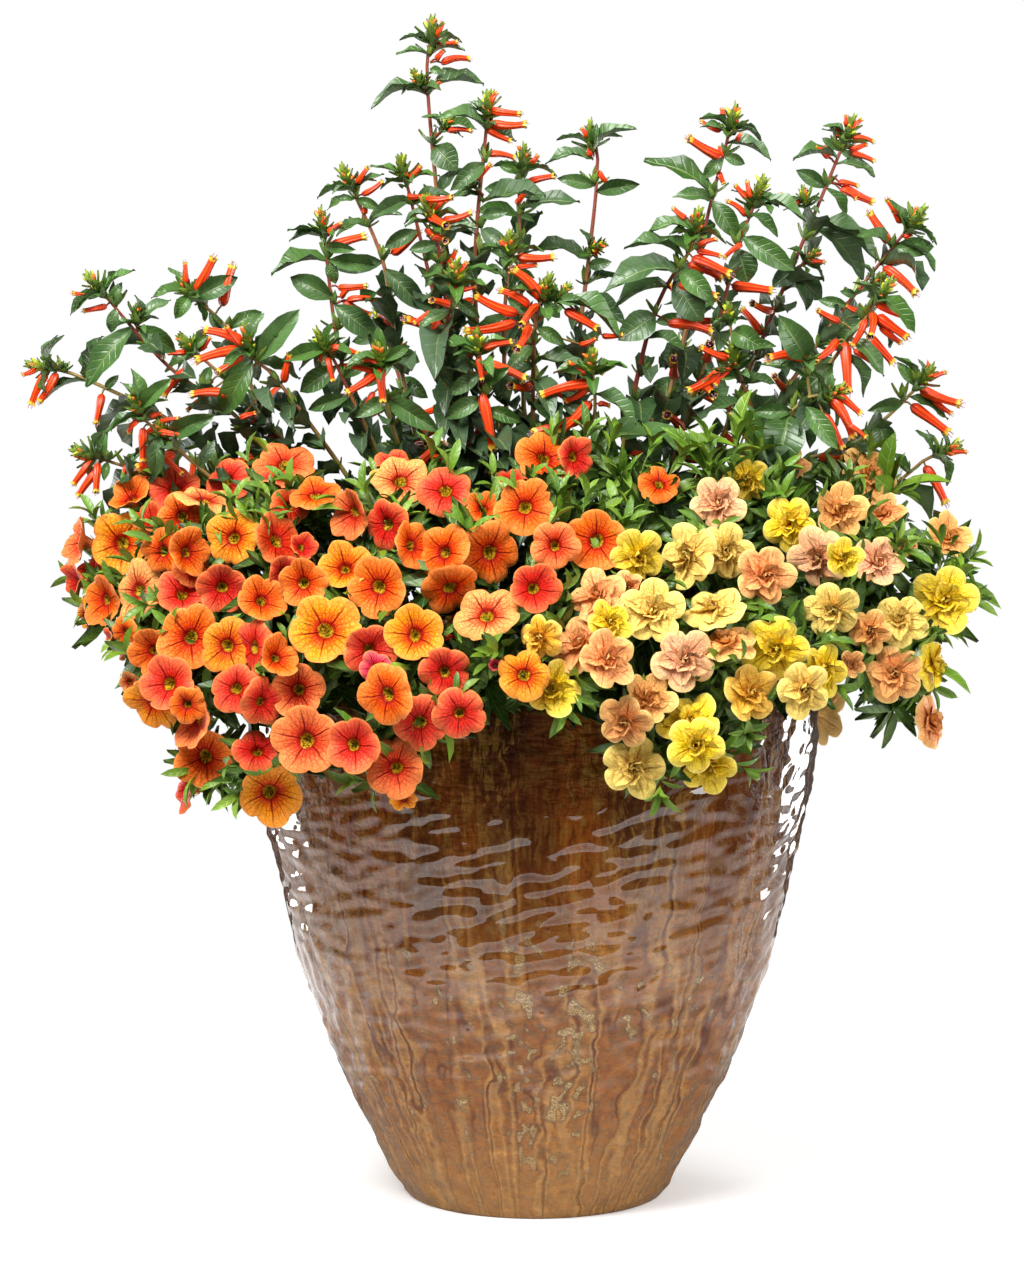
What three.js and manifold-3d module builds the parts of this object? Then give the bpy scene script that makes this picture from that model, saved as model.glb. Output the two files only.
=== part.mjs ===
// A mixed planting in a glazed pot: firecracker plant standing in the middle, single calibrachoas
// trailing over the left side and double calibrachoas over the right side.
// Millimetres, +Z up. The origin is the middle of the pot's foot and -Y is the front.

import * as THREE from 'three';
import { mergeVertices } from 'three/addons/utils/BufferGeometryUtils.js';
import Module from 'manifold-3d';

const wasm = await Module();
wasm.setup();

// Driving dimensions of the pot
const POT_SIDES = 26;
const RIM_RADIUS = 180;
const RIM_TOP = 335;
const FOOT_RADIUS = 82;
// The outer radius of the wall at each height between foot and rim
const POT_PROFILE = [
  [19, 93], [44, 106], [82, 124], [121, 139], [159, 152], [209, 163], [247, 172], [286, 178],
];
// The heights at which the inner face bends
const INNER_ROWS = [44, 121, 209, 286];
const WALL = 9;
const FLOOR = 12;
const DRAIN_RADIUS = 7;
const DRAIN_CIRCLE = 42;
const DRAIN_COUNT = 3;

const DRAIN_SIDES = 10;
const RIM_LIP = 6;
const RIM_BEVEL = 2;
const HEEL = 4;

// The soil and the holes that the stems stand in
const SOIL_TOP = 318;
const SOIL_CROWN = 4;
const SEAT_GAP = 0.3;
const ROOT_DEPTH = 46;
const HOLE_PLAY = 0.5;
const HOLE_SIDES = 4;
const COLLAR = 8;

// Stems, leaves and tube flowers of the firecracker plant
const STEM_RADIUS = 2.1;
const STEM_TIP_RADIUS = 1.2;
const STEM_SIDES = 3;
const TIP_BUD_LENGTH = 15;
const TIP_BUD_RADIUS = 4.2;
const TIP_BUD_BELLY = 0.35;
const BLADE_THICKNESS = 1.3;
const LEAF_SLENDERNESS = 0.36;
const LONG_LEAF = 27;
// Where a blade is widest, as shares: how far along, half its width, and how high it arches there
const LONG_BLADE = [[0.3, 0.5, 0.06], [0.7, 0.38, 0.07]];
const SHORT_BLADE = [[0.42, 0.5, 0.07]];
const TUBE_RADIUS = 2.5;
const MOUTH_RADIUS = 1.9;
const TUBE_SIDES = 3;
const TUBE_BELLY = 0.16;

// How the roots spread in the soil: their share of the tips' reach, the most, and the least between two
const ROOT_SPREAD = 0.4;
const ROOT_LIMIT = 118;
const ROOT_GAP = 11;

// Blooms and branches of the calibrachoas
const LOBES = 5;
// How far the rim dips in and back between two lobes, as shares of the bloom's radius
const LOBE_NOTCH = 0.13;
const LOBE_CURL = 0.05;
const THROAT_DEPTH = 5;
const NECK_DEPTH = 7.5;
const NECK_RADIUS = 3.2;
const NECK_SIDES = 3;
const STALK_SIDES = 3;
const STALK_RADIUS = 0.75;
const CROWN_RADIUS = 0.42;
const CROWN_HEIGHT = 4.5;
const CROWN_HEART = 0.3;
const BRANCH_RADIUS = 1.9;
const BRANCH_TAPER = 0.8;
const BRANCH_SIDES = 3;
const CORNER_CUT = 4;
// A bend of a stem smaller than this is left out
const STEM_SLACK = 2.2;

// The mound that the trailing branches make: its middle, and how far it reaches each way
const MOUND = { x: 0, y: 0, z: 342, wide: 300, deep: 245, up: 160, down: 165 };
const RIM_CLEARANCE = 12;
const BRANCH_RING = 146;
// How far behind its blooms a branch winds, and how much higher it crosses the rim, in order of trial
const VINE_TRIALS = [
  [12, 0], [18, 0], [12, 8], [24, 4], [18, 14], [30, 8], [24, 20], [36, 0], [8, 6], [30, 26], [42, 12],
];

// Clear air that every piece keeps to the pieces of other stems and branches
const CLEARANCE = 0.45;
const SEED = 20417;
const STEM_KEY = 100;
const SINGLE_KEY = 200;
const DOUBLE_KEY = 240;
const SEAT_STEP = 5;
const SEAT_COST = 4;
const SEAT_AHEAD = 40;
// The shortest tube and the shortest leaf that stand as solids, in pixels as seen
const TUBE_LEAST = 20;
const LEAF_LEAST = 36;
// Edges that stray less than this from their neighbours' plane are merged, the first value that keeps
// the body whole, and a body smaller than the scrap's volume is no piece of its own
const SLIVERS = [0.05, 0.02, 0.001];
const SCRAP = 2;

// The colour and the sheen of each kind of piece
const FINISHES = {
  glaze: { color: 0xa8743c, roughness: 0.2, metalness: 0 },
  soil: { color: 0x35261b, roughness: 0.95, metalness: 0 },
  foliage: { color: 0x4a7440, roughness: 0.5, metalness: 0 },
  single: { color: 0xf0793a, roughness: 0.6, metalness: 0 },
  double: { color: 0xf4d27a, roughness: 0.6, metalness: 0 },
};

// The direction the plant is looked at from, for places read off the photograph as pixels
const VIEW = {
  centre: [512, 641.5],
  pixels: 4762,
  distance: 3000,
  target: new THREE.Vector3(-14.5, 0, 352),
  tilt: THREE.MathUtils.degToRad(7),
};
const FORWARD = new THREE.Vector3(0, Math.cos(VIEW.tilt), -Math.sin(VIEW.tilt));
const UPWARD = new THREE.Vector3(0, Math.sin(VIEW.tilt), Math.cos(VIEW.tilt));
const RIGHT = new THREE.Vector3(1, 0, 0);
const EYE = VIEW.target.clone().addScaledVector(FORWARD, -VIEW.distance);
const PIXEL_MM = VIEW.distance / VIEW.pixels;

// The firecracker stems. Each row gives the depth of the tip behind the pot's axis in millimetres, then
// pixels: the path from the tip downwards, side shoots, leaves as foot, tip and width seen, and tube
// flowers as foot and mouth, with the millimetres they come forward where they point at the viewer.
const STEMS = [
  {
    depth: 25,
    path: [[432, 30], [431, 69], [428, 95], [434, 140], [441, 190], [447, 248], [452, 330]],
    shoots: [[[435, 140], [449, 121]], [[428, 96], [417, 78]]],
    leaves: [
      [431, 56, 396, 54, 5], [432, 56, 465, 50, 5], [433, 66, 443, 72, 9], [428, 95, 371, 109, 7],
      [430, 90, 484, 84, 12], [434, 143, 458, 170, 28], [449, 124, 477, 130, 10], [442, 196, 462, 168, 12],
    ],
    tubes: [
      [436, 38, 443, 22], [437, 45, 458, 42], [436, 60, 444, 50], [441, 63, 470, 59], [432, 88, 441, 80],
      [448, 131, 472, 131],
    ],
  },
  {
    depth: -20,
    path: [[488, 104], [483, 131], [481, 152], [478, 196], [478, 222], [477, 250], [476, 320]],
    shoots: [[[478, 196], [470, 178]]],
    leaves: [
      [484, 114, 469, 101, 7], [485, 127, 521, 144, 12], [482, 130, 436, 119, 13], [480, 160, 460, 196, 18],
      [477, 198, 447, 199, 9], [478, 200, 546, 196, 18], [478, 214, 508, 212, 13], [478, 230, 507, 256, 18],
      [477, 232, 436, 238, 8], [477, 255, 462, 290, 16],
    ],
    tubes: [
      [490, 104, 497, 92], [491, 110, 521, 114], [490, 123, 527, 124], [487, 129, 507, 133],
      [487, 154, 515, 158], [475, 180, 493, 168],
    ],
  },
  {
    depth: 45,
    path: [[346, 176], [352, 190], [360, 205], [366, 222], [383, 262], [392, 300], [397, 350]],
    leaves: [
      [350, 186, 332, 194, 5], [356, 196, 327, 210, 9], [362, 197, 381, 209, 11], [361, 190, 384, 174, 6],
      [366, 222, 336, 236, 10], [382, 262, 333, 268, 20], [388, 270, 421, 313, 24], [370, 230, 402, 214, 8],
    ],
    tubes: [[357, 184, 368, 167], [362, 195, 383, 181], [364, 214, 366, 203], [392, 254, 419, 230]],
  },
  {
    depth: -50,
    path: [[403, 168], [406, 190], [409, 210], [415, 235], [424, 270], [436, 305]],
    leaves: [
      [405, 182, 370, 166, 5], [408, 180, 440, 176, 6], [407, 203, 370, 218, 16], [409, 203, 445, 197, 11],
      [414, 233, 384, 248, 16], [420, 262, 440, 240, 10],
    ],
    tubes: [[409, 178, 421, 166], [407, 196, 424, 196]],
  },
  {
    depth: 10,
    path: [[322, 222], [324, 245], [325, 264], [332, 300], [336, 335], [345, 375]],
    leaves: [
      [322, 238, 289, 241, 8], [325, 245, 356, 250, 12], [326, 262, 271, 274, 13], [327, 262, 336, 284, 13],
      [330, 302, 290, 277, 24], [335, 305, 377, 337, 26], [330, 262, 376, 266, 18], [336, 330, 324, 372, 16],
    ],
    tubes: [
      [323, 226, 324, 212], [326, 236, 342, 223], [328, 248, 366, 236], [338, 288, 367, 286],
      [341, 298, 352, 287], [347, 300, 375, 299], [343, 301, 367, 307],
    ],
  },
  {
    depth: -10,
    path: [[94, 283], [105, 295], [125, 318], [140, 333], [168, 366], [200, 392], [245, 425]],
    shoots: [[[139, 331], [137, 314]]],
    leaves: [
      [101, 290, 135, 270, 7], [112, 302, 122, 282, 11], [100, 298, 70, 315, 12], [114, 308, 111, 333, 13],
      [138, 316, 135, 295, 5], [138, 318, 171, 300, 12], [134, 330, 86, 387, 26], [145, 325, 176, 352, 22],
      [165, 362, 130, 350, 10], [205, 395, 160, 398, 10],
    ],
    tubes: [[95, 293, 72, 293], [107, 306, 83, 311], [150, 346, 164, 358], [190, 368, 163, 396]],
  },
  {
    depth: 40,
    path: [[186, 290], [196, 298], [220, 318], [232, 335], [246, 372], [262, 410]],
    leaves: [
      [180, 290, 168, 268, 9], [185, 288, 206, 275, 9], [180, 294, 151, 298, 11], [184, 300, 175, 319, 16],
      [200, 298, 238, 277, 22], [192, 300, 205, 322, 8], [212, 312, 222, 330, 12], [228, 330, 262, 312, 14],
    ],
    tubes: [[186, 284, 185, 262], [196, 292, 214, 257], [222, 306, 233, 265]],
  },
  {
    depth: 35,
    path: [[38, 366], [62, 373], [88, 380], [118, 395], [152, 412], [200, 440]],
    leaves: [
      [52, 366, 58, 335, 4], [54, 370, 44, 360, 9], [85, 380, 40, 403, 6], [88, 378, 103, 336, 4],
      [106, 388, 119, 375, 9], [60, 373, 66, 362, 6],
    ],
    tubes: [[46, 373, 31, 405], [57, 373, 37, 398], [36, 368, 22, 375], [102, 394, 96, 424]],
  },
  {
    depth: -45,
    path: [[248, 338], [253, 358], [268, 374], [285, 390], [300, 410]],
    leaves: [
      [250, 340, 264, 313, 11], [262, 360, 300, 309, 24], [244, 352, 222, 371, 11], [250, 362, 222, 415, 26],
      [256, 362, 290, 384, 14],
    ],
    tubes: [
      [243, 341, 204, 330], [241, 346, 226, 326], [240, 350, 195, 361], [243, 354, 213, 364],
      [228, 394, 191, 395], [240, 418, 256, 413],
    ],
  },
  {
    depth: 5,
    path: [[187, 344], [205, 362], [228, 382], [258, 412]],
    leaves: [
      [192, 350, 208, 335, 10], [196, 355, 165, 372, 10], [212, 368, 200, 392, 12], [225, 380, 250, 362, 14],
    ],
    tubes: [[187, 352, 168, 353], [200, 350, 210, 337], [213, 380, 197, 394], [205, 398, 187, 411]],
  },
  {
    depth: -60,
    path: [[137, 403], [145, 420], [163, 440], [195, 468], [228, 500]],
    shoots: [[[166, 443], [162, 430]]],
    leaves: [
      [134, 396, 120, 382, 8], [136, 394, 131, 368, 13], [128, 418, 106, 432, 10], [143, 404, 172, 378, 16],
      [176, 432, 216, 415, 20], [160, 440, 124, 462, 6], [152, 445, 155, 478, 18], [196, 466, 215, 440, 12],
    ],
    tubes: [
      [138, 420, 128, 433], [143, 428, 143, 461], [158, 424, 180, 419], [158, 432, 185, 440],
      [163, 456, 182, 474], [150, 417, 162, 414],
    ],
  },
  {
    depth: -20,
    path: [[84, 453], [105, 461], [129, 468], [154, 475], [190, 492]],
    leaves: [[101, 458, 105, 432, 10], [105, 463, 104, 481, 9], [90, 452, 82, 442, 6], [125, 466, 146, 452, 8]],
    tubes: [
      [92, 461, 73, 485], [97, 470, 78, 496], [98, 463, 96, 493], [90, 458, 75, 455], [127, 464, 123, 478],
      [150, 477, 126, 487],
    ],
  },
  {
    depth: -70,
    path: [[429, 208], [437, 238], [443, 262], [447, 300], [450, 345]],
    leaves: [
      [426, 216, 404, 224, 6], [437, 240, 478, 228, 8], [432, 242, 409, 250, 13], [444, 262, 420, 290, 12],
      [446, 292, 478, 282, 10],
    ],
    tubes: [
      [432, 211, 450, 198], [426, 199, 453, 197], [443, 220, 472, 212], [430, 217, 447, 226, -18],
      [434, 239, 446, 241, -16], [448, 265, 456, 250], [426, 228, 433, 236],
    ],
  },
  {
    depth: -85,
    path: [[456, 272], [452, 292], [448, 320], [446, 370]],
    leaves: [
      [458, 278, 498, 270, 6], [452, 284, 430, 280, 8], [450, 300, 480, 318, 12], [449, 312, 414, 330, 12],
      [447, 350, 474, 372, 16],
    ],
    tubes: [
      [455, 290, 475, 282], [460, 274, 467, 262], [452, 284, 440, 277], [449, 305, 431, 300, -14],
      [434, 312, 414, 324], [440, 320, 425, 333],
    ],
  },
  {
    depth: -40,
    path: [[323, 342], [328, 356], [340, 372], [352, 392], [362, 420]],
    leaves: [
      [320, 346, 281, 361, 17], [325, 342, 333, 322, 9], [332, 366, 300, 392, 22], [345, 378, 372, 358, 14],
      [352, 392, 318, 415, 16],
    ],
    tubes: [[322, 348, 320, 362], [328, 348, 359, 355], [327, 357, 333, 382], [343, 366, 356, 362]],
  },
  {
    depth: -95,
    path: [[380, 355], [383, 372], [388, 392], [392, 425]],
    leaves: [
      [380, 352, 378, 326, 13], [376, 358, 345, 368, 8], [386, 362, 410, 346, 12], [389, 400, 440, 432, 22],
      [387, 398, 350, 420, 16],
    ],
    tubes: [
      [380, 368, 383, 403], [376, 374, 346, 393], [373, 371, 350, 366], [378, 363, 362, 361],
      [374, 392, 362, 412],
    ],
  },
  {
    depth: -100,
    path: [[478, 342], [479, 360], [484, 388], [488, 425]],
    leaves: [
      [474, 350, 438, 350, 10], [480, 370, 449, 395, 16], [483, 385, 520, 372, 13], [485, 398, 445, 418, 18],
      [487, 410, 522, 422, 15],
    ],
    tubes: [[482, 348, 512, 342], [478, 357, 482, 380], [486, 364, 525, 379], [482, 394, 493, 450]],
  },
  {
    depth: 20,
    path: [[733, 118], [728, 150], [716, 195], [704, 232], [696, 290]],
    leaves: [
      [732, 134, 757, 133, 6], [729, 136, 690, 132, 7], [732, 148, 771, 160, 10], [730, 156, 745, 164, 12],
      [726, 158, 703, 179, 14], [713, 192, 644, 160, 20], [712, 200, 672, 197, 14], [716, 202, 738, 238, 22],
    ],
    tubes: [
      [724, 122, 722, 108], [735, 124, 737, 111], [721, 131, 701, 121], [721, 157, 688, 138],
      [722, 158, 720, 146], [736, 144, 742, 133], [718, 172, 724, 184],
    ],
  },
  {
    depth: -15,
    path: [[760, 190], [750, 218], [742, 242], [731, 266], [722, 310]],
    leaves: [
      [764, 196, 779, 206, 7], [757, 209, 806, 222, 12], [757, 214, 778, 237, 12], [748, 217, 738, 237, 11],
      [746, 240, 795, 271, 24], [744, 252, 738, 288, 30],
    ],
    tubes: [[751, 200, 747, 181], [748, 199, 735, 185], [746, 216, 727, 201], [742, 244, 724, 258]],
  },
  {
    depth: 35,
    path: [[850, 128], [839, 160], [827, 187], [810, 222], [793, 272], [776, 318]],
    shoots: [[[810, 222], [805, 197]], [[794, 270], [812, 256]]],
    leaves: [
      [845, 138, 823, 126, 5], [840, 152, 822, 138, 9], [836, 160, 793, 159, 8], [842, 152, 858, 159, 8],
      [838, 165, 875, 177, 12], [825, 187, 796, 170, 16], [829, 189, 845, 218, 12], [805, 207, 784, 203, 5],
      [812, 222, 863, 280, 26], [815, 222, 877, 261, 14], [794, 273, 772, 287, 20], [796, 274, 822, 300, 22],
    ],
    tubes: [
      [840, 138, 836, 125], [847, 126, 846, 115], [852, 130, 862, 119], [852, 137, 874, 142],
      [849, 150, 867, 144], [851, 153, 874, 161], [828, 158, 814, 147], [829, 158, 824, 146],
      [838, 182, 858, 186], [842, 187, 869, 194], [840, 189, 856, 199], [800, 204, 780, 194],
      [805, 199, 805, 188], [806, 262, 825, 262],
    ],
  },
  {
    depth: -10,
    path: [[916, 218], [905, 236], [892, 252], [862, 290], [838, 322], [812, 352]],
    shoots: [[[861, 291], [880, 278]]],
    leaves: [
      [903, 233, 880, 205, 10], [912, 226, 933, 243, 5], [890, 251, 855, 236, 12], [896, 250, 934, 247, 20],
      [900, 246, 935, 271, 6], [859, 294, 840, 291, 9], [848, 308, 818, 300, 12],
    ],
    tubes: [
      [901, 223, 887, 199], [889, 243, 869, 212], [904, 238, 912, 234], [914, 218, 917, 207],
      [857, 311, 846, 305],
    ],
  },
  {
    depth: 60,
    path: [[591, 134], [593, 155], [596, 192], [588, 252], [580, 298], [574, 340]],
    shoots: [[[588, 250], [598, 246]]],
    leaves: [
      [594, 148, 597, 123, 9], [597, 152, 636, 128, 8], [593, 163, 545, 164, 11], [594, 186, 557, 178, 15],
      [598, 190, 640, 184, 17], [585, 262, 528, 252, 15], [586, 268, 612, 262, 13], [583, 284, 622, 280, 10],
      [580, 296, 616, 330, 18],
    ],
    tubes: [
      [588, 138, 581, 128], [600, 140, 607, 126], [590, 157, 589, 145], [598, 171, 608, 184],
      [593, 255, 600, 243],
    ],
  },
  {
    depth: 35,
    path: [[523, 158], [519, 191], [517, 214], [516, 245], [515, 300]],
    leaves: [
      [520, 171, 499, 166, 11], [524, 167, 541, 162, 5], [519, 194, 484, 189, 18], [522, 194, 547, 197, 14],
      [518, 211, 580, 202, 16], [516, 214, 475, 212, 15], [517, 216, 535, 222, 6],
    ],
    tubes: [[530, 165, 538, 155], [526, 183, 555, 176], [516, 204, 528, 188]],
  },
  {
    depth: -50,
    path: [[697, 222], [691, 248], [680, 266], [668, 292], [650, 326], [640, 370]],
    leaves: [
      [690, 222, 644, 235, 12], [684, 252, 658, 239, 10], [678, 256, 624, 248, 10], [674, 268, 603, 293, 24],
      [669, 287, 614, 308, 13], [684, 270, 714, 301, 22], [694, 290, 702, 322, 32], [655, 315, 628, 345, 30],
      [646, 340, 686, 352, 12],
    ],
    tubes: [
      [698, 246, 717, 239], [697, 251, 719, 252], [692, 258, 731, 275], [688, 264, 722, 279],
      [686, 219, 673, 208], [678, 285, 718, 298], [668, 323, 712, 332],
    ],
  },
  {
    depth: -80,
    path: [[734, 358], [739, 382], [746, 408], [752, 440]],
    shoots: [[[737, 368], [729, 312]]],
    leaves: [
      [731, 330, 764, 348, 24], [733, 352, 776, 346, 14], [738, 376, 706, 372, 12], [745, 400, 762, 452, 20],
      [740, 386, 776, 384, 10], [744, 402, 706, 412, 12],
    ],
    tubes: [[729, 359, 700, 347], [723, 369, 688, 391], [732, 368, 715, 386]],
  },
  {
    depth: -105,
    path: [[592, 362], [594, 392], [594, 425], [592, 460]],
    leaves: [
      [590, 382, 562, 372, 9], [597, 392, 636, 424, 15], [592, 424, 616, 472, 24], [592, 428, 560, 405, 13],
      [590, 440, 555, 436, 12], [594, 440, 700, 458, 20],
    ],
    tubes: [
      [587, 375, 568, 362], [592, 383, 540, 396], [590, 386, 565, 401], [591, 402, 559, 433],
      [580, 420, 532, 433], [598, 404, 610, 406],
    ],
  },
  {
    depth: -85,
    path: [[546, 288], [540, 306], [534, 340], [532, 385]],
    shoots: [[[537, 322], [564, 292]]],
    leaves: [
      [556, 300, 590, 305, 12], [560, 302, 610, 342, 16], [536, 330, 565, 345, 14], [534, 345, 505, 372, 14],
      [533, 360, 590, 382, 14], [532, 366, 498, 398, 16], [545, 300, 560, 318, 12],
    ],
    tubes: [
      [541, 299, 512, 269], [545, 294, 545, 273], [530, 306, 499, 290], [518, 314, 474, 295],
      [516, 322, 464, 331], [538, 305, 521, 326, -14], [529, 326, 514, 346, -16], [526, 345, 525, 361],
      [565, 310, 598, 329], [580, 345, 597, 338], [602, 336, 623, 335],
    ],
  },
  {
    depth: -35,
    path: [[510, 244], [508, 268], [506, 300], [504, 350]],
    leaves: [
      [508, 262, 486, 250, 8], [509, 270, 535, 278, 10], [507, 282, 478, 268, 9], [506, 300, 530, 318, 12],
      [505, 320, 476, 334, 12],
    ],
    tubes: [[517, 257, 554, 257], [515, 268, 535, 261], [507, 250, 500, 240]],
  },
  {
    depth: -75,
    path: [[885, 290], [873, 312], [856, 335], [833, 362], [812, 388]],
    leaves: [
      [890, 294, 915, 333, 17], [878, 322, 900, 353, 14], [860, 342, 889, 379, 16], [864, 324, 829, 352, 13],
      [832, 360, 800, 402, 26], [840, 356, 868, 400, 12],
    ],
    tubes: [
      [876, 302, 903, 309], [872, 314, 870, 338, -16], [877, 316, 908, 338], [880, 326, 901, 343],
      [866, 319, 852, 346], [868, 336, 893, 363], [845, 342, 846, 389], [854, 350, 878, 367],
      [838, 340, 814, 361, -10], [840, 322, 817, 310],
    ],
  },
  {
    depth: -95,
    path: [[834, 392], [812, 402], [788, 414], [770, 440]],
    shoots: [[[812, 402], [805, 352]]],
    leaves: [
      [786, 404, 776, 470, 42], [808, 412, 838, 450, 20], [806, 358, 768, 320, 30], [804, 378, 758, 365, 14],
      [826, 394, 832, 372, 8], [795, 410, 748, 414, 16],
    ],
    tubes: [
      [832, 398, 853, 438], [848, 425, 866, 438], [823, 414, 842, 449], [838, 394, 857, 406],
      [803, 358, 767, 359, -12],
    ],
  },
  {
    depth: -25,
    path: [[926, 376], [903, 402], [880, 425], [850, 446], [811, 460], [780, 472]],
    leaves: [
      [920, 377, 918, 359, 6], [914, 388, 897, 362, 12], [908, 397, 943, 422, 12], [902, 403, 867, 411, 14],
      [882, 424, 886, 450, 24],
    ],
    tubes: [[928, 380, 946, 372], [920, 389, 961, 404], [932, 398, 950, 410], [911, 405, 949, 433]],
  },
  {
    depth: 30,
    path: [[949, 449], [923, 461], [898, 482], [860, 500]],
    leaves: [[936, 455, 916, 430, 8], [938, 457, 947, 486, 10], [948, 446, 940, 430, 5], [910, 472, 890, 452, 9]],
    tubes: [[950, 449, 959, 445], [948, 454, 967, 452], [925, 466, 946, 504]],
  },
  {
    depth: 150,
    path: [[690, 300], [684, 345], [672, 400]],
    leaves: [
      [688, 312, 716, 300, 14], [687, 318, 655, 322, 14], [685, 340, 660, 368, 18], [684, 352, 716, 372, 18],
      [678, 375, 650, 396, 18],
    ],
    tubes: [[688, 312, 712, 328], [689, 306, 672, 292]],
  },
  {
    depth: 160,
    path: [[380, 318], [392, 360], [408, 405]],
    leaves: [
      [383, 328, 410, 316, 14], [384, 332, 352, 342, 14], [388, 350, 420, 362, 18], [392, 362, 362, 386, 18],
      [398, 380, 428, 398, 18],
    ],
    tubes: [[384, 332, 366, 318], [386, 338, 406, 346]],
  },
];

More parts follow.
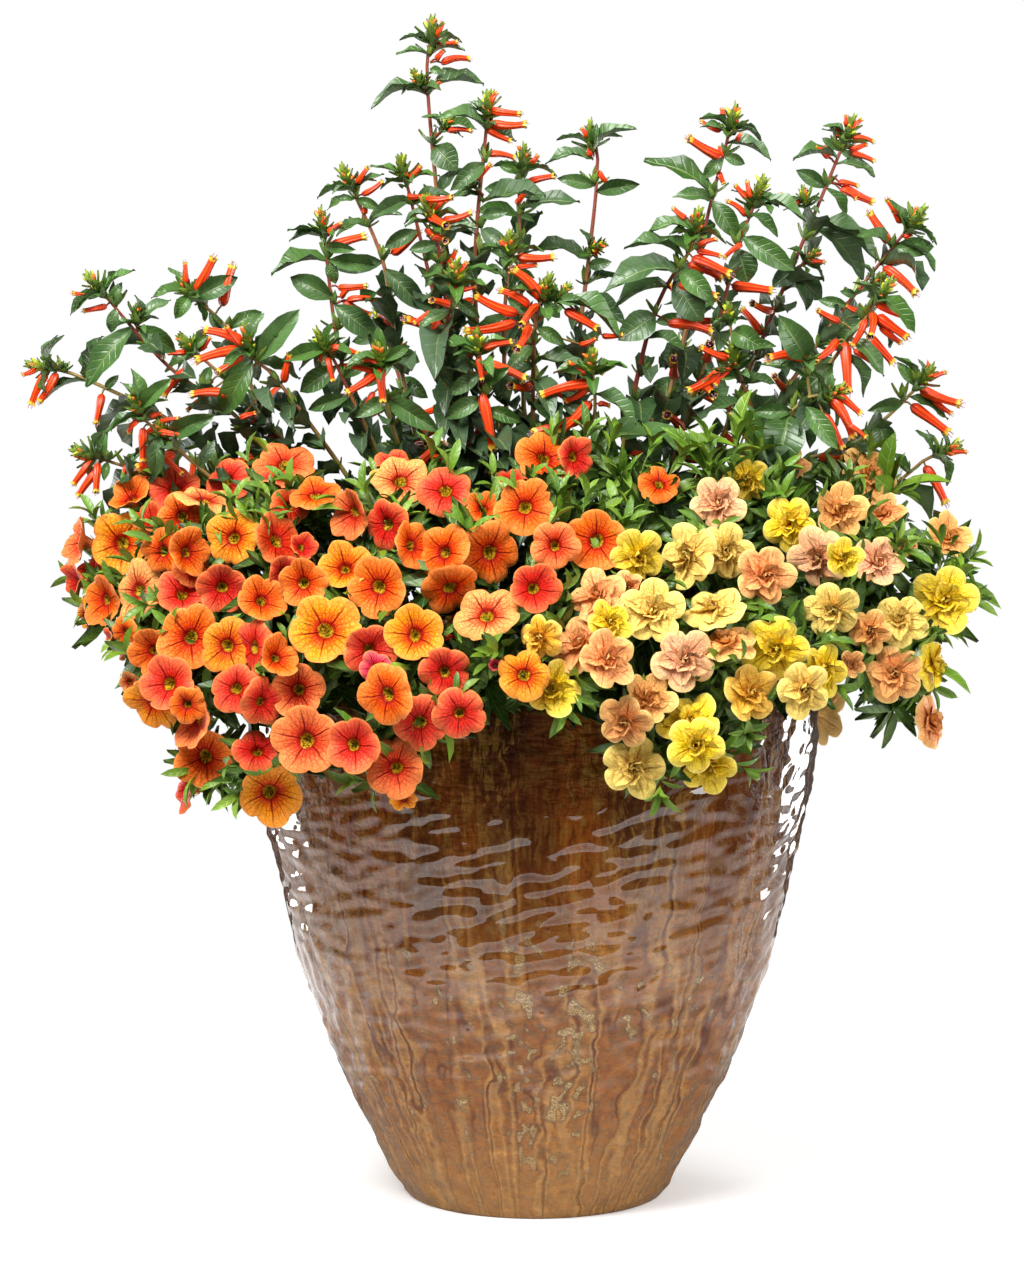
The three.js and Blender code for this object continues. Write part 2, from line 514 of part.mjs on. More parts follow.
// The calibrachoa branches. Each bloom gives its middle in pixels, its size across in pixels, how far it
// faces right and up as parts of one, and its colour, which the finish of the petals follows. Each leaf
// gives foot, tip and width seen, in pixels.
const SINGLES = [
  {
    blooms: [
      [175, 489, 54, 0, 0.45, 'coral'], [226, 480, 50, -0.25, 0.3, 'coral'],
      [130, 497, 46, -0.35, 0.5, 'orange'], [182, 517, 50, -0.1, 0.2, 'orange'],
      [205, 498, 61, 0, 0.88, 'apricot'], [121, 543, 64, -0.2, 0, 'gold'], [152, 520, 40, 0, 0.6, 'dark'],
    ],
    leaves: [[150, 505, 150, 484, 8], [210, 470, 238, 462, 8]],
  },
  {
    blooms: [
      [80, 541, 54, -0.9, 0.05, 'peach'], [76, 583, 42, -0.86, 0, 'red'], [92, 574, 34, -0.5, 0.5, 'coral'],
      [104, 600, 52, -0.6, 0, 'orange'], [83, 614, 32, -0.75, 0, 'gold'], [136, 590, 62, -0.72, 0, 'apricot'],
      [110, 638, 22, -0.85, -0.1, 'coral'], [125, 633, 34, -0.3, 0, 'orange'],
      [129, 682, 22, -0.5, -0.3, 'tan'],
    ],
    leaves: [[118, 655, 100, 652, 7], [135, 650, 150, 640, 7]],
  },
  {
    blooms: [
      [162, 551, 46, -0.2, 0, 'orange'], [188, 552, 50, 0.65, 0, 'orange'], [192, 568, 40, 0.4, 0.5, 'dark'],
      [233, 537, 58, -0.15, 0.1, 'gold'], [182, 593, 54, 0, 0.62, 'coral'], [222, 588, 51, -0.1, -0.15, 'red'],
    ],
    leaves: [[205, 560, 212, 545, 7]],
  },
  {
    blooms: [
      [274, 477, 51, 0, 0.85, 'coral'], [285, 463, 62, 0.3, 0.72, 'peach'], [290, 505, 40, 0.1, 0.4, 'dark'],
      [315, 493, 54, 0, 0.9, 'orange'], [278, 540, 60, 0.72, 0, 'dark'], [284, 573, 38, 0.6, 0, 'coral'],
      [302, 547, 30, 0.3, 0.4, 'red'], [262, 600, 50, 0, 0.1, 'orange'],
    ],
    leaves: [[312, 520, 320, 498, 8], [245, 510, 262, 496, 7]],
  },
  {
    blooms: [
      [155, 652, 54, -0.45, 0, 'orange'], [190, 637, 66, -0.1, 0.05, 'orange'], [227, 645, 58, -0.3, 0, 'gold'],
      [168, 683, 58, -0.5, 0, 'coral'], [153, 703, 60, -0.5, -0.35, 'gold'], [196, 718, 64, -0.88, 0, 'peach'],
      [186, 705, 40, -0.2, 0, 'orange'],
    ],
    leaves: [[205, 690, 214, 674, 7]],
  },
  {
    blooms: [
      [252, 648, 58, -0.88, 0, 'coral'], [277, 657, 44, 0.35, 0.1, 'orange'],
      [235, 688, 54, -0.3, 0, 'coral'], [263, 702, 50, 0.5, 0, 'red'], [298, 690, 55, -0.2, 0, 'peach'],
    ],
    leaves: [[250, 716, 240, 700, 8], [326, 704, 339, 676, 8], [322, 706, 316, 682, 7]],
  },
  {
    blooms: [
      [205, 757, 62, -0.1, 0, 'orange'], [257, 750, 48, 0.1, 0.3, 'red'], [306, 740, 70, 0, 0.05, 'peach'],
      [270, 793, 66, 0, -0.35, 'gold'], [185, 788, 50, -0.78, 0, 'red'],
    ],
    leaves: [[234, 784, 222, 768, 8], [232, 735, 236, 722, 7]],
  },
  {
    blooms: [
      [400, 480, 58, 0, 0.62, 'apricot'], [445, 490, 56, 0, 0.3, 'coral'], [395, 463, 44, -0.1, 0.85, 'coral'],
      [352, 513, 54, -0.4, 0.1, 'peach'], [386, 525, 56, -0.3, 0, 'red'], [413, 545, 52, 0.55, 0, 'orange'],
      [345, 567, 54, 0, 0.6, 'gold'], [303, 583, 50, -0.45, 0, 'orange'],
    ],
    leaves: [[335, 498, 322, 512, 7], [365, 548, 378, 556, 7]],
  },
  {
    blooms: [
      [378, 587, 62, 0, 0.2, 'orange'], [325, 630, 74, 0, 0.25, 'gold'], [370, 650, 54, 0.2, 0, 'coral'],
      [376, 668, 34, 0, 0.1, 'rose'], [415, 634, 60, 0, 0.35, 'gold'],
    ],
    leaves: [[330, 674, 345, 690, 7], [398, 662, 412, 668, 6]],
  },
  {
    blooms: [
      [443, 552, 58, -0.5, 0.5, 'orange'], [450, 590, 60, 0, -0.5, 'orange'], [490, 553, 64, 0.5, 0, 'orange'],
      [487, 614, 66, 0, 0.55, 'apricot'], [512, 480, 32, 0.3, 0.6, 'red'], [483, 508, 36, 0, 0.4, 'orange'],
      [496, 665, 16, 0.2, 0.2, 'rose'],
    ],
    leaves: [[492, 512, 482, 494, 8], [500, 650, 486, 636, 8], [504, 650, 521, 640, 8]],
  },
  {
    blooms: [
      [445, 672, 51, 0, 0, 'red'], [386, 695, 64, -0.4, 0, 'orange'], [420, 723, 58, 0, 0, 'coral'],
      [460, 714, 54, 0.2, 0, 'coral'], [353, 745, 56, -0.4, 0, 'coral'], [395, 767, 62, 0, -0.1, 'peach'],
      [404, 800, 28, 0.1, -0.6, 'gold'],
    ],
    leaves: [[442, 742, 452, 762, 8], [340, 722, 336, 706, 7]],
  },
  {
    blooms: [
      [545, 457, 58, 0, 0.6, 'orange'], [575, 457, 44, 0.6, 0, 'red'], [525, 507, 60, 0, 0.1, 'orange'],
      [596, 541, 62, 0.1, 0, 'orange'], [555, 545, 50, 0, 0.3, 'peach'], [534, 588, 52, 0, 0, 'red'],
      [660, 483, 44, 0, 0.35, 'orange'], [524, 674, 54, 0, 0.4, 'gold'],
    ],
    leaves: [[576, 502, 566, 470, 11], [582, 506, 602, 488, 9], [560, 620, 552, 600, 8]],
  },
];

const DOUBLES = [
  {
    blooms: [
      [718, 503, 53, 0, 0.1, 'pink'], [747, 480, 46, 0, 0.2, 'lemon'], [688, 555, 62, -0.4, 0, 'cream'],
      [725, 551, 54, 0.1, 0, 'cream'], [790, 465, 38, 0.4, 0.3, 'peach'], [790, 524, 52, 0.1, 0.1, 'lemon'],
    ],
    leaves: [
      [736, 428, 749, 387, 13], [700, 458, 664, 425, 18], [722, 436, 678, 441, 10], [706, 458, 690, 428, 13],
      [738, 440, 731, 463, 14], [742, 427, 753, 447, 8], [702, 486, 665, 498, 12],
    ],
    shoots: [[[728, 500], [737, 440]], [[715, 500], [706, 470]]],
  },
  {
    blooms: [
      [638, 557, 54, 0, 0, 'lemon'], [597, 595, 56, -0.1, 0.5, 'peach'], [628, 588, 34, 0.2, 0.3, 'peach'],
      [610, 623, 44, 0, 0.2, 'lemon'], [653, 611, 62, 0, 0, 'cream'],
    ],
    leaves: [[620, 545, 612, 528, 8]],
  },
  {
    blooms: [
      [714, 608, 60, 0, 0.58, 'cream'], [765, 575, 57, 0, 0, 'peach'], [727, 642, 58, 0, 0.72, 'apricot'],
      [684, 660, 60, -0.1, 0, 'pink'],
    ],
    leaves: [[792, 612, 782, 594, 8]],
  },
  {
    blooms: [
      [870, 475, 58, 0.4, 0.1, 'apricot'], [839, 511, 54, 0, 0.1, 'apricot'], [883, 514, 46, 0.2, 0.7, 'peach'],
      [818, 558, 60, -0.6, 0, 'pink'], [842, 558, 38, 0.35, 0, 'lemon'], [877, 562, 50, 0.1, 0, 'pink'],
      [906, 545, 24, 0.5, 0.1, 'tan'],
    ],
    leaves: [
      [888, 474, 893, 432, 18], [846, 478, 812, 478, 12], [893, 484, 866, 482, 20], [904, 478, 903, 452, 8],
      [908, 480, 940, 478, 8], [915, 492, 952, 478, 9], [830, 484, 800, 470, 7],
    ],
    shoots: [[[880, 500], [899, 492]]],
  },
  {
    blooms: [
      [948, 538, 48, 0.2, 0.5, 'apricot'], [945, 600, 64, 0.15, 0, 'lemon'], [900, 620, 56, 0, 0.2, 'cream'],
      [933, 665, 50, 0.78, 0, 'lemon'],
    ],
    leaves: [[968, 582, 1003, 605, 15], [966, 574, 987, 560, 8], [945, 682, 973, 691, 10], [930, 548, 922, 528, 8]],
  },
  {
    blooms: [
      [832, 610, 54, 0, 0, 'cream'], [870, 631, 42, 0.2, 0.1, 'apricot'], [894, 674, 56, 0.1, -0.1, 'tan'],
      [852, 664, 26, 0, 0, 'tan'], [824, 670, 50, 0.5, 0, 'lemon'], [804, 690, 54, 0, -0.4, 'cream'],
      [775, 649, 64, 0, 0, 'lemon'],
    ],
    leaves: [[856, 690, 866, 706, 7]],
  },
  {
    blooms: [
      [580, 643, 62, -0.1, 0.4, 'peach'], [607, 660, 58, 0.4, 0, 'peach'], [540, 637, 44, -0.5, 0.1, 'ochre'],
      [552, 690, 54, 0, 0, 'lemon'],
    ],
    leaves: [[582, 690, 596, 704, 7]],
  },
  {
    blooms: [
      [648, 699, 52, 0, 0.1, 'apricot'], [625, 722, 52, -0.2, -0.1, 'tan'], [634, 768, 60, 0, -0.3, 'cream'],
      [690, 722, 60, 0, 0.45, 'lemon'], [696, 745, 54, 0, 0.2, 'lemon'], [708, 766, 54, 0.1, -0.2, 'lemon'],
      [750, 693, 56, 0.1, 0.1, 'ochre'],
    ],
    leaves: [[660, 750, 652, 736, 8], [726, 688, 716, 676, 7]],
  },
];

// Branches on the far side, placed by rule: compass angle in degrees about the pot (0 is right, 90 is
// behind), how far it reaches each way, and blooms.
const FAR_SINGLES = [{ angle: 165, reach: 24, count: 6 }, { angle: 112, reach: 26, count: 7 }];
const FAR_DOUBLES = [{ angle: 62, reach: 24, count: 7 }, { angle: 14, reach: 20, count: 6 }];
const SINGLE_TINTS = ['orange', 'coral', 'gold', 'peach', 'red'];
const DOUBLE_TINTS = ['lemon', 'cream', 'peach', 'pink', 'apricot'];

// A number from 0 to 1 that depends only on its whole-number keys.
function chance(...keys) {
  let mix = SEED;
  for (const key of keys) {
    mix = Math.imul(mix ^ (key + 1), 0x9e3779b1) >>> 0;
    mix = (mix ^ (mix >>> 15)) >>> 0;
  }
  mix = Math.imul(mix, 0x85ebca6b) >>> 0;
  mix = (mix ^ (mix >>> 13)) >>> 0;
  return mix / 4294967296;
}

// The point seen at a pixel, at a depth in millimetres behind the pot's axis.
function at(px, py, depth) {
  const ray = FORWARD.clone()
    .addScaledVector(RIGHT, (px - VIEW.centre[0]) / VIEW.pixels)
    .addScaledVector(UPWARD, (VIEW.centre[1] - py) / VIEW.pixels);
  return EYE.clone().addScaledVector(ray, (depth - EYE.y) / ray.y);
}

// The depth of the trailing mound's face at a pixel.
function moundDepth(px, py) {
  let depth = -MOUND.deep / 2;
  for (let pass = 0; pass < 4; pass += 1) {
    const seen = at(px, py, depth);
    const rise = seen.z - MOUND.z;
    const across = (seen.x - MOUND.x) / MOUND.wide;
    const high = rise / (rise > 0 ? MOUND.up : MOUND.down);
    depth = MOUND.y - MOUND.deep * Math.sqrt(Math.max(0.04, 1 - across * across - high * high));
  }
  return depth;
}

// A direction from its parts to the right and up as seen, with the rest towards the viewer.
function facing(right, up) {
  const toward = Math.sqrt(Math.max(0, 1 - right * right - up * up));
  return new THREE.Vector3()
    .addScaledVector(RIGHT, right)
    .addScaledVector(UPWARD, up)
    .addScaledVector(FORWARD, -toward)
    .normalize();
}

function solidOf(geometry) {
  const bare = geometry.clone();
  bare.deleteAttribute('normal');
  bare.deleteAttribute('uv');
  const merged = mergeVertices(bare, 1e-4);
  return new wasm.Manifold(new wasm.Mesh({
    numProp: 3,
    vertProperties: new Float32Array(merged.attributes.position.array),
    triVerts: new Uint32Array(merged.index.array),
  }));
}

function meshOf(name, solid, material) {
  const data = solid.getMesh();
  const geometry = new THREE.BufferGeometry();
  geometry.setAttribute('position', new THREE.BufferAttribute(data.vertProperties, 3));
  geometry.setIndex(new THREE.BufferAttribute(data.triVerts, 1));
  geometry.computeVertexNormals();
  const mesh = new THREE.Mesh(geometry, material);
  mesh.name = name;
  return mesh;
}

// A closed surface that is built ring by ring along an axis.
class Skin {
  constructor() {
    this.points = [];
    this.faces = [];
  }

  point(place) {
    this.points.push(place);
    return this.points.length - 1;
  }

  ring(places) {
    return places.map((place) => this.point(place));
  }

  startAt(apex, ring) {
    ring.forEach((corner, i) => this.faces.push([apex, ring[(i + 1) % ring.length], corner]));
  }

  endAt(ring, apex) {
    ring.forEach((corner, i) => this.faces.push([apex, corner, ring[(i + 1) % ring.length]]));
  }

  startFlat(ring) {
    for (let i = 1; i < ring.length - 1; i += 1) this.faces.push([ring[0], ring[i + 1], ring[i]]);
  }

  endFlat(ring) {
    for (let i = 1; i < ring.length - 1; i += 1) this.faces.push([ring[0], ring[i], ring[i + 1]]);
  }

  join(near, far) {
    near.forEach((corner, i) => {
      const next = (i + 1) % near.length;
      this.faces.push([corner, near[next], far[next]], [corner, far[next], far[i]]);
    });
  }

  // Joins a ring to one with fewer corners, which both start at the same side.
  gather(wide, slim) {
    const partner = (i) => Math.round((i * slim.length) / wide.length) % slim.length;
    wide.forEach((corner, i) => {
      const next = (i + 1) % wide.length;
      this.faces.push([corner, wide[next], slim[partner(i)]]);
      if (partner(i) !== partner(next)) {
        this.faces.push([wide[next], slim[partner(next)], slim[partner(i)]]);
      }
    });
  }

  solid() {
    const flat = new Float32Array(this.points.flatMap((place) => [place.x, place.y, place.z]));
    const facesOut = (faces) => new wasm.Manifold(new wasm.Mesh({
      numProp: 3,
      vertProperties: flat,
      triVerts: new Uint32Array(faces.flat()),
    }));
    const made = facesOut(this.faces);
    return made.volume() > 0 ? made : facesOut(this.faces.map(([a, b, c]) => [a, c, b]));
  }
}

// Corners of a regular ring about an axis, the first one nearest to the side asked for.
function corners(middle, axis, side, radius, count) {
  const first = side.clone().addScaledVector(axis, -side.dot(axis)).normalize();
  const second = axis.clone().cross(first);
  return Array.from({ length: count }, (_, i) => {
    const turn = (2 * Math.PI * i) / count;
    return middle.clone()
      .addScaledVector(first, radius * Math.cos(turn))
      .addScaledVector(second, radius * Math.sin(turn));
  });
}

const between = (from, to, part) => from.clone().lerp(to, part);
const directionOf = (from, to) => to.clone().sub(from).normalize();

// The points of a line with each sharp corner cut off, so that a stem along it isn't pinched there.
function rounded(line) {
  return line.flatMap((place, i) => {
    if (i === 0 || i === line.length - 1) return [place];
    const before = directionOf(place, line[i - 1]);
    const after = directionOf(place, line[i + 1]);
    if (before.dot(after) < 0) return [place];
    return [place.clone().addScaledVector(before, CORNER_CUT), place.clone().addScaledVector(after, CORNER_CUT)];
  });
}

// The points of a line without those that lie almost on the way from the last kept one to the next.
function straightened(line) {
  return line.reduce((kept, place, i) => {
    const next = line[i + 1];
    if (i < 2 || !next) return [...kept, place];
    const span = new THREE.Line3(kept[kept.length - 1], next);
    const away = span.closestPointToPoint(place, true, new THREE.Vector3()).distanceTo(place);
    return away > STEM_SLACK ? [...kept, place] : kept;
  }, []);
}

// A stem along its points, foot first, that ends in a pointed bud where one is asked for.
function stemSolid(line, footRadius, tipRadius, sides, bud) {
  const skin = new Skin();
  const last = line.length - 1;
  let heading = directionOf(line[0], line[1]);
  let side = Math.abs(heading.x) < 0.7 ? RIGHT.clone() : UPWARD.clone();
  const rings = line.map((place, i) => {
    const next = directionOf(line[Math.max(0, i - 1)], line[Math.min(last, i + 1)]);
    side = side.clone().applyQuaternion(new THREE.Quaternion().setFromUnitVectors(heading, next));
    heading = next;
    const radius = THREE.MathUtils.lerp(footRadius, tipRadius, i / last);
    return skin.ring(corners(place, heading, side, radius, sides));
  });
  skin.startFlat(rings[0]);
  for (let i = 0; i < last; i += 1) skin.join(rings[i], rings[i + 1]);
  if (bud) {
    const axis = directionOf(line[last - 1], line[last]);
    const belly = line[last].clone().addScaledVector(axis, TIP_BUD_LENGTH * TIP_BUD_BELLY);
    const swell = skin.ring(corners(belly, axis, side, TIP_BUD_RADIUS, sides));
    skin.join(rings[last], swell);
    skin.endAt(swell, skin.point(line[last].clone().addScaledVector(axis, TIP_BUD_LENGTH)));
  } else {
    skin.endFlat(rings[last]);
  }
  return skin.solid();
}

// A pointed blade with a keel along its midrib. Its root lies inside what carries it.
function bladeSolid({ root, foot, tip, width, up }) {
  const axis = directionOf(foot, tip);
  const length = foot.distanceTo(tip);
  const side = axis.clone().cross(up).normalize();
  const normal = side.clone().cross(axis);
  const skin = new Skin();
  const stations = length > LONG_LEAF ? LONG_BLADE : SHORT_BLADE;
  const rings = stations.map(([part, half, arch]) => {
    const middle = between(foot, tip, part).addScaledVector(normal, arch * length);
    return skin.ring([
      middle.clone().addScaledVector(side, half * width),
      middle.clone().addScaledVector(side, -half * width),
      middle.clone().addScaledVector(normal, -BLADE_THICKNESS),
    ]);
  });
  skin.startAt(skin.point(root), rings[0]);
  for (let i = 1; i < rings.length; i += 1) skin.join(rings[i - 1], rings[i]);
  skin.endAt(rings[rings.length - 1], skin.point(tip));
  return skin.solid();
}

// A tube flower: a thin stalk that swells at the flower's foot and narrows to an open-cut mouth.
function tubeSolid({ root, foot, tip }) {
  const axis = directionOf(foot, tip);
  const skin = new Skin();
  const belly = skin.ring(corners(between(foot, tip, TUBE_BELLY), axis, UPWARD, TUBE_RADIUS, TUBE_SIDES));
  const rim = skin.ring(corners(tip, axis, UPWARD, MOUTH_RADIUS, TUBE_SIDES));
  skin.startAt(skin.point(root), belly);
  skin.join(belly, rim);
  skin.endFlat(rim);
  return skin.solid();
}

// A bloom: a lobed face that dips to a throat, or rises in an inner crown on a double, a neck behind
// it, and a stalk whose foot lies inside the branch.
function bloomSolid({ centre, size, normal, turn, double }, foot) {
  const radius = size / 2;
  const back = normal.clone().negate();
  const side = normal.clone().cross(Math.abs(normal.z) > 0.9 ? RIGHT : new THREE.Vector3(0, 0, 1))
    .applyAxisAngle(normal, turn);
  const skin = new Skin();
  const rim = corners(centre, back, side, radius, 2 * LOBES).map((corner, i) => (
    i % 2 ? corner.lerp(centre, LOBE_NOTCH).addScaledVector(back, LOBE_CURL * radius) : corner
  ));
  const rimRing = skin.ring(rim);
  if (double) {
    const crest = corners(
      centre.clone().addScaledVector(normal, CROWN_HEIGHT), back, side, radius * CROWN_RADIUS, LOBES,
    );
    const crestRing = skin.ring(crest);
    const heart = skin.point(centre.clone().addScaledVector(normal, CROWN_HEART * CROWN_HEIGHT));
    skin.startAt(heart, crestRing);
    // The face turns over at the crest, so this band runs from the narrow ring to the wide one.
    crestRing.forEach((corner, i) => {
      const next = crestRing[(i + 1) % LOBES];
      const middle = rimRing[2 * i + 1];
      skin.faces.push([corner, middle, rimRing[2 * i]]);
      skin.faces.push([next, rimRing[(2 * i + 2) % (2 * LOBES)], middle]);
      skin.faces.push([corner, next, middle]);
    });
  } else {
    skin.startAt(skin.point(centre.clone().addScaledVector(back, THROAT_DEPTH)), rimRing);
  }
  const neck = centre.clone().addScaledVector(back, NECK_DEPTH);
  const neckRing = skin.ring(corners(neck, back, side, NECK_RADIUS, NECK_SIDES));
  skin.gather(rimRing, neckRing);
  if (foot) {
    const axis = directionOf(neck, foot);
    const swing = new THREE.Quaternion().setFromUnitVectors(back, axis);
    const footSide = side.clone().applyQuaternion(swing);
    const footRing = skin.ring(corners(foot, axis, footSide, STALK_RADIUS, STALK_SIDES));
    skin.join(neckRing, footRing);
    skin.endFlat(footRing);
  } else {
    skin.endFlat(neckRing);
  }
  return skin.solid();
}

// What stands so far, so that every new piece keeps clear of its neighbours.
const placed = [];

function boxesMeet(one, other, gap) {
  return [0, 1, 2].every((axis) => (
    one.min[axis] - gap < other.max[axis] && other.min[axis] - gap < one.max[axis]
  ));
}

function isClear(solid, owner, alsoOwnHeads = false) {
  const box = solid.boundingBox();
  return placed.every((item) => {
    if (item.owner === owner && !(alsoOwnHeads && item.head)) return true;
    const other = item.owner === owner ? item.head : item.solid;
    if (!boxesMeet(box, item.box, CLEARANCE)) return true;
    return solid.minGap(other, CLEARANCE) >= CLEARANCE * 0.99;
  });
}

function place(solid, owner, head = null) {
  placed.push({ solid, owner, head, box: solid.boundingBox() });
  owner.solids.push(solid);
}

// The sample nearest to a point, by a measure of distance.
function nearest(samples, distance) {
  return samples.reduce((best, sample) => (distance(sample) < distance(best) ? sample : best));
}

// Points every few millimetres along a line of points.
function samplesOf(line, step = 4) {
  return line.slice(1).flatMap((end, i) => {
    const count = Math.max(1, Math.round(line[i].distanceTo(end) / step));
    return Array.from({ length: count }, (_, k) => between(line[i], end, k / count));
  });
}

// The radius of the pot's inner face at a height
function innerRadius(height) {
  const rows = [[0, FOOT_RADIUS], ...POT_PROFILE, [RIM_TOP, RIM_RADIUS]];
  const above = rows.findIndex(([level]) => level >= height);
  const [highLevel, highRadius] = rows[above];
  const [lowLevel, lowRadius] = rows[Math.max(0, above - 1)];
  const part = highLevel === lowLevel ? 0 : (height - lowLevel) / (highLevel - lowLevel);
  return THREE.MathUtils.lerp(lowRadius, highRadius, part) - WALL;
}

// The pot
function potSolid() {
  const outline = [
    [0, 0],
    [FOOT_RADIUS, 0],
    ...POT_PROFILE.map(([height, radius]) => [radius, height]),
    [RIM_RADIUS, RIM_TOP - RIM_LIP],
    [RIM_RADIUS - RIM_BEVEL, RIM_TOP],
    [RIM_RADIUS - WALL, RIM_TOP],
    ...[...INNER_ROWS].reverse().map((height) => [innerRadius(height), height]),
    [innerRadius(FLOOR) - HEEL, FLOOR],
    [0, FLOOR],
  ].map(([radius, height]) => new THREE.Vector2(radius, height));
  let pot = solidOf(new THREE.LatheGeometry(outline, POT_SIDES).rotateX(Math.PI / 2));
  for (let i = 0; i < DRAIN_COUNT; i += 1) {
    const angle = (2 * Math.PI * i) / DRAIN_COUNT;
    const drain = new THREE.CylinderGeometry(DRAIN_RADIUS, DRAIN_RADIUS, 3 * FLOOR, DRAIN_SIDES)
      .rotateX(Math.PI / 2)
      .translate(DRAIN_CIRCLE * Math.cos(angle), DRAIN_CIRCLE * Math.sin(angle), FLOOR / 2);
    pot = pot.subtract(solidOf(drain));
  }
  return pot;
}

function soilSolid(roots) {
  const wall = [INNER_ROWS[0], INNER_ROWS[2]];
  const outline = [
    [0, FLOOR + SEAT_GAP],
    [innerRadius(FLOOR) - HEEL, FLOOR + SEAT_GAP],
    ...wall.map((height) => [innerRadius(height) - SEAT_GAP, height]),
    [innerRadius(SOIL_TOP) - SEAT_GAP, SOIL_TOP],
    [0, SOIL_TOP + SOIL_CROWN],
  ].map(([radius, height]) => new THREE.Vector2(radius, height));
  let soil = solidOf(new THREE.LatheGeometry(outline, POT_SIDES).rotateX(Math.PI / 2));
  const depth = ROOT_DEPTH + HOLE_PLAY;
  for (const { x, y, radius } of roots) {
    const reach = (radius + HOLE_PLAY) / Math.cos(Math.PI / HOLE_SIDES);
    const hole = new THREE.CylinderGeometry(reach, reach, 2 * depth, HOLE_SIDES)
      .rotateX(Math.PI / 2)
      .translate(x, y, SOIL_TOP);
    soil = soil.subtract(solidOf(hole));
  }
  return soil;
}

// Moves roots apart until no two stand closer than the gap asked for.
function spreadRoots(roots, gap) {
  for (let pass = 0; pass < 60; pass += 1) {
    roots.forEach((one, i) => roots.slice(i + 1).forEach((other) => {
      const dx = other.x - one.x;
      const dy = other.y - one.y;
      const apart = Math.max(0.01, Math.hypot(dx, dy));
      if (apart >= gap) return;
      const push = (gap - apart) / (2 * apart);
      one.x -= dx * push;
      one.y -= dy * push;
      other.x += dx * push;
      other.y += dy * push;
    }));
  }
}

// The height seen in the photograph at which a line of sight meets the soil.
const SOIL_PIXEL = 675;

// The visible path of a firecracker stem as points, tip first.
function stemPath({ depth, path }, root) {
  const [, tipPixel] = path[0];
  return path.map(([px, py]) => {
    const share = THREE.MathUtils.clamp((SOIL_PIXEL - py) / (SOIL_PIXEL - tipPixel), 0, 1);
    return at(px, py, THREE.MathUtils.lerp(root.y, depth, share));
  });
}

// A root's way out of the soil: straight up through its hole, then in one bend to where it is seen.
function fromRoot(root, target, beyond) {
  const bottom = new THREE.Vector3(root.x, root.y, SOIL_TOP - ROOT_DEPTH);
  const collar = new THREE.Vector3(root.x, root.y, SOIL_TOP + COLLAR);
  const reach = collar.distanceTo(target) * 0.35;
  const bend = new THREE.CubicBezierCurve3(
    collar,
    collar.clone().add(new THREE.Vector3(0, 0, reach)),
    target.clone().addScaledVector(directionOf(target, beyond), -reach),
    target,
  );
  return [bottom, collar, ...[0.5].map((part) => bend.getPoint(part)), target];
}

// The upper side of a blade as seen: a narrow one is seen on edge, a wide one on its face.
function bladeUp(foot, tip, width) {
  const axis = directionOf(foot, tip);
  const toward = FORWARD.clone().negate();
  const lift = axis.clone().cross(toward).normalize();
  if (lift.z < 0) lift.negate();
  const full = LEAF_SLENDERNESS * foot.distanceTo(tip);
  const seen = Math.min(1, width / full);
  return toward.multiplyScalar(seen).addScaledVector(lift, Math.sqrt(1 - seen * seen));
}

// A leaf read off the photograph, tried at several depths and then at several bends.
function* leafTrials([footX, footY, tipX, tipY, seen], samples, key) {
  const root = nearest(samples, (sample) => pixelGap(sample, footX, footY));
  const foot = at(footX, footY, root.y);
  const length = Math.hypot(tipX - footX, tipY - footY) * PIXEL_MM;
  const run = (chance(key, 1) - 0.6) * 0.7 * length;
  for (const shift of [0, -0.2, 0.2, -0.4, 0.4, -0.6, 0.6, 0.9]) {
    for (const sway of [0, 5, -5, 10, -10]) {
      const tip = at(tipX + sway, tipY - Math.abs(sway) / 2, root.y + run + shift * length);
      const width = Math.max(seen * PIXEL_MM, LEAF_SLENDERNESS * length);
      yield { foot, tip, width, up: bladeUp(foot, tip, seen * PIXEL_MM) };
    }
  }
}

function* tubeTrials([footX, footY, mouthX, mouthY, forward = 0], samples, key) {
  const root = nearest(samples, (sample) => pixelGap(sample, footX, footY));
  const length = Math.hypot(mouthX - footX, mouthY - footY) * PIXEL_MM;
  const run = forward || (chance(key, 2) - 0.6) * 0.5 * length;
  for (const shift of [0, -4, 4, -8, 8, -12, 12, 16]) {
    for (const sway of [0, 4, -4, 8, -8]) {
      const foot = at(footX, footY, root.y + shift / 2);
      yield { foot, tip: at(mouthX + sway / 2, mouthY + sway, root.y + run + shift) };
    }
  }
}

// How far from a pixel a point is seen, in pixels.
function pixelGap(point, px, py) {
  const ray = point.clone().sub(EYE);
  const away = ray.dot(FORWARD);
  const x = VIEW.centre[0] + (VIEW.pixels * ray.dot(RIGHT)) / away;
  const y = VIEW.centre[1] - (VIEW.pixels * ray.dot(UPWARD)) / away;
  return Math.hypot(x - px, y - py);
}

// The place on a stem where a leaf or a flower is rooted: the nearest one that is still free and that
// lies behind its widest part.
function seatOn(owner, { foot, tip }) {
  const axis = directionOf(foot, tip);
  const belly = between(foot, tip, 0.2);
  const cost = (sample) => {
    const crowding = owner.seats.filter((seat) => seat.distanceTo(sample) < SEAT_STEP).length;
    const ahead = sample.clone().sub(belly).dot(axis) > -SEAT_STEP / 2;
    return sample.distanceTo(foot) + SEAT_COST * crowding + (ahead ? SEAT_AHEAD : 0);
  };
  const seat = nearest(owner.samples, cost);
  owner.seats.push(seat);
  return seat;
}

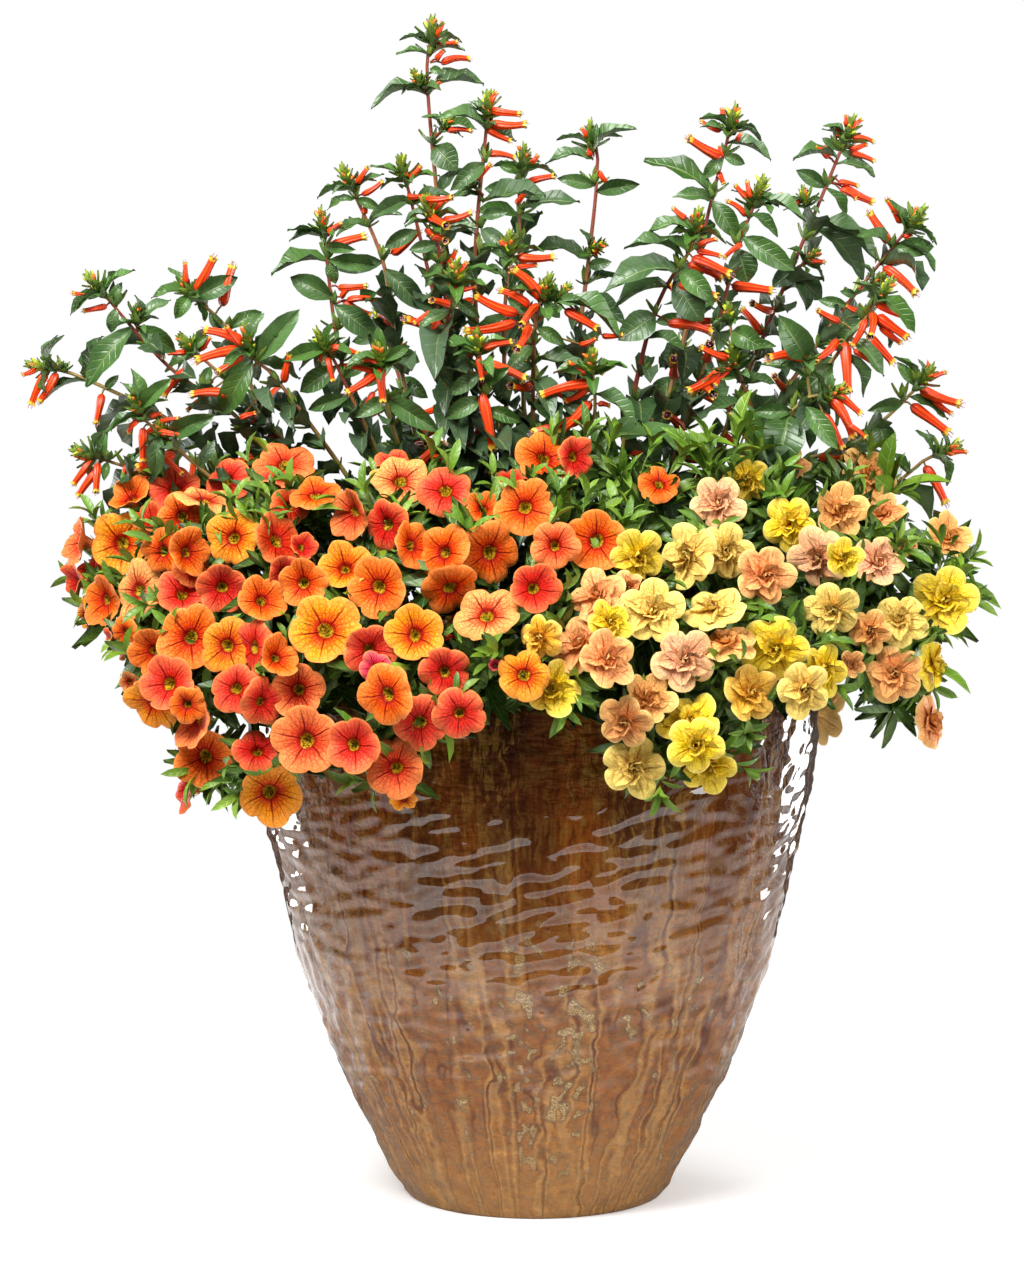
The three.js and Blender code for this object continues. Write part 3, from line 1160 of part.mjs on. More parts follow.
// Puts up the first trial that stands clear, and of its own stem's pieces too where it can be.
function settle(owner, trials, make) {
  let second = null;
  let seat = null;
  for (const trial of trials) {
    seat = seat ?? seatOn(owner, trial);
    const solid = make({ ...trial, root: seat });
    if (!isClear(solid, owner)) continue;
    const head = make({ ...trial, root: between(trial.foot, trial.tip, 0.1) });
    second = second ?? { solid, head };
    if (isClear(head, owner, true)) {
      second = { solid, head };
      break;
    }
  }
  if (second) place(second.solid, owner, second.head);
}

// The blooms of a branch on the far side, which follow the mound round the pot.
function farBlooms({ angle, reach, count }, tints, key) {
  return Array.from({ length: count }, (_, i) => {
    const turn = THREE.MathUtils.degToRad(angle + reach * (((i * 2) % 5) / 2 - 1));
    const rise = -0.45 + (1.25 * i) / count + 0.2 * chance(key, i, 3);
    const girth = Math.sqrt(1 - 0.8 * rise * rise);
    const high = rise > 0 ? MOUND.up : MOUND.down;
    return {
      centre: new THREE.Vector3(
        0.86 * MOUND.wide * girth * Math.cos(turn),
        0.92 * MOUND.deep * girth * Math.sin(turn),
        MOUND.z + rise * high * 0.8,
      ),
      size: 34 + 6 * chance(key, i, 4),
      normal: new THREE.Vector3(Math.cos(turn), Math.sin(turn), 0.5 * rise + 0.2).normalize(),
      turn: 2 * chance(key, i, 5),
      tint: tints[Math.floor(tints.length * chance(key, i, 6))],
    };
  });
}

// The blooms of a branch that the photograph shows.
function nearBlooms(rows, key) {
  return rows.map(([px, py, size, right, up, tint], i) => {
    const depth = moundDepth(px, py);
    const centre = at(px, py, depth);
    return {
      px,
      py,
      depth,
      centre,
      size: size * PIXEL_MM * (centre.distanceTo(EYE) / VIEW.distance),
      normal: facing(right, up),
      turn: 2 * chance(key, i, 5),
      tint,
    };
  });
}

// The outer radius of the pot at a height, or nothing above its rim
function outerRadius(height) {
  return height > RIM_TOP + RIM_CLEARANCE ? 0 : innerRadius(THREE.MathUtils.clamp(height, 0, RIM_TOP)) + WALL;
}

// The point outside the pot's wall that is nearest to a point.
function outsidePot(point, gap) {
  const away = Math.hypot(point.x, point.y);
  const least = outerRadius(point.z) + gap;
  if (away >= least || outerRadius(point.z) === 0) return point;
  return new THREE.Vector3((point.x * least) / away, (point.y * least) / away, point.z);
}

// The places behind its blooms that a branch winds through, each next one the nearest that is left.
function stopsOf(blooms, start, inset) {
  const left = blooms.map(({ centre, normal }) => (
    outsidePot(centre.clone().addScaledVector(normal, -(NECK_DEPTH + inset)), BRANCH_RADIUS + 4)
  ));
  const stops = [start];
  while (left.length) {
    const next = nearest(left, (stop) => stop.distanceTo(stops[stops.length - 1]));
    left.splice(left.indexOf(next), 1);
    if (next.distanceTo(stops[stops.length - 1]) > 10) stops.push(next);
  }
  return stops;
}

// A branch's way from its root: up, over the rim where its blooms hang outside, and on behind them.
function branchLine(root, blooms, inset, lift) {
  const bottom = new THREE.Vector3(root.x, root.y, SOIL_TOP - ROOT_DEPTH);
  const collar = new THREE.Vector3(root.x, root.y, SOIL_TOP + COLLAR);
  const middle = middleOf(blooms);
  const away = Math.hypot(middle.x, middle.y);
  const over = (radius, height) => (
    new THREE.Vector3((middle.x * radius) / away, (middle.y * radius) / away, height)
  );
  const crest = RIM_TOP + RIM_CLEARANCE + 2 + lift;
  const outside = away > RIM_RADIUS - 20 && middle.z < RIM_TOP + 90;
  const way = outside
    ? [bottom, collar, over(RIM_RADIUS - 16, crest), over(RIM_RADIUS + 16, crest)]
    : [bottom, collar, between(collar, middle, 0.4).setZ(collar.z + 30 + lift)];
  return [...way, ...stopsOf(blooms, way[way.length - 1], inset).slice(1)];
}

function middleOf(blooms) {
  const middle = new THREE.Vector3();
  blooms.forEach((bloom) => middle.addScaledVector(bloom.centre, 1 / blooms.length));
  return middle;
}

// Side shoots, each from the nearest place on its stem to the pixel where its tip is seen.
function growShoots(owner, rows) {
  for (const [[startX, startY], [endX, endY]] of rows) {
    const start = nearest(owner.samples, (sample) => pixelGap(sample, startX, startY));
    const end = at(endX, endY, start.y - 3);
    place(stemSolid([start, end], STEM_TIP_RADIUS, STEM_TIP_RADIUS, STEM_SIDES, true), owner);
    owner.samples.push(...samplesOf([start, end]));
  }
}

function growFirecracker(owner) {
  const { row, root } = owner;
  const seen = stemPath(row, root);
  const hidden = fromRoot(root, seen[seen.length - 1], seen[seen.length - 2]);
  const line = straightened([...hidden, ...seen.slice(0, -1).reverse()]);
  const stem = stemSolid(line, STEM_RADIUS, STEM_TIP_RADIUS, STEM_SIDES, true);
  place(stem, owner, stem);
  owner.samples = samplesOf(line.slice(1));
  growShoots(owner, row.shoots ?? []);
}

// Lays the branch by the first trial that stands clear of the others.
function growBranch(owner) {
  const { blooms, root } = owner;
  for (const [inset, lift] of VINE_TRIALS) {
    const line = rounded(straightened(branchLine(root, blooms, inset, lift)));
    const solid = stemSolid(line, BRANCH_RADIUS, BRANCH_RADIUS * BRANCH_TAPER, BRANCH_SIDES, false);
    if (isClear(solid, owner)) {
      place(solid, owner, solid);
      owner.samples = samplesOf(line.slice(4));
      growShoots(owner, owner.row?.shoots ?? []);
      return;
    }
  }
}

// A bloom keeps its place as seen and moves in depth until its head and its stalk stand clear.
function* bloomTrials(bloom, samples, seats) {
  for (const shift of [0, -6, 6, -12, 12, -18, 18, -24, 24, -32, 32, -40, 40]) {
    const centre = bloom.px === undefined
      ? bloom.centre.clone().addScaledVector(bloom.normal, shift)
      : at(bloom.px, bloom.py, bloom.depth + shift);
    const moved = { ...bloom, centre };
    const neck = centre.clone().addScaledVector(bloom.normal, -NECK_DEPTH);
    const aim = neck.clone().addScaledVector(bloom.normal, -12);
    const feet = samples.filter((sample) => seats.every((seat) => seat.distanceTo(sample) > SEAT_STEP));
    feet.sort((a, b) => a.distanceTo(aim) - b.distanceTo(aim));
    for (let i = 0; i < feet.length; i += 2) yield { bloom: moved, foot: feet[i] };
  }
}

// Puts up a bloom, clear of its own branch's blooms too where it can be, and keeps its stalk as a twig.
function settleBloom(owner, bloom) {
  const { double } = owner;
  let second = null;
  for (const trial of bloomTrials(bloom, owner.samples, owner.seats)) {
    const whole = bloomSolid({ ...trial.bloom, double }, trial.foot);
    if (!isClear(whole, owner)) continue;
    const head = bloomSolid({ ...trial.bloom, double }, null);
    second = second ?? { whole, head, trial };
    if (isClear(head, owner, true)) {
      second = { whole, head, trial };
      break;
    }
  }
  if (!second) return;
  const { whole, head, trial } = second;
  place(whole, owner, head);
  owner.seats.push(trial.foot);
  const neck = trial.bloom.centre.clone().addScaledVector(trial.bloom.normal, -NECK_DEPTH);
  owner.twigs.push(...samplesOf([neck, between(neck, trial.foot, 0.5)]));
}

// How long a leaf or a flower is in the photograph, in pixels
const seenLength = ([footX, footY, tipX, tipY]) => Math.hypot(tipX - footX, tipY - footY);

// A whole number of its own for each piece of an owner
const pieceKey = (owner, i) => owner.key * 64 + i;

// An owner has a name, a finish, the solids that make it, and the seats that are taken on it.
function ownerOf(name, finish, rest = {}) {
  return { name, finish, solids: [], seats: [], samples: [], twigs: [], ...rest };
}

// The branches of one kind: those that the photograph shows, then those on the far side.
function branchOwners(kind, finish, rows, farRows, tints, key, double) {
  const seen = rows.map((row, i) => ({ row, blooms: nearBlooms(row.blooms, key + i), key: key + i }));
  const far = farRows.map((row, i) => {
    const farKey = key + rows.length + i;
    return { blooms: farBlooms(row, tints, farKey), key: farKey };
  });
  return [...seen, ...far].map((rest, i) => ownerOf(`${kind}_${i + 1}`, finish, { ...rest, double }));
}

// The pieces, in the order in which they find their places
const owners = {
  pot: ownerOf('pot', FINISHES.glaze),
  soil: ownerOf('soil', FINISHES.soil),
  stems: STEMS.map((row, i) => ownerOf(`firecracker_stem_${i + 1}`, FINISHES.foliage, { row, key: STEM_KEY + i })),
  singles: branchOwners(
    'single_calibrachoa', FINISHES.single, SINGLES, FAR_SINGLES, SINGLE_TINTS, SINGLE_KEY, false,
  ),
  doubles: branchOwners(
    'double_calibrachoa', FINISHES.double, DOUBLES, FAR_DOUBLES, DOUBLE_TINTS, DOUBLE_KEY, true,
  ),
};
const branches = [...owners.singles, ...owners.doubles];

for (const owner of owners.stems) {
  const [tipX, tipY] = owner.row.path[0];
  const tip = at(tipX, tipY, owner.row.depth);
  const away = Math.hypot(tip.x, tip.y);
  const radius = Math.min(ROOT_SPREAD * away, ROOT_LIMIT);
  owner.root = { x: (tip.x * radius) / away, y: (tip.y * radius) / away, radius: STEM_RADIUS };
}
for (const owner of branches) {
  const middle = middleOf(owner.blooms);
  const away = Math.hypot(middle.x, middle.y);
  const share = BRANCH_RING / away;
  owner.root = { x: middle.x * share, y: middle.y * share, radius: BRANCH_RADIUS };
}
const roots = [...owners.stems, ...branches].map((owner) => owner.root);
spreadRoots(roots, ROOT_GAP);

place(potSolid(), owners.pot);
place(soilSolid(roots), owners.soil);
for (const owner of owners.stems) growFirecracker(owner);
for (const owner of branches) growBranch(owner);
for (const owner of branches) {
  for (const bloom of owner.blooms) settleBloom(owner, bloom);
}
for (const owner of owners.stems) {
  owner.row.tubes.forEach((row, i) => {
    const forward = row.length > 4;
    if (seenLength(row) < TUBE_LEAST && !forward) return;
    settle(owner, tubeTrials(row, owner.samples, pieceKey(owner, i)), tubeSolid);
  });
  owner.row.leaves.forEach((row, i) => {
    if (seenLength(row) < LEAF_LEAST) return;
    settle(owner, leafTrials(row, owner.samples, pieceKey(owner, i)), bladeSolid);
  });
}
for (const owner of branches) {
  const leaves = owner.row?.leaves ?? [];
  owner.samples.push(...owner.twigs);
  leaves.forEach((row, i) => settle(owner, leafTrials(row, owner.samples, pieceKey(owner, i)), bladeSolid));
}

// The one body that an owner's pieces make together, with any sealed hollow in it filled
function fusedSolid({ solids }) {
  const { vertProperties, triVerts } = wasm.Manifold.union(solids).getMesh();
  const joined = new wasm.Manifold(new wasm.Mesh({ numProp: 3, vertProperties, triVerts }));
  const tries = SLIVERS.map((sliver) => (
    joined.simplify(sliver).decompose().filter((body) => body.volume() > SCRAP)
  ));
  const bodies = tries.find((found) => found.length === 1) ?? tries[tries.length - 1];
  return bodies.reduce((most, body) => (body.volume() > most.volume() ? body : most));
}

const group = new THREE.Group();
for (const owner of [owners.pot, owners.soil, ...owners.stems, ...branches]) {
  const material = new THREE.MeshStandardMaterial(owner.finish);
  group.add(meshOf(owner.name, fusedSolid(owner), material));
}

export default group;
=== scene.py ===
"""A glazed pot of flowering plants: upright firecracker stems between two trailing calibrachoas.

Sizes are in millimetres wherever a plan is made and become metres when a mesh is written.
"""
import logging
import math
from dataclasses import dataclass, field, replace
from enum import Enum
from functools import cached_property
from typing import Any, Callable, Sequence

import bmesh
import bpy
import numpy as np
from mathutils import Matrix, Vector, noise


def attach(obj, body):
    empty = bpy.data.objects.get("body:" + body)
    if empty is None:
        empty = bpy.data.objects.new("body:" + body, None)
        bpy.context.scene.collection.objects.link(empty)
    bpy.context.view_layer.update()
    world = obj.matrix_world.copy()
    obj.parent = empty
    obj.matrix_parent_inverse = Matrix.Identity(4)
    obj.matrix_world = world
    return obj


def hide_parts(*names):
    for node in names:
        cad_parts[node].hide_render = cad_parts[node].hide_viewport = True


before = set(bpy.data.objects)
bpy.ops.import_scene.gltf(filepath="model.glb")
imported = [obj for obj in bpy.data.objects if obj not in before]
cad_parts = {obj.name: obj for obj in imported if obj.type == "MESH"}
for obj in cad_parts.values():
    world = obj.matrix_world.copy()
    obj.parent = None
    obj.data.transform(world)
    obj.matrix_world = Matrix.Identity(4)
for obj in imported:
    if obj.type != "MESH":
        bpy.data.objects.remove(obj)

LOG = logging.getLogger("planting")
MM = 0.001
SEED = 20417
ROOT_BODY = "root"
WORD = 0xFFFFFFFF
FIRST_STIR = 0x9E3779B1
LAST_STIR = 0x85EBCA6B
UP = np.array([0.0, 0.0, 1.0])
RIM = 0.001
SAMPLE_STEP = 4.0


def chance(*keys: int) -> float:
    """A number from 0 to 1 that depends on nothing but its keys.

    Args:
        keys: whole numbers that name the thing that is decided.

    Returns:
        The number.
    """
    mix = SEED
    for key in keys:
        mix = ((mix ^ (key + 1)) * FIRST_STIR) & WORD
        mix ^= mix >> 15
    mix = (mix * LAST_STIR) & WORD
    mix ^= mix >> 13
    return mix / (WORD + 1)


def spread(low: float, high: float, *keys: int) -> float:
    """A number between two limits that depends on its keys."""
    return low + (high - low) * chance(*keys)


def phase(*keys: int) -> float:
    """The phase of a wave, up to about a full turn, that depends on its keys."""
    return 6.3 * chance(*keys)


def pick(choices: Sequence[Any], *keys: int) -> Any:
    """The one of several choices that its keys decide on."""
    return choices[int(len(choices) * chance(*keys))]


def unit(vector: np.ndarray) -> np.ndarray:
    """The direction of a vector, with length one."""
    return vector / max(1e-9, float(np.linalg.norm(vector)))


def between(start: np.ndarray, end: np.ndarray, part: float) -> np.ndarray:
    """The point a part of the way from one point to another."""
    return start + (end - start) * part


def linear(code: str, strength: float = 1.0) -> tuple[float, float, float, float]:
    """A colour as the shaders need it.

    Args:
        code: six hexadecimal digits, as a paint card gives them.
        strength: a factor on the finished colour.

    Returns:
        Red, green, blue and a last 1.
    """
    parts = [int(code[i:i + 2], 16) / 255 for i in (0, 2, 4)]
    parts = [p / 12.92 if p <= 0.04045 else ((p + 0.055) / 1.055) ** 2.4 for p in parts]
    return (parts[0] * strength, parts[1] * strength, parts[2] * strength, 1.0)


def paint(code: str) -> np.ndarray:
    """A colour as an array, on which sums can be written."""
    return np.array(linear(code))


def shown(name: str, data: bpy.types.ID) -> bpy.types.Object:
    """Puts a mesh, a lamp or a camera into the scene.

    Args:
        name: the object's name.
        data: what it shows.

    Returns:
        The object.
    """
    holder = bpy.data.objects.new(name, data)
    bpy.context.scene.collection.objects.link(holder)
    return holder


def corners_of(mesh: bpy.types.Mesh) -> np.ndarray:
    """The corners of a mesh in millimetres.

    Args:
        mesh: the mesh.

    Returns:
        One corner to a row.
    """
    flat = np.zeros(len(mesh.vertices) * 3, np.float32)
    mesh.vertices.foreach_get("co", flat)
    return flat.reshape(-1, 3).astype(float) / MM


@dataclass(frozen=True)
class View:
    """The place from which the planting is seen, and what its picture shows where."""

    pixels: float = 4762.0
    distance: float = 3000.0
    centre: tuple[float, float] = (512.0, 641.5)
    height: float = 1283.0
    target: tuple[float, float, float] = (-14.5, 0.0, 352.0)
    tilt: float = math.radians(7.0)
    sensor: float = 36.0

    @cached_property
    def forward(self) -> np.ndarray:
        """The direction of sight."""
        return np.array([0.0, math.cos(self.tilt), -math.sin(self.tilt)])

    @cached_property
    def upward(self) -> np.ndarray:
        """The direction that is up in the picture."""
        return np.array([0.0, math.sin(self.tilt), math.cos(self.tilt)])

    @cached_property
    def right(self) -> np.ndarray:
        """The direction that is right in the picture."""
        return np.array([1.0, 0.0, 0.0])

    @cached_property
    def eye(self) -> np.ndarray:
        """The camera's place."""
        return np.array(self.target) - self.forward * self.distance

    @property
    def scale(self) -> float:
        """Millimetres to a pixel at the target."""
        return self.distance / self.pixels

    def at(self, px: float, py: float, depth: float) -> np.ndarray:
        """The point seen at a pixel.

        Args:
            px: the pixel's column.
            py: the pixel's row.
            depth: how far behind the pot's axis the point lies.

        Returns:
            The point.
        """
        ray = self.forward + self.right * ((px - self.centre[0]) / self.pixels)
        ray = ray + self.upward * ((self.centre[1] - py) / self.pixels)
        return self.eye + ray * ((depth - self.eye[1]) / ray[1])

    def pixels_of(self, points: np.ndarray) -> np.ndarray:
        """The pixels at which points are seen.

        Args:
            points: one point to a row.

        Returns:
            Column and row of each point's pixel.
        """
        rays = np.atleast_2d(points) - self.eye
        away = rays @ self.forward
        columns = self.centre[0] + self.pixels * (rays @ self.right) / away
        rows = self.centre[1] - self.pixels * (rays @ self.upward) / away
        return np.stack([columns, rows], axis=1)

    def facing(self, right: float, up: float) -> np.ndarray:
        """A direction towards the camera that leans to the side and up.

        Args:
            right: the share that points right in the picture.
            up: the share that points up in the picture.

        Returns:
            The direction.
        """
        toward = math.sqrt(max(0.0, 1 - right * right - up * up))
        return unit(self.right * right + self.upward * up - self.forward * toward)

    def add_camera(self) -> bpy.types.Object:
        """Puts up the camera.

        Returns:
            The camera's object.
        """
        data = bpy.data.cameras.new("view")
        data.lens = self.pixels / self.height * self.sensor
        data.sensor_width = self.sensor
        data.sensor_fit = "AUTO"
        data.clip_start = 0.1
        data.clip_end = 50.0
        camera = shown("view", data)
        turn = Matrix((self.right, self.upward, -self.forward)).transposed().to_4x4()
        camera.matrix_world = Matrix.Translation(Vector(self.eye * MM)) @ turn
        bpy.context.scene.camera = camera
        return camera


VIEW = View()


class Kind(Enum):
    """The two trailing plants."""

    SINGLE = "single"
    DOUBLE = "double"


@dataclass(frozen=True)
class StemRow:
    """A firecracker stem as it is seen.

    The path is pixels, tip first. A leaf is foot, tip and seen width. A tube is foot and mouth, and may
    end with how far it comes forward. A shoot is its start and its tip.
    """

    depth: float
    path: tuple
    leaves: tuple
    tubes: tuple
    shoots: tuple = ()


@dataclass(frozen=True)
class BranchRow:
    """A trailing branch as it is seen: blooms (pixel, size, lean right, lean up, tint), leaves and shoots."""

    blooms: tuple
    leaves: tuple
    shoots: tuple = ()


@dataclass(frozen=True)
class FarRow:
    """A branch on the far side: the angle of its middle, how far it spreads, and its blooms."""

    angle: float
    reach: float
    count: int


STEMS = (
    StemRow(
        depth=25,
        path=((432, 30), (431, 69), (428, 95), (434, 140), (441, 190), (447, 248), (452, 330)),
        shoots=(((435, 140), (449, 121)), ((428, 96), (417, 78))),
        leaves=(
            (431, 56, 396, 54, 5), (432, 56, 465, 50, 5), (433, 66, 443, 72, 9), (428, 95, 371, 109, 7),
            (430, 90, 484, 84, 12), (434, 143, 458, 170, 28), (449, 124, 477, 130, 10),
            (442, 196, 462, 168, 12),
        ),
        tubes=(
            (436, 38, 443, 22), (437, 45, 458, 42), (436, 60, 444, 50), (441, 63, 470, 59),
            (432, 88, 441, 80), (448, 131, 472, 131),
        ),
    ),
    StemRow(
        depth=-20,
        path=((488, 104), (483, 131), (481, 152), (478, 196), (478, 222), (477, 250), (476, 320)),
        shoots=(((478, 196), (470, 178)),),
        leaves=(
            (484, 114, 469, 101, 7), (485, 127, 521, 144, 12), (482, 130, 436, 119, 13),
            (480, 160, 460, 196, 18), (477, 198, 447, 199, 9), (478, 200, 546, 196, 18),
            (478, 214, 508, 212, 13), (478, 230, 507, 256, 18), (477, 232, 436, 238, 8),
            (477, 255, 462, 290, 16),
        ),
        tubes=(
            (490, 104, 497, 92), (491, 110, 521, 114), (490, 123, 527, 124), (487, 129, 507, 133),
            (487, 154, 515, 158), (475, 180, 493, 168),
        ),
    ),
    StemRow(
        depth=45,
        path=((346, 176), (352, 190), (360, 205), (366, 222), (383, 262), (392, 300), (397, 350)),
        leaves=(
            (350, 186, 332, 194, 5), (356, 196, 327, 210, 9), (362, 197, 381, 209, 11),
            (361, 190, 384, 174, 6), (366, 222, 336, 236, 10), (382, 262, 333, 268, 20),
            (388, 270, 421, 313, 24), (370, 230, 402, 214, 8),
        ),
        tubes=((357, 184, 368, 167), (362, 195, 383, 181), (364, 214, 366, 203), (392, 254, 419, 230)),
    ),
    StemRow(
        depth=-50,
        path=((403, 168), (406, 190), (409, 210), (415, 235), (424, 270), (436, 305)),
        leaves=(
            (405, 182, 370, 166, 5), (408, 180, 440, 176, 6), (407, 203, 370, 218, 16),
            (409, 203, 445, 197, 11), (414, 233, 384, 248, 16), (420, 262, 440, 240, 10),
        ),
        tubes=((409, 178, 421, 166), (407, 196, 424, 196)),
    ),
    StemRow(
        depth=10,
        path=((322, 222), (324, 245), (325, 264), (332, 300), (336, 335), (345, 375)),
        leaves=(
            (322, 238, 289, 241, 8), (325, 245, 356, 250, 12), (326, 262, 271, 274, 13),
            (327, 262, 336, 284, 13), (330, 302, 290, 277, 24), (335, 305, 377, 337, 26),
            (330, 262, 376, 266, 18), (336, 330, 324, 372, 16),
        ),
        tubes=(
            (323, 226, 324, 212), (326, 236, 342, 223), (328, 248, 366, 236), (338, 288, 367, 286),
            (341, 298, 352, 287), (347, 300, 375, 299), (343, 301, 367, 307),
        ),
    ),
    StemRow(
        depth=-10,
        path=((94, 283), (105, 295), (125, 318), (140, 333), (168, 366), (200, 392), (245, 425)),
        shoots=(((139, 331), (137, 314)),),
        leaves=(
            (101, 290, 135, 270, 7), (112, 302, 122, 282, 11), (100, 298, 70, 315, 12),
            (114, 308, 111, 333, 13), (138, 316, 135, 295, 5), (138, 318, 171, 300, 12),
            (134, 330, 86, 387, 26), (145, 325, 176, 352, 22), (165, 362, 130, 350, 10),
            (205, 395, 160, 398, 10),
        ),
        tubes=((95, 293, 72, 293), (107, 306, 83, 311), (150, 346, 164, 358), (190, 368, 163, 396)),
    ),
    StemRow(
        depth=40,
        path=((186, 290), (196, 298), (220, 318), (232, 335), (246, 372), (262, 410)),
        leaves=(
            (180, 290, 168, 268, 9), (185, 288, 206, 275, 9), (180, 294, 151, 298, 11),
            (184, 300, 175, 319, 16), (200, 298, 238, 277, 22), (192, 300, 205, 322, 8),
            (212, 312, 222, 330, 12), (228, 330, 262, 312, 14),
        ),
        tubes=((186, 284, 185, 262), (196, 292, 214, 257), (222, 306, 233, 265)),
    ),
    StemRow(
        depth=35,
        path=((38, 366), (62, 373), (88, 380), (118, 395), (152, 412), (200, 440)),
        leaves=(
            (52, 366, 58, 335, 4), (54, 370, 44, 360, 9), (85, 380, 40, 403, 6), (88, 378, 103, 336, 4),
            (106, 388, 119, 375, 9), (60, 373, 66, 362, 6),
        ),
        tubes=((46, 373, 31, 405), (57, 373, 37, 398), (36, 368, 22, 375), (102, 394, 96, 424)),
    ),
    StemRow(
        depth=-45,
        path=((248, 338), (253, 358), (268, 374), (285, 390), (300, 410)),
        leaves=(
            (250, 340, 264, 313, 11), (262, 360, 300, 309, 24), (244, 352, 222, 371, 11),
            (250, 362, 222, 415, 26), (256, 362, 290, 384, 14),
        ),
        tubes=(
            (243, 341, 204, 330), (241, 346, 226, 326), (240, 350, 195, 361), (243, 354, 213, 364),
            (228, 394, 191, 395), (240, 418, 256, 413),
        ),
    ),
    StemRow(
        depth=5,
        path=((187, 344), (205, 362), (228, 382), (258, 412)),
        leaves=(
            (192, 350, 208, 335, 10), (196, 355, 165, 372, 10), (212, 368, 200, 392, 12),
            (225, 380, 250, 362, 14),
        ),
        tubes=((187, 352, 168, 353), (200, 350, 210, 337), (213, 380, 197, 394), (205, 398, 187, 411)),
    ),
    StemRow(
        depth=-60,
        path=((137, 403), (145, 420), (163, 440), (195, 468), (228, 500)),
        shoots=(((166, 443), (162, 430)),),
        leaves=(
            (134, 396, 120, 382, 8), (136, 394, 131, 368, 13), (128, 418, 106, 432, 10),
            (143, 404, 172, 378, 16), (176, 432, 216, 415, 20), (160, 440, 124, 462, 6),
            (152, 445, 155, 478, 18), (196, 466, 215, 440, 12),
        ),
        tubes=(
            (138, 420, 128, 433), (143, 428, 143, 461), (158, 424, 180, 419), (158, 432, 185, 440),
            (163, 456, 182, 474), (150, 417, 162, 414),
        ),
    ),
    StemRow(
        depth=-20,
        path=((84, 453), (105, 461), (129, 468), (154, 475), (190, 492)),
        leaves=(
            (101, 458, 105, 432, 10), (105, 463, 104, 481, 9), (90, 452, 82, 442, 6),
            (125, 466, 146, 452, 8),
        ),
        tubes=(
            (92, 461, 73, 485), (97, 470, 78, 496), (98, 463, 96, 493), (90, 458, 75, 455),
            (127, 464, 123, 478), (150, 477, 126, 487),
        ),
    ),
    StemRow(
        depth=-70,
        path=((429, 208), (437, 238), (443, 262), (447, 300), (450, 345)),
        leaves=(
            (426, 216, 404, 224, 6), (437, 240, 478, 228, 8), (432, 242, 409, 250, 13),
            (444, 262, 420, 290, 12), (446, 292, 478, 282, 10),
        ),
        tubes=(
            (432, 211, 450, 198), (426, 199, 453, 197), (443, 220, 472, 212), (430, 217, 447, 226, -18),
            (434, 239, 446, 241, -16), (448, 265, 456, 250), (426, 228, 433, 236),
        ),
    ),
    StemRow(
        depth=-85,
        path=((456, 272), (452, 292), (448, 320), (446, 370)),
        leaves=(
            (458, 278, 498, 270, 6), (452, 284, 430, 280, 8), (450, 300, 480, 318, 12),
            (449, 312, 414, 330, 12), (447, 350, 474, 372, 16),
        ),
        tubes=(
            (455, 290, 475, 282), (460, 274, 467, 262), (452, 284, 440, 277), (449, 305, 431, 300, -14),
            (434, 312, 414, 324), (440, 320, 425, 333),
        ),
    ),
    StemRow(
        depth=-40,
        path=((323, 342), (328, 356), (340, 372), (352, 392), (362, 420)),
        leaves=(
            (320, 346, 281, 361, 17), (325, 342, 333, 322, 9), (332, 366, 300, 392, 22),
            (345, 378, 372, 358, 14), (352, 392, 318, 415, 16),
        ),
        tubes=((322, 348, 320, 362), (328, 348, 359, 355), (327, 357, 333, 382), (343, 366, 356, 362)),
    ),
    StemRow(
        depth=-95,
        path=((380, 355), (383, 372), (388, 392), (392, 425)),
        leaves=(
            (380, 352, 378, 326, 13), (376, 358, 345, 368, 8), (386, 362, 410, 346, 12),
            (389, 400, 440, 432, 22), (387, 398, 350, 420, 16),
        ),
        tubes=(
            (380, 368, 383, 403), (376, 374, 346, 393), (373, 371, 350, 366), (378, 363, 362, 361),
            (374, 392, 362, 412),
        ),
    ),
    StemRow(
        depth=-100,
        path=((478, 342), (479, 360), (484, 388), (488, 425)),
        leaves=(
            (474, 350, 438, 350, 10), (480, 370, 449, 395, 16), (483, 385, 520, 372, 13),
            (485, 398, 445, 418, 18), (487, 410, 522, 422, 15),
        ),
        tubes=((482, 348, 512, 342), (478, 357, 482, 380), (486, 364, 525, 379), (482, 394, 493, 450)),
    ),
    StemRow(
        depth=20,
        path=((733, 118), (728, 150), (716, 195), (704, 232), (696, 290)),
        leaves=(
            (732, 134, 757, 133, 6), (729, 136, 690, 132, 7), (732, 148, 771, 160, 10),
            (730, 156, 745, 164, 12), (726, 158, 703, 179, 14), (713, 192, 644, 160, 20),
            (712, 200, 672, 197, 14), (716, 202, 738, 238, 22),
        ),
        tubes=(
            (724, 122, 722, 108), (735, 124, 737, 111), (721, 131, 701, 121), (721, 157, 688, 138),
            (722, 158, 720, 146), (736, 144, 742, 133), (718, 172, 724, 184),
        ),
    ),
    StemRow(
        depth=-15,
        path=((760, 190), (750, 218), (742, 242), (731, 266), (722, 310)),
        leaves=(
            (764, 196, 779, 206, 7), (757, 209, 806, 222, 12), (757, 214, 778, 237, 12),
            (748, 217, 738, 237, 11), (746, 240, 795, 271, 24), (744, 252, 738, 288, 30),
        ),
        tubes=((751, 200, 747, 181), (748, 199, 735, 185), (746, 216, 727, 201), (742, 244, 724, 258)),
    ),
    StemRow(
        depth=35,
        path=((850, 128), (839, 160), (827, 187), (810, 222), (793, 272), (776, 318)),
        shoots=(((810, 222), (805, 197)), ((794, 270), (812, 256))),
        leaves=(
            (845, 138, 823, 126, 5), (840, 152, 822, 138, 9), (836, 160, 793, 159, 8),
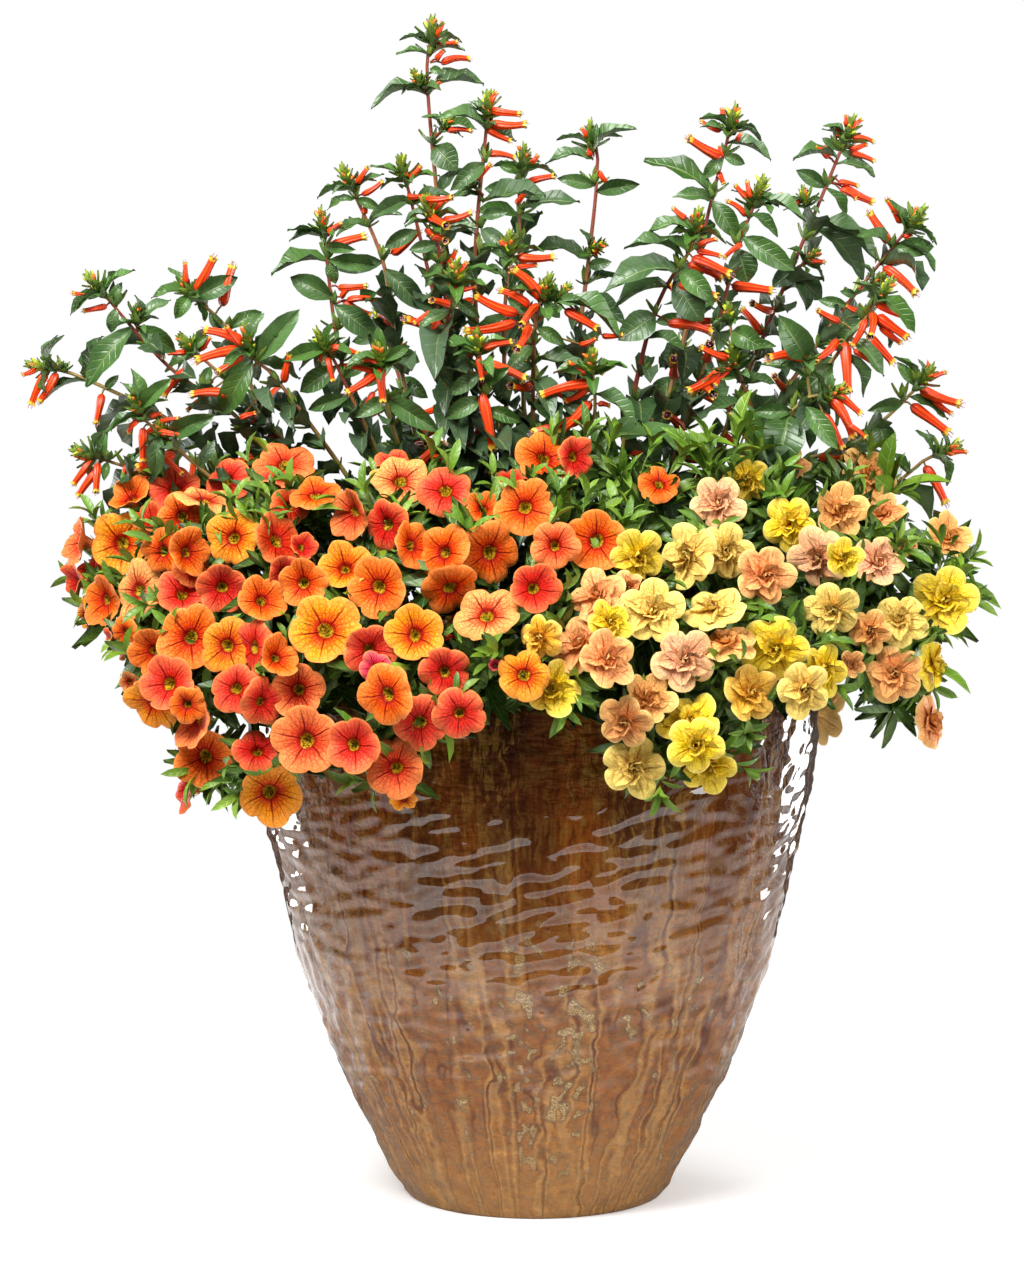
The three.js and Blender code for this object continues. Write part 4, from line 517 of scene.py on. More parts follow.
            (842, 152, 858, 159, 8), (838, 165, 875, 177, 12), (825, 187, 796, 170, 16),
            (829, 189, 845, 218, 12), (805, 207, 784, 203, 5), (812, 222, 863, 280, 26),
            (815, 222, 877, 261, 14), (794, 273, 772, 287, 20), (796, 274, 822, 300, 22),
        ),
        tubes=(
            (840, 138, 836, 125), (847, 126, 846, 115), (852, 130, 862, 119), (852, 137, 874, 142),
            (849, 150, 867, 144), (851, 153, 874, 161), (828, 158, 814, 147), (829, 158, 824, 146),
            (838, 182, 858, 186), (842, 187, 869, 194), (840, 189, 856, 199), (800, 204, 780, 194),
            (805, 199, 805, 188), (806, 262, 825, 262),
        ),
    ),
    StemRow(
        depth=-10,
        path=((916, 218), (905, 236), (892, 252), (862, 290), (838, 322), (812, 352)),
        shoots=(((861, 291), (880, 278)),),
        leaves=(
            (903, 233, 880, 205, 10), (912, 226, 933, 243, 5), (890, 251, 855, 236, 12),
            (896, 250, 934, 247, 20), (900, 246, 935, 271, 6), (859, 294, 840, 291, 9),
            (848, 308, 818, 300, 12),
        ),
        tubes=(
            (901, 223, 887, 199), (889, 243, 869, 212), (904, 238, 912, 234), (914, 218, 917, 207),
            (857, 311, 846, 305),
        ),
    ),
    StemRow(
        depth=60,
        path=((591, 134), (593, 155), (596, 192), (588, 252), (580, 298), (574, 340)),
        shoots=(((588, 250), (598, 246)),),
        leaves=(
            (594, 148, 597, 123, 9), (597, 152, 636, 128, 8), (593, 163, 545, 164, 11),
            (594, 186, 557, 178, 15), (598, 190, 640, 184, 17), (585, 262, 528, 252, 15),
            (586, 268, 612, 262, 13), (583, 284, 622, 280, 10), (580, 296, 616, 330, 18),
        ),
        tubes=(
            (588, 138, 581, 128), (600, 140, 607, 126), (590, 157, 589, 145), (598, 171, 608, 184),
            (593, 255, 600, 243),
        ),
    ),
    StemRow(
        depth=35,
        path=((523, 158), (519, 191), (517, 214), (516, 245), (515, 300)),
        leaves=(
            (520, 171, 499, 166, 11), (524, 167, 541, 162, 5), (519, 194, 484, 189, 18),
            (522, 194, 547, 197, 14), (518, 211, 580, 202, 16), (516, 214, 475, 212, 15),
            (517, 216, 535, 222, 6),
        ),
        tubes=((530, 165, 538, 155), (526, 183, 555, 176), (516, 204, 528, 188)),
    ),
    StemRow(
        depth=-50,
        path=((697, 222), (691, 248), (680, 266), (668, 292), (650, 326), (640, 370)),
        leaves=(
            (690, 222, 644, 235, 12), (684, 252, 658, 239, 10), (678, 256, 624, 248, 10),
            (674, 268, 603, 293, 24), (669, 287, 614, 308, 13), (684, 270, 714, 301, 22),
            (694, 290, 702, 322, 32), (655, 315, 628, 345, 30), (646, 340, 686, 352, 12),
        ),
        tubes=(
            (698, 246, 717, 239), (697, 251, 719, 252), (692, 258, 731, 275), (688, 264, 722, 279),
            (686, 219, 673, 208), (678, 285, 718, 298), (668, 323, 712, 332),
        ),
    ),
    StemRow(
        depth=-80,
        path=((734, 358), (739, 382), (746, 408), (752, 440)),
        shoots=(((737, 368), (729, 312)),),
        leaves=(
            (731, 330, 764, 348, 24), (733, 352, 776, 346, 14), (738, 376, 706, 372, 12),
            (745, 400, 762, 452, 20), (740, 386, 776, 384, 10), (744, 402, 706, 412, 12),
        ),
        tubes=((729, 359, 700, 347), (723, 369, 688, 391), (732, 368, 715, 386)),
    ),
    StemRow(
        depth=-105,
        path=((592, 362), (594, 392), (594, 425), (592, 460)),
        leaves=(
            (590, 382, 562, 372, 9), (597, 392, 636, 424, 15), (592, 424, 616, 472, 24),
            (592, 428, 560, 405, 13), (590, 440, 555, 436, 12), (594, 440, 700, 458, 20),
        ),
        tubes=(
            (587, 375, 568, 362), (592, 383, 540, 396), (590, 386, 565, 401), (591, 402, 559, 433),
            (580, 420, 532, 433), (598, 404, 610, 406),
        ),
    ),
    StemRow(
        depth=-85,
        path=((546, 288), (540, 306), (534, 340), (532, 385)),
        shoots=(((537, 322), (564, 292)),),
        leaves=(
            (556, 300, 590, 305, 12), (560, 302, 610, 342, 16), (536, 330, 565, 345, 14),
            (534, 345, 505, 372, 14), (533, 360, 590, 382, 14), (532, 366, 498, 398, 16),
            (545, 300, 560, 318, 12),
        ),
        tubes=(
            (541, 299, 512, 269), (545, 294, 545, 273), (530, 306, 499, 290), (518, 314, 474, 295),
            (516, 322, 464, 331), (538, 305, 521, 326, -14), (529, 326, 514, 346, -16),
            (526, 345, 525, 361), (565, 310, 598, 329), (580, 345, 597, 338), (602, 336, 623, 335),
        ),
    ),
    StemRow(
        depth=-35,
        path=((510, 244), (508, 268), (506, 300), (504, 350)),
        leaves=(
            (508, 262, 486, 250, 8), (509, 270, 535, 278, 10), (507, 282, 478, 268, 9),
            (506, 300, 530, 318, 12), (505, 320, 476, 334, 12),
        ),
        tubes=((517, 257, 554, 257), (515, 268, 535, 261), (507, 250, 500, 240)),
    ),
    StemRow(
        depth=-75,
        path=((885, 290), (873, 312), (856, 335), (833, 362), (812, 388)),
        leaves=(
            (890, 294, 915, 333, 17), (878, 322, 900, 353, 14), (860, 342, 889, 379, 16),
            (864, 324, 829, 352, 13), (832, 360, 800, 402, 26), (840, 356, 868, 400, 12),
        ),
        tubes=(
            (876, 302, 903, 309), (872, 314, 870, 338, -16), (877, 316, 908, 338), (880, 326, 901, 343),
            (866, 319, 852, 346), (868, 336, 893, 363), (845, 342, 846, 389), (854, 350, 878, 367),
            (838, 340, 814, 361, -10), (840, 322, 817, 310),
        ),
    ),
    StemRow(
        depth=-95,
        path=((834, 392), (812, 402), (788, 414), (770, 440)),
        shoots=(((812, 402), (805, 352)),),
        leaves=(
            (786, 404, 776, 470, 42), (808, 412, 838, 450, 20), (806, 358, 768, 320, 30),
            (804, 378, 758, 365, 14), (826, 394, 832, 372, 8), (795, 410, 748, 414, 16),
        ),
        tubes=(
            (832, 398, 853, 438), (848, 425, 866, 438), (823, 414, 842, 449), (838, 394, 857, 406),
            (803, 358, 767, 359, -12),
        ),
    ),
    StemRow(
        depth=-25,
        path=((926, 376), (903, 402), (880, 425), (850, 446), (811, 460), (780, 472)),
        leaves=(
            (920, 377, 918, 359, 6), (914, 388, 897, 362, 12), (908, 397, 943, 422, 12),
            (902, 403, 867, 411, 14), (882, 424, 886, 450, 24),
        ),
        tubes=((928, 380, 946, 372), (920, 389, 961, 404), (932, 398, 950, 410), (911, 405, 949, 433)),
    ),
    StemRow(
        depth=30,
        path=((949, 449), (923, 461), (898, 482), (860, 500)),
        leaves=(
            (936, 455, 916, 430, 8), (938, 457, 947, 486, 10), (948, 446, 940, 430, 5),
            (910, 472, 890, 452, 9),
        ),
        tubes=((950, 449, 959, 445), (948, 454, 967, 452), (925, 466, 946, 504)),
    ),
    StemRow(
        depth=150,
        path=((690, 300), (684, 345), (672, 400)),
        leaves=(
            (688, 312, 716, 300, 14), (687, 318, 655, 322, 14), (685, 340, 660, 368, 18),
            (684, 352, 716, 372, 18), (678, 375, 650, 396, 18),
        ),
        tubes=((688, 312, 712, 328), (689, 306, 672, 292)),
    ),
    StemRow(
        depth=160,
        path=((380, 318), (392, 360), (408, 405)),
        leaves=(
            (383, 328, 410, 316, 14), (384, 332, 352, 342, 14), (388, 350, 420, 362, 18),
            (392, 362, 362, 386, 18), (398, 380, 428, 398, 18),
        ),
        tubes=((384, 332, 366, 318), (386, 338, 406, 346)),
    ),
)

SINGLES = (
    BranchRow(
        blooms=(
            (175, 489, 54, 0, 0.45, "coral"), (226, 480, 50, -0.25, 0.3, "coral"),
            (130, 497, 46, -0.35, 0.5, "orange"), (182, 517, 50, -0.1, 0.2, "orange"),
            (205, 498, 61, 0, 0.88, "apricot"), (121, 543, 64, -0.2, 0, "gold"),
            (152, 520, 40, 0, 0.6, "dark"),
        ),
        leaves=((150, 505, 150, 484, 8), (210, 470, 238, 462, 8)),
    ),
    BranchRow(
        blooms=(
            (80, 541, 54, -0.9, 0.05, "peach"), (76, 583, 42, -0.86, 0, "red"),
            (92, 574, 34, -0.5, 0.5, "coral"), (104, 600, 52, -0.6, 0, "orange"),
            (83, 614, 32, -0.75, 0, "gold"), (136, 590, 62, -0.72, 0, "apricot"),
            (110, 638, 22, -0.85, -0.1, "coral"), (125, 633, 34, -0.3, 0, "orange"),
            (129, 682, 22, -0.5, -0.3, "tan"),
        ),
        leaves=((118, 655, 100, 652, 7), (135, 650, 150, 640, 7)),
    ),
    BranchRow(
        blooms=(
            (162, 551, 46, -0.2, 0, "orange"), (188, 552, 50, 0.65, 0, "orange"),
            (192, 568, 40, 0.4, 0.5, "dark"), (233, 537, 58, -0.15, 0.1, "gold"),
            (182, 593, 54, 0, 0.62, "coral"), (222, 588, 51, -0.1, -0.15, "red"),
        ),
        leaves=((205, 560, 212, 545, 7),),
    ),
    BranchRow(
        blooms=(
            (274, 477, 51, 0, 0.85, "coral"), (285, 463, 62, 0.3, 0.72, "peach"),
            (290, 505, 40, 0.1, 0.4, "dark"), (315, 493, 54, 0, 0.9, "orange"),
            (278, 540, 60, 0.72, 0, "dark"), (284, 573, 38, 0.6, 0, "coral"),
            (302, 547, 30, 0.3, 0.4, "red"), (262, 600, 50, 0, 0.1, "orange"),
        ),
        leaves=((312, 520, 320, 498, 8), (245, 510, 262, 496, 7)),
    ),
    BranchRow(
        blooms=(
            (155, 652, 54, -0.45, 0, "orange"), (190, 637, 66, -0.1, 0.05, "orange"),
            (227, 645, 58, -0.3, 0, "gold"), (168, 683, 58, -0.5, 0, "coral"),
            (153, 703, 60, -0.5, -0.35, "gold"), (196, 718, 64, -0.88, 0, "peach"),
            (186, 705, 40, -0.2, 0, "orange"),
        ),
        leaves=((205, 690, 214, 674, 7),),
    ),
    BranchRow(
        blooms=(
            (252, 648, 58, -0.88, 0, "coral"), (277, 657, 44, 0.35, 0.1, "orange"),
            (235, 688, 54, -0.3, 0, "coral"), (263, 702, 50, 0.5, 0, "red"),
            (298, 690, 55, -0.2, 0, "peach"),
        ),
        leaves=((250, 716, 240, 700, 8), (326, 704, 339, 676, 8), (322, 706, 316, 682, 7)),
    ),
    BranchRow(
        blooms=(
            (205, 757, 62, -0.1, 0, "orange"), (257, 750, 48, 0.1, 0.3, "red"),
            (306, 740, 70, 0, 0.05, "peach"), (270, 793, 66, 0, -0.35, "gold"),
            (185, 788, 50, -0.78, 0, "red"),
        ),
        leaves=((234, 784, 222, 768, 8), (232, 735, 236, 722, 7)),
    ),
    BranchRow(
        blooms=(
            (400, 480, 58, 0, 0.62, "apricot"), (445, 490, 56, 0, 0.3, "coral"),
            (395, 463, 44, -0.1, 0.85, "coral"), (352, 513, 54, -0.4, 0.1, "peach"),
            (386, 525, 56, -0.3, 0, "red"), (413, 545, 52, 0.55, 0, "orange"),
            (345, 567, 54, 0, 0.6, "gold"), (303, 583, 50, -0.45, 0, "orange"),
        ),
        leaves=((335, 498, 322, 512, 7), (365, 548, 378, 556, 7)),
    ),
    BranchRow(
        blooms=(
            (378, 587, 62, 0, 0.2, "orange"), (325, 630, 74, 0, 0.25, "gold"),
            (370, 650, 54, 0.2, 0, "coral"), (376, 668, 34, 0, 0.1, "rose"),
            (415, 634, 60, 0, 0.35, "gold"),
        ),
        leaves=((330, 674, 345, 690, 7), (398, 662, 412, 668, 6)),
    ),
    BranchRow(
        blooms=(
            (443, 552, 58, -0.5, 0.5, "orange"), (450, 590, 60, 0, -0.5, "orange"),
            (490, 553, 64, 0.5, 0, "orange"), (487, 614, 66, 0, 0.55, "apricot"),
            (512, 480, 32, 0.3, 0.6, "red"), (483, 508, 36, 0, 0.4, "orange"),
            (496, 665, 16, 0.2, 0.2, "rose"),
        ),
        leaves=((492, 512, 482, 494, 8), (500, 650, 486, 636, 8), (504, 650, 521, 640, 8)),
    ),
    BranchRow(
        blooms=(
            (445, 672, 51, 0, 0, "red"), (386, 695, 64, -0.4, 0, "orange"),
            (420, 723, 58, 0, 0, "coral"), (460, 714, 54, 0.2, 0, "coral"),
            (353, 745, 56, -0.4, 0, "coral"), (395, 767, 62, 0, -0.1, "peach"),
            (404, 800, 28, 0.1, -0.6, "gold"),
        ),
        leaves=((442, 742, 452, 762, 8), (340, 722, 336, 706, 7)),
    ),
    BranchRow(
        blooms=(
            (545, 457, 58, 0, 0.6, "orange"), (575, 457, 44, 0.6, 0, "red"),
            (525, 507, 60, 0, 0.1, "orange"), (596, 541, 62, 0.1, 0, "orange"),
            (555, 545, 50, 0, 0.3, "peach"), (534, 588, 52, 0, 0, "red"),
            (660, 483, 44, 0, 0.35, "orange"), (524, 674, 54, 0, 0.4, "gold"),
        ),
        leaves=((576, 502, 566, 470, 11), (582, 506, 602, 488, 9), (560, 620, 552, 600, 8)),
    ),
)

DOUBLES = (
    BranchRow(
        blooms=(
            (718, 503, 53, 0, 0.1, "pink"), (747, 480, 46, 0, 0.2, "lemon"),
            (688, 555, 62, -0.4, 0, "cream"), (725, 551, 54, 0.1, 0, "cream"),
            (790, 465, 38, 0.4, 0.3, "salmon"), (790, 524, 52, 0.1, 0.1, "lemon"),
        ),
        leaves=(
            (736, 428, 749, 387, 13), (700, 458, 664, 425, 18), (722, 436, 678, 441, 10),
            (706, 458, 690, 428, 13), (738, 440, 731, 463, 14), (742, 427, 753, 447, 8),
            (702, 486, 665, 498, 12),
        ),
        shoots=(((728, 500), (737, 440)), ((715, 500), (706, 470))),
    ),
    BranchRow(
        blooms=(
            (638, 557, 54, 0, 0, "lemon"), (597, 595, 56, -0.1, 0.5, "salmon"),
            (628, 588, 34, 0.2, 0.3, "salmon"), (610, 623, 44, 0, 0.2, "lemon"),
            (653, 611, 62, 0, 0, "cream"),
        ),
        leaves=((620, 545, 612, 528, 8),),
    ),
    BranchRow(
        blooms=(
            (714, 608, 60, 0, 0.58, "cream"), (765, 575, 57, 0, 0, "salmon"),
            (727, 642, 58, 0, 0.72, "apricot"), (684, 660, 60, -0.1, 0, "pink"),
        ),
        leaves=((792, 612, 782, 594, 8),),
    ),
    BranchRow(
        blooms=(
            (870, 475, 58, 0.4, 0.1, "apricot"), (839, 511, 54, 0, 0.1, "apricot"),
            (883, 514, 46, 0.2, 0.7, "salmon"), (818, 558, 60, -0.6, 0, "pink"),
            (842, 558, 38, 0.35, 0, "lemon"), (877, 562, 50, 0.1, 0, "pink"),
            (906, 545, 24, 0.5, 0.1, "tan"),
        ),
        leaves=(
            (888, 474, 893, 432, 18), (846, 478, 812, 478, 12), (893, 484, 866, 482, 20),
            (904, 478, 903, 452, 8), (908, 480, 940, 478, 8), (915, 492, 952, 478, 9),
            (830, 484, 800, 470, 7),
        ),
        shoots=(((880, 500), (899, 492)),),
    ),
    BranchRow(
        blooms=(
            (948, 538, 48, 0.2, 0.5, "apricot"), (945, 600, 64, 0.15, 0, "lemon"),
            (900, 620, 56, 0, 0.2, "cream"), (933, 665, 50, 0.78, 0, "lemon"),
        ),
        leaves=(
            (968, 582, 1003, 605, 15), (966, 574, 987, 560, 8), (945, 682, 973, 691, 10),
            (930, 548, 922, 528, 8),
        ),
    ),
    BranchRow(
        blooms=(
            (832, 610, 54, 0, 0, "cream"), (870, 631, 42, 0.2, 0.1, "apricot"),
            (894, 674, 56, 0.1, -0.1, "tan"), (852, 664, 26, 0, 0, "tan"),
            (824, 670, 50, 0.5, 0, "lemon"), (804, 690, 54, 0, -0.4, "cream"),
            (775, 649, 64, 0, 0, "lemon"),
        ),
        leaves=((856, 690, 866, 706, 7),),
    ),
    BranchRow(
        blooms=(
            (580, 643, 62, -0.1, 0.4, "salmon"), (607, 660, 58, 0.4, 0, "salmon"),
            (540, 637, 44, -0.5, 0.1, "ochre"), (552, 690, 54, 0, 0, "lemon"),
        ),
        leaves=((582, 690, 596, 704, 7),),
    ),
    BranchRow(
        blooms=(
            (648, 699, 52, 0, 0.1, "apricot"), (625, 722, 52, -0.2, -0.1, "tan"),
            (634, 768, 60, 0, -0.3, "cream"), (690, 722, 60, 0, 0.45, "lemon"),
            (696, 745, 54, 0, 0.2, "lemon"), (708, 766, 54, 0.1, -0.2, "lemon"),
            (750, 693, 56, 0.1, 0.1, "ochre"),
        ),
        leaves=((660, 750, 652, 736, 8), (726, 688, 716, 676, 7)),
    ),
)


FAR_SINGLES = (FarRow(165, 24, 6), FarRow(112, 26, 7))
FAR_DOUBLES = (FarRow(62, 24, 7), FarRow(14, 20, 6))
FAR_TINTS = {
    Kind.SINGLE: ("orange", "coral", "gold", "peach", "red"),
    Kind.DOUBLE: ("lemon", "cream", "salmon", "pink", "apricot"),
}


@dataclass(frozen=True)
class Bloom:
    """One bloom of a branch."""

    centre: np.ndarray
    size: float
    normal: np.ndarray
    turn: float
    tint: str
    pixel: tuple[float, float] | None = None
    depth: float = 0.0


@dataclass(frozen=True)
class Mound:
    """The rounded body of trailing flowers, as half an egg about the pot's axis."""

    middle: float = 342.0
    wide: float = 300.0
    deep: float = 245.0
    up: float = 160.0
    down: float = 165.0
    rounds: int = 4
    least_bulge: float = 0.04
    far_wide: float = 0.86
    far_deep: float = 0.92
    far_high: float = 0.8
    far_size: tuple[float, float] = (34, 40)

    def depth(self, px: float, py: float) -> float:
        """The depth of the mound's face at a pixel.

        Args:
            px: the pixel's column.
            py: the pixel's row.

        Returns:
            How far behind the pot's axis the face lies.
        """
        depth = -self.deep / 2
        for _ in range(self.rounds):
            seen = VIEW.at(px, py, depth)
            rise = seen[2] - self.middle
            across = seen[0] / self.wide
            high = rise / (self.up if rise > 0 else self.down)
            depth = -self.deep * math.sqrt(max(self.least_bulge, 1 - across * across - high * high))
        return depth

    def outward(self, point: np.ndarray) -> np.ndarray:
        """The direction straight out of the mound.

        Args:
            point: where it starts.

        Returns:
            The direction.
        """
        high = self.up if point[2] > self.middle else self.down
        scale = np.array([self.wide, self.deep, high])
        return unit((point - UP * self.middle) / scale ** 2)

    def near_blooms(self, rows: Sequence[tuple], key: int) -> list[Bloom]:
        """The blooms of a branch that the camera sees.

        Args:
            rows: pixel, size, lean right, lean up and tint of each.
            key: the branch's number.

        Returns:
            The blooms on the mound's face.
        """
        blooms = []
        for i, (px, py, size, right, up, tint) in enumerate(rows):
            depth = self.depth(px, py)
            centre = VIEW.at(px, py, depth)
            size = size * VIEW.scale * float(np.linalg.norm(centre - VIEW.eye)) / VIEW.distance
            turn = 2 * chance(key, i, 5)
            blooms.append(Bloom(centre, size, VIEW.facing(right, up), turn, tint, (px, py), depth))
        return blooms

    def far_blooms(self, row: FarRow, tints: Sequence[str], key: int) -> list[Bloom]:
        """The blooms of a branch on the far side.

        Args:
            row: where the branch hangs.
            tints: the tints to choose from.
            key: the branch's number.

        Returns:
            The blooms on the mound's back.
        """
        blooms = []
        for i in range(row.count):
            turn = math.radians(row.angle + row.reach * (((i * 2) % 5) / 2 - 1))
            rise = -0.45 + 1.25 * i / row.count + 0.2 * chance(key, i, 3)
            girth = math.sqrt(1 - 0.8 * rise * rise)
            high = self.up if rise > 0 else self.down
            centre = np.array([
                self.far_wide * self.wide * girth * math.cos(turn),
                self.far_deep * self.deep * girth * math.sin(turn),
                self.middle + rise * high * self.far_high,
            ])
            normal = unit(np.array([math.cos(turn), math.sin(turn), 0.5 * rise + 0.2]))
            size = spread(*self.far_size, key, i, 4)
            tint = pick(tints, key, i, 6)
            blooms.append(Bloom(centre, size, normal, 2 * chance(key, i, 5), tint))
        return blooms


MOUND = Mound()


@dataclass(frozen=True)
class Rooting:
    """How every stem and branch stands in the soil."""

    soil_top: float = 318.0
    depth: float = 46.0
    collar: float = 8.0

    def start(self, root: np.ndarray) -> list[np.ndarray]:
        """The first two points of a stem: deep in the soil, and just above it."""
        return [np.array([*root, self.soil_top - self.depth]), np.array([*root, self.soil_top + self.collar])]


ROOTING = Rooting()


class NodeShape:
    """The corners of a solid, by which a leaf or a bloom finds the place that it has there."""

    def __init__(self, name: str) -> None:
        """Reads the corners.

        Args:
            name: the solid's name.
        """
        self.corners = corners_of(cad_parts[name].data)

    def gap(self, point: np.ndarray) -> float:
        """How far the nearest corner is from a point."""
        return float(np.sqrt(((self.corners - point) ** 2).sum(axis=1).min()))

    def first_met(self, points: Sequence[np.ndarray], reach: float = 0.25) -> int | None:
        """Which of several points is a corner of the solid.

        Args:
            points: the points, in the order in which they are tried.
            reach: how near a corner has to be.

        Returns:
            The first such point's index, or None.
        """
        for i, point in enumerate(points):
            if self.gap(point) < reach:
                return i
        return None


class BloomFaces:
    """The faces of all blooms, in front of which no leaf or twig is to stand."""

    near = -1.0
    far = 42.0
    cover = 0.95

    def __init__(self) -> None:
        """Starts with none."""
        self.rows: list[np.ndarray] = []

    def add(self, centre: np.ndarray, normal: np.ndarray, radius: float) -> None:
        """Adds a bloom's face.

        Args:
            centre: its middle.
            normal: the direction in which it looks.
            radius: its radius.
        """
        self.rows.append(np.array([*centre, *normal, radius]))

    def before(self, points: np.ndarray, slack: float = 0.0) -> np.ndarray:
        """Which of several points stand in front of a bloom.

        Args:
            points: one point to a row.
            slack: how far behind a bloom a point may not stand either.

        Returns:
            True for each point that hides a part of a bloom.
        """
        rows = np.array(self.rows)
        away = np.atleast_2d(points)[:, None, :] - rows[None, :, :3]
        ahead = (away * rows[None, :, 3:6]).sum(axis=2)
        aside = np.sqrt(np.maximum(0, (away ** 2).sum(axis=2) - ahead ** 2))
        over = (ahead > self.near - slack) & (ahead < self.far)
        return (over & (aside < rows[None, :, 6] * self.cover)).any(axis=1)


class Line:
    """A line of points, with the ways in which a stem smooths it."""

    @staticmethod
    def samples(line: Sequence[np.ndarray], step: float = SAMPLE_STEP) -> list[np.ndarray]:
        """Points every few millimetres along a line.

        Args:
            line: the line's points.
            step: about how far apart the new points are.

        Returns:
            The points, without the line's last.
        """
        found = []
        for start, end in zip(line, line[1:]):
            count = max(1, round(float(np.linalg.norm(end - start)) / step + 1e-9))
            found += [between(start, end, k / count) for k in range(count)]
        return found

    @staticmethod
    def straightened(line: Sequence[np.ndarray], slack: float = 2.2) -> list[np.ndarray]:
        """The line without points that lie almost on the way between their neighbours.

        Args:
            line: the line's points.
            slack: how far off the way counts as almost on it.

        Returns:
            The points that are kept.
        """
        kept: list[np.ndarray] = []
        for i, place in enumerate(line):
            if i >= 2 and i + 1 < len(line):
                span = line[i + 1] - kept[-1]
                part = float(np.clip((place - kept[-1]) @ span / max(1e-9, span @ span), 0, 1))
                if np.linalg.norm(kept[-1] + span * part - place) <= slack:
                    continue
            kept.append(place)
        return kept

    @staticmethod
    def rounded(line: Sequence[np.ndarray], cut: float = 4.0) -> list[np.ndarray]:
        """The line with each open corner cut off.

        Args:
            line: the line's points.
            cut: how far from the corner it is cut.

        Returns:
            The new line's points.
        """
        found = []
        for i, place in enumerate(line):
            if i in (0, len(line) - 1):
                found.append(place)
                continue
            before = unit(line[i - 1] - place)
            after = unit(line[i + 1] - place)
            if before @ after < 0:
                found.append(place)
            else:
                found += [place + before * cut, place + after * cut]
        return found

    @staticmethod
    def smooth(line: Sequence[np.ndarray], step: float) -> np.ndarray:
        """Points along a curve that passes through a line's points.

        Args:
            line: the points to pass through.
            step: about how far apart the new points are.

        Returns:
            The curve's points, one to a row.
        """
        ends = [2 * line[0] - line[1], *line, 2 * line[-1] - line[-2]]
        found = []
        for a, b, c, d in zip(ends, ends[1:], ends[2:], ends[3:]):
            count = max(1, round(float(np.linalg.norm(c - b)) / step))
            for k in range(count):
                t = k / count
                bend = (2 * a - 5 * b + 4 * c - d) * t * t + (3 * b - a - 3 * c + d) * t ** 3
                found.append(0.5 * (2 * b + (c - a) * t + bend))
        found.append(line[-1])
        return np.array(found)


def nearest(samples: Sequence[np.ndarray], point: np.ndarray) -> int:
    """The index of the sample nearest to a point."""
    away = ((np.asarray(samples) - point) ** 2).sum(axis=1)
    return int(away.argmin())


def nearest_seen(samples: Sequence[np.ndarray], px: float, py: float) -> int:
    """The index of the sample that is seen nearest to a pixel."""
    away = ((VIEW.pixels_of(np.asarray(samples)) - (px, py)) ** 2).sum(axis=1)
    return int(away.argmin())


@dataclass
class Shape:
    """A small mesh in a frame of its own: it grows along x, and its face looks up along z."""

    corners: np.ndarray
    places: np.ndarray
    undersides: np.ndarray
    loops: np.ndarray
    totals: np.ndarray
    finishes: np.ndarray

    @staticmethod
    def read(bm: bmesh.types.BMesh) -> "Shape":
        """Takes over a finished bmesh and frees it.

        Args:
            bm: the bmesh, with its pattern places in the vertex layer "place".

        Returns:
            The shape.
        """
        layer = bm.verts.layers.float_vector["place"]
        bm.verts.index_update()
        corners = np.array([v.co for v in bm.verts], float).reshape(-1, 3)
        places = np.array([v[layer] for v in bm.verts], float).reshape(-1, 3)
        loops = np.array([v.index for f in bm.faces for v in f.verts], np.int32)
        totals = np.array([len(f.verts) for f in bm.faces], np.int32)
        finishes = np.array([f.material_index for f in bm.faces], np.int32)
        bm.free()
        return Shape(corners, places[:, :2], places[:, 2], loops, totals, finishes)

    @staticmethod
    def joined(shapes: Sequence["Shape"]) -> "Shape":
        """Several shapes as one.

        Args:
            shapes: the shapes, in the order in which their corners follow.

        Returns:
            The shape.
        """
        starts = np.cumsum([0] + [len(s.corners) for s in shapes])
        return Shape(
            np.concatenate([s.corners for s in shapes]),
            np.concatenate([s.places for s in shapes]),
            np.concatenate([s.undersides for s in shapes]),
            np.concatenate([s.loops + start for s, start in zip(shapes, starts)]).astype(np.int32),
            np.concatenate([s.totals for s in shapes]),
            np.concatenate([s.finishes for s in shapes]),
        )

    def moved(
        self, axes: np.ndarray, origin: Sequence[float], scale: Sequence[float] = (1.0, 1.0, 1.0),
    ) -> "Shape":
        """A copy that is scaled in its own frame, then turned and placed.

        Args:
            axes: the directions of its x, y and z, one to a row.
            origin: where its origin goes.
            scale: the factors along its x, y and z.

        Returns:
            The copy.
        """
        corners = (self.corners * np.asarray(scale, float)) @ axes + np.asarray(origin, float)
        return replace(self, corners=corners)

    def bent(self, bend: Callable[[np.ndarray], np.ndarray]) -> "Shape":
        """A copy whose corners went through a function."""
        return replace(self, corners=bend(self.corners))

    def finished(self, finish: int) -> "Shape":
        """A copy with one finish all over."""
        return replace(self, finishes=np.full_like(self.finishes, finish))


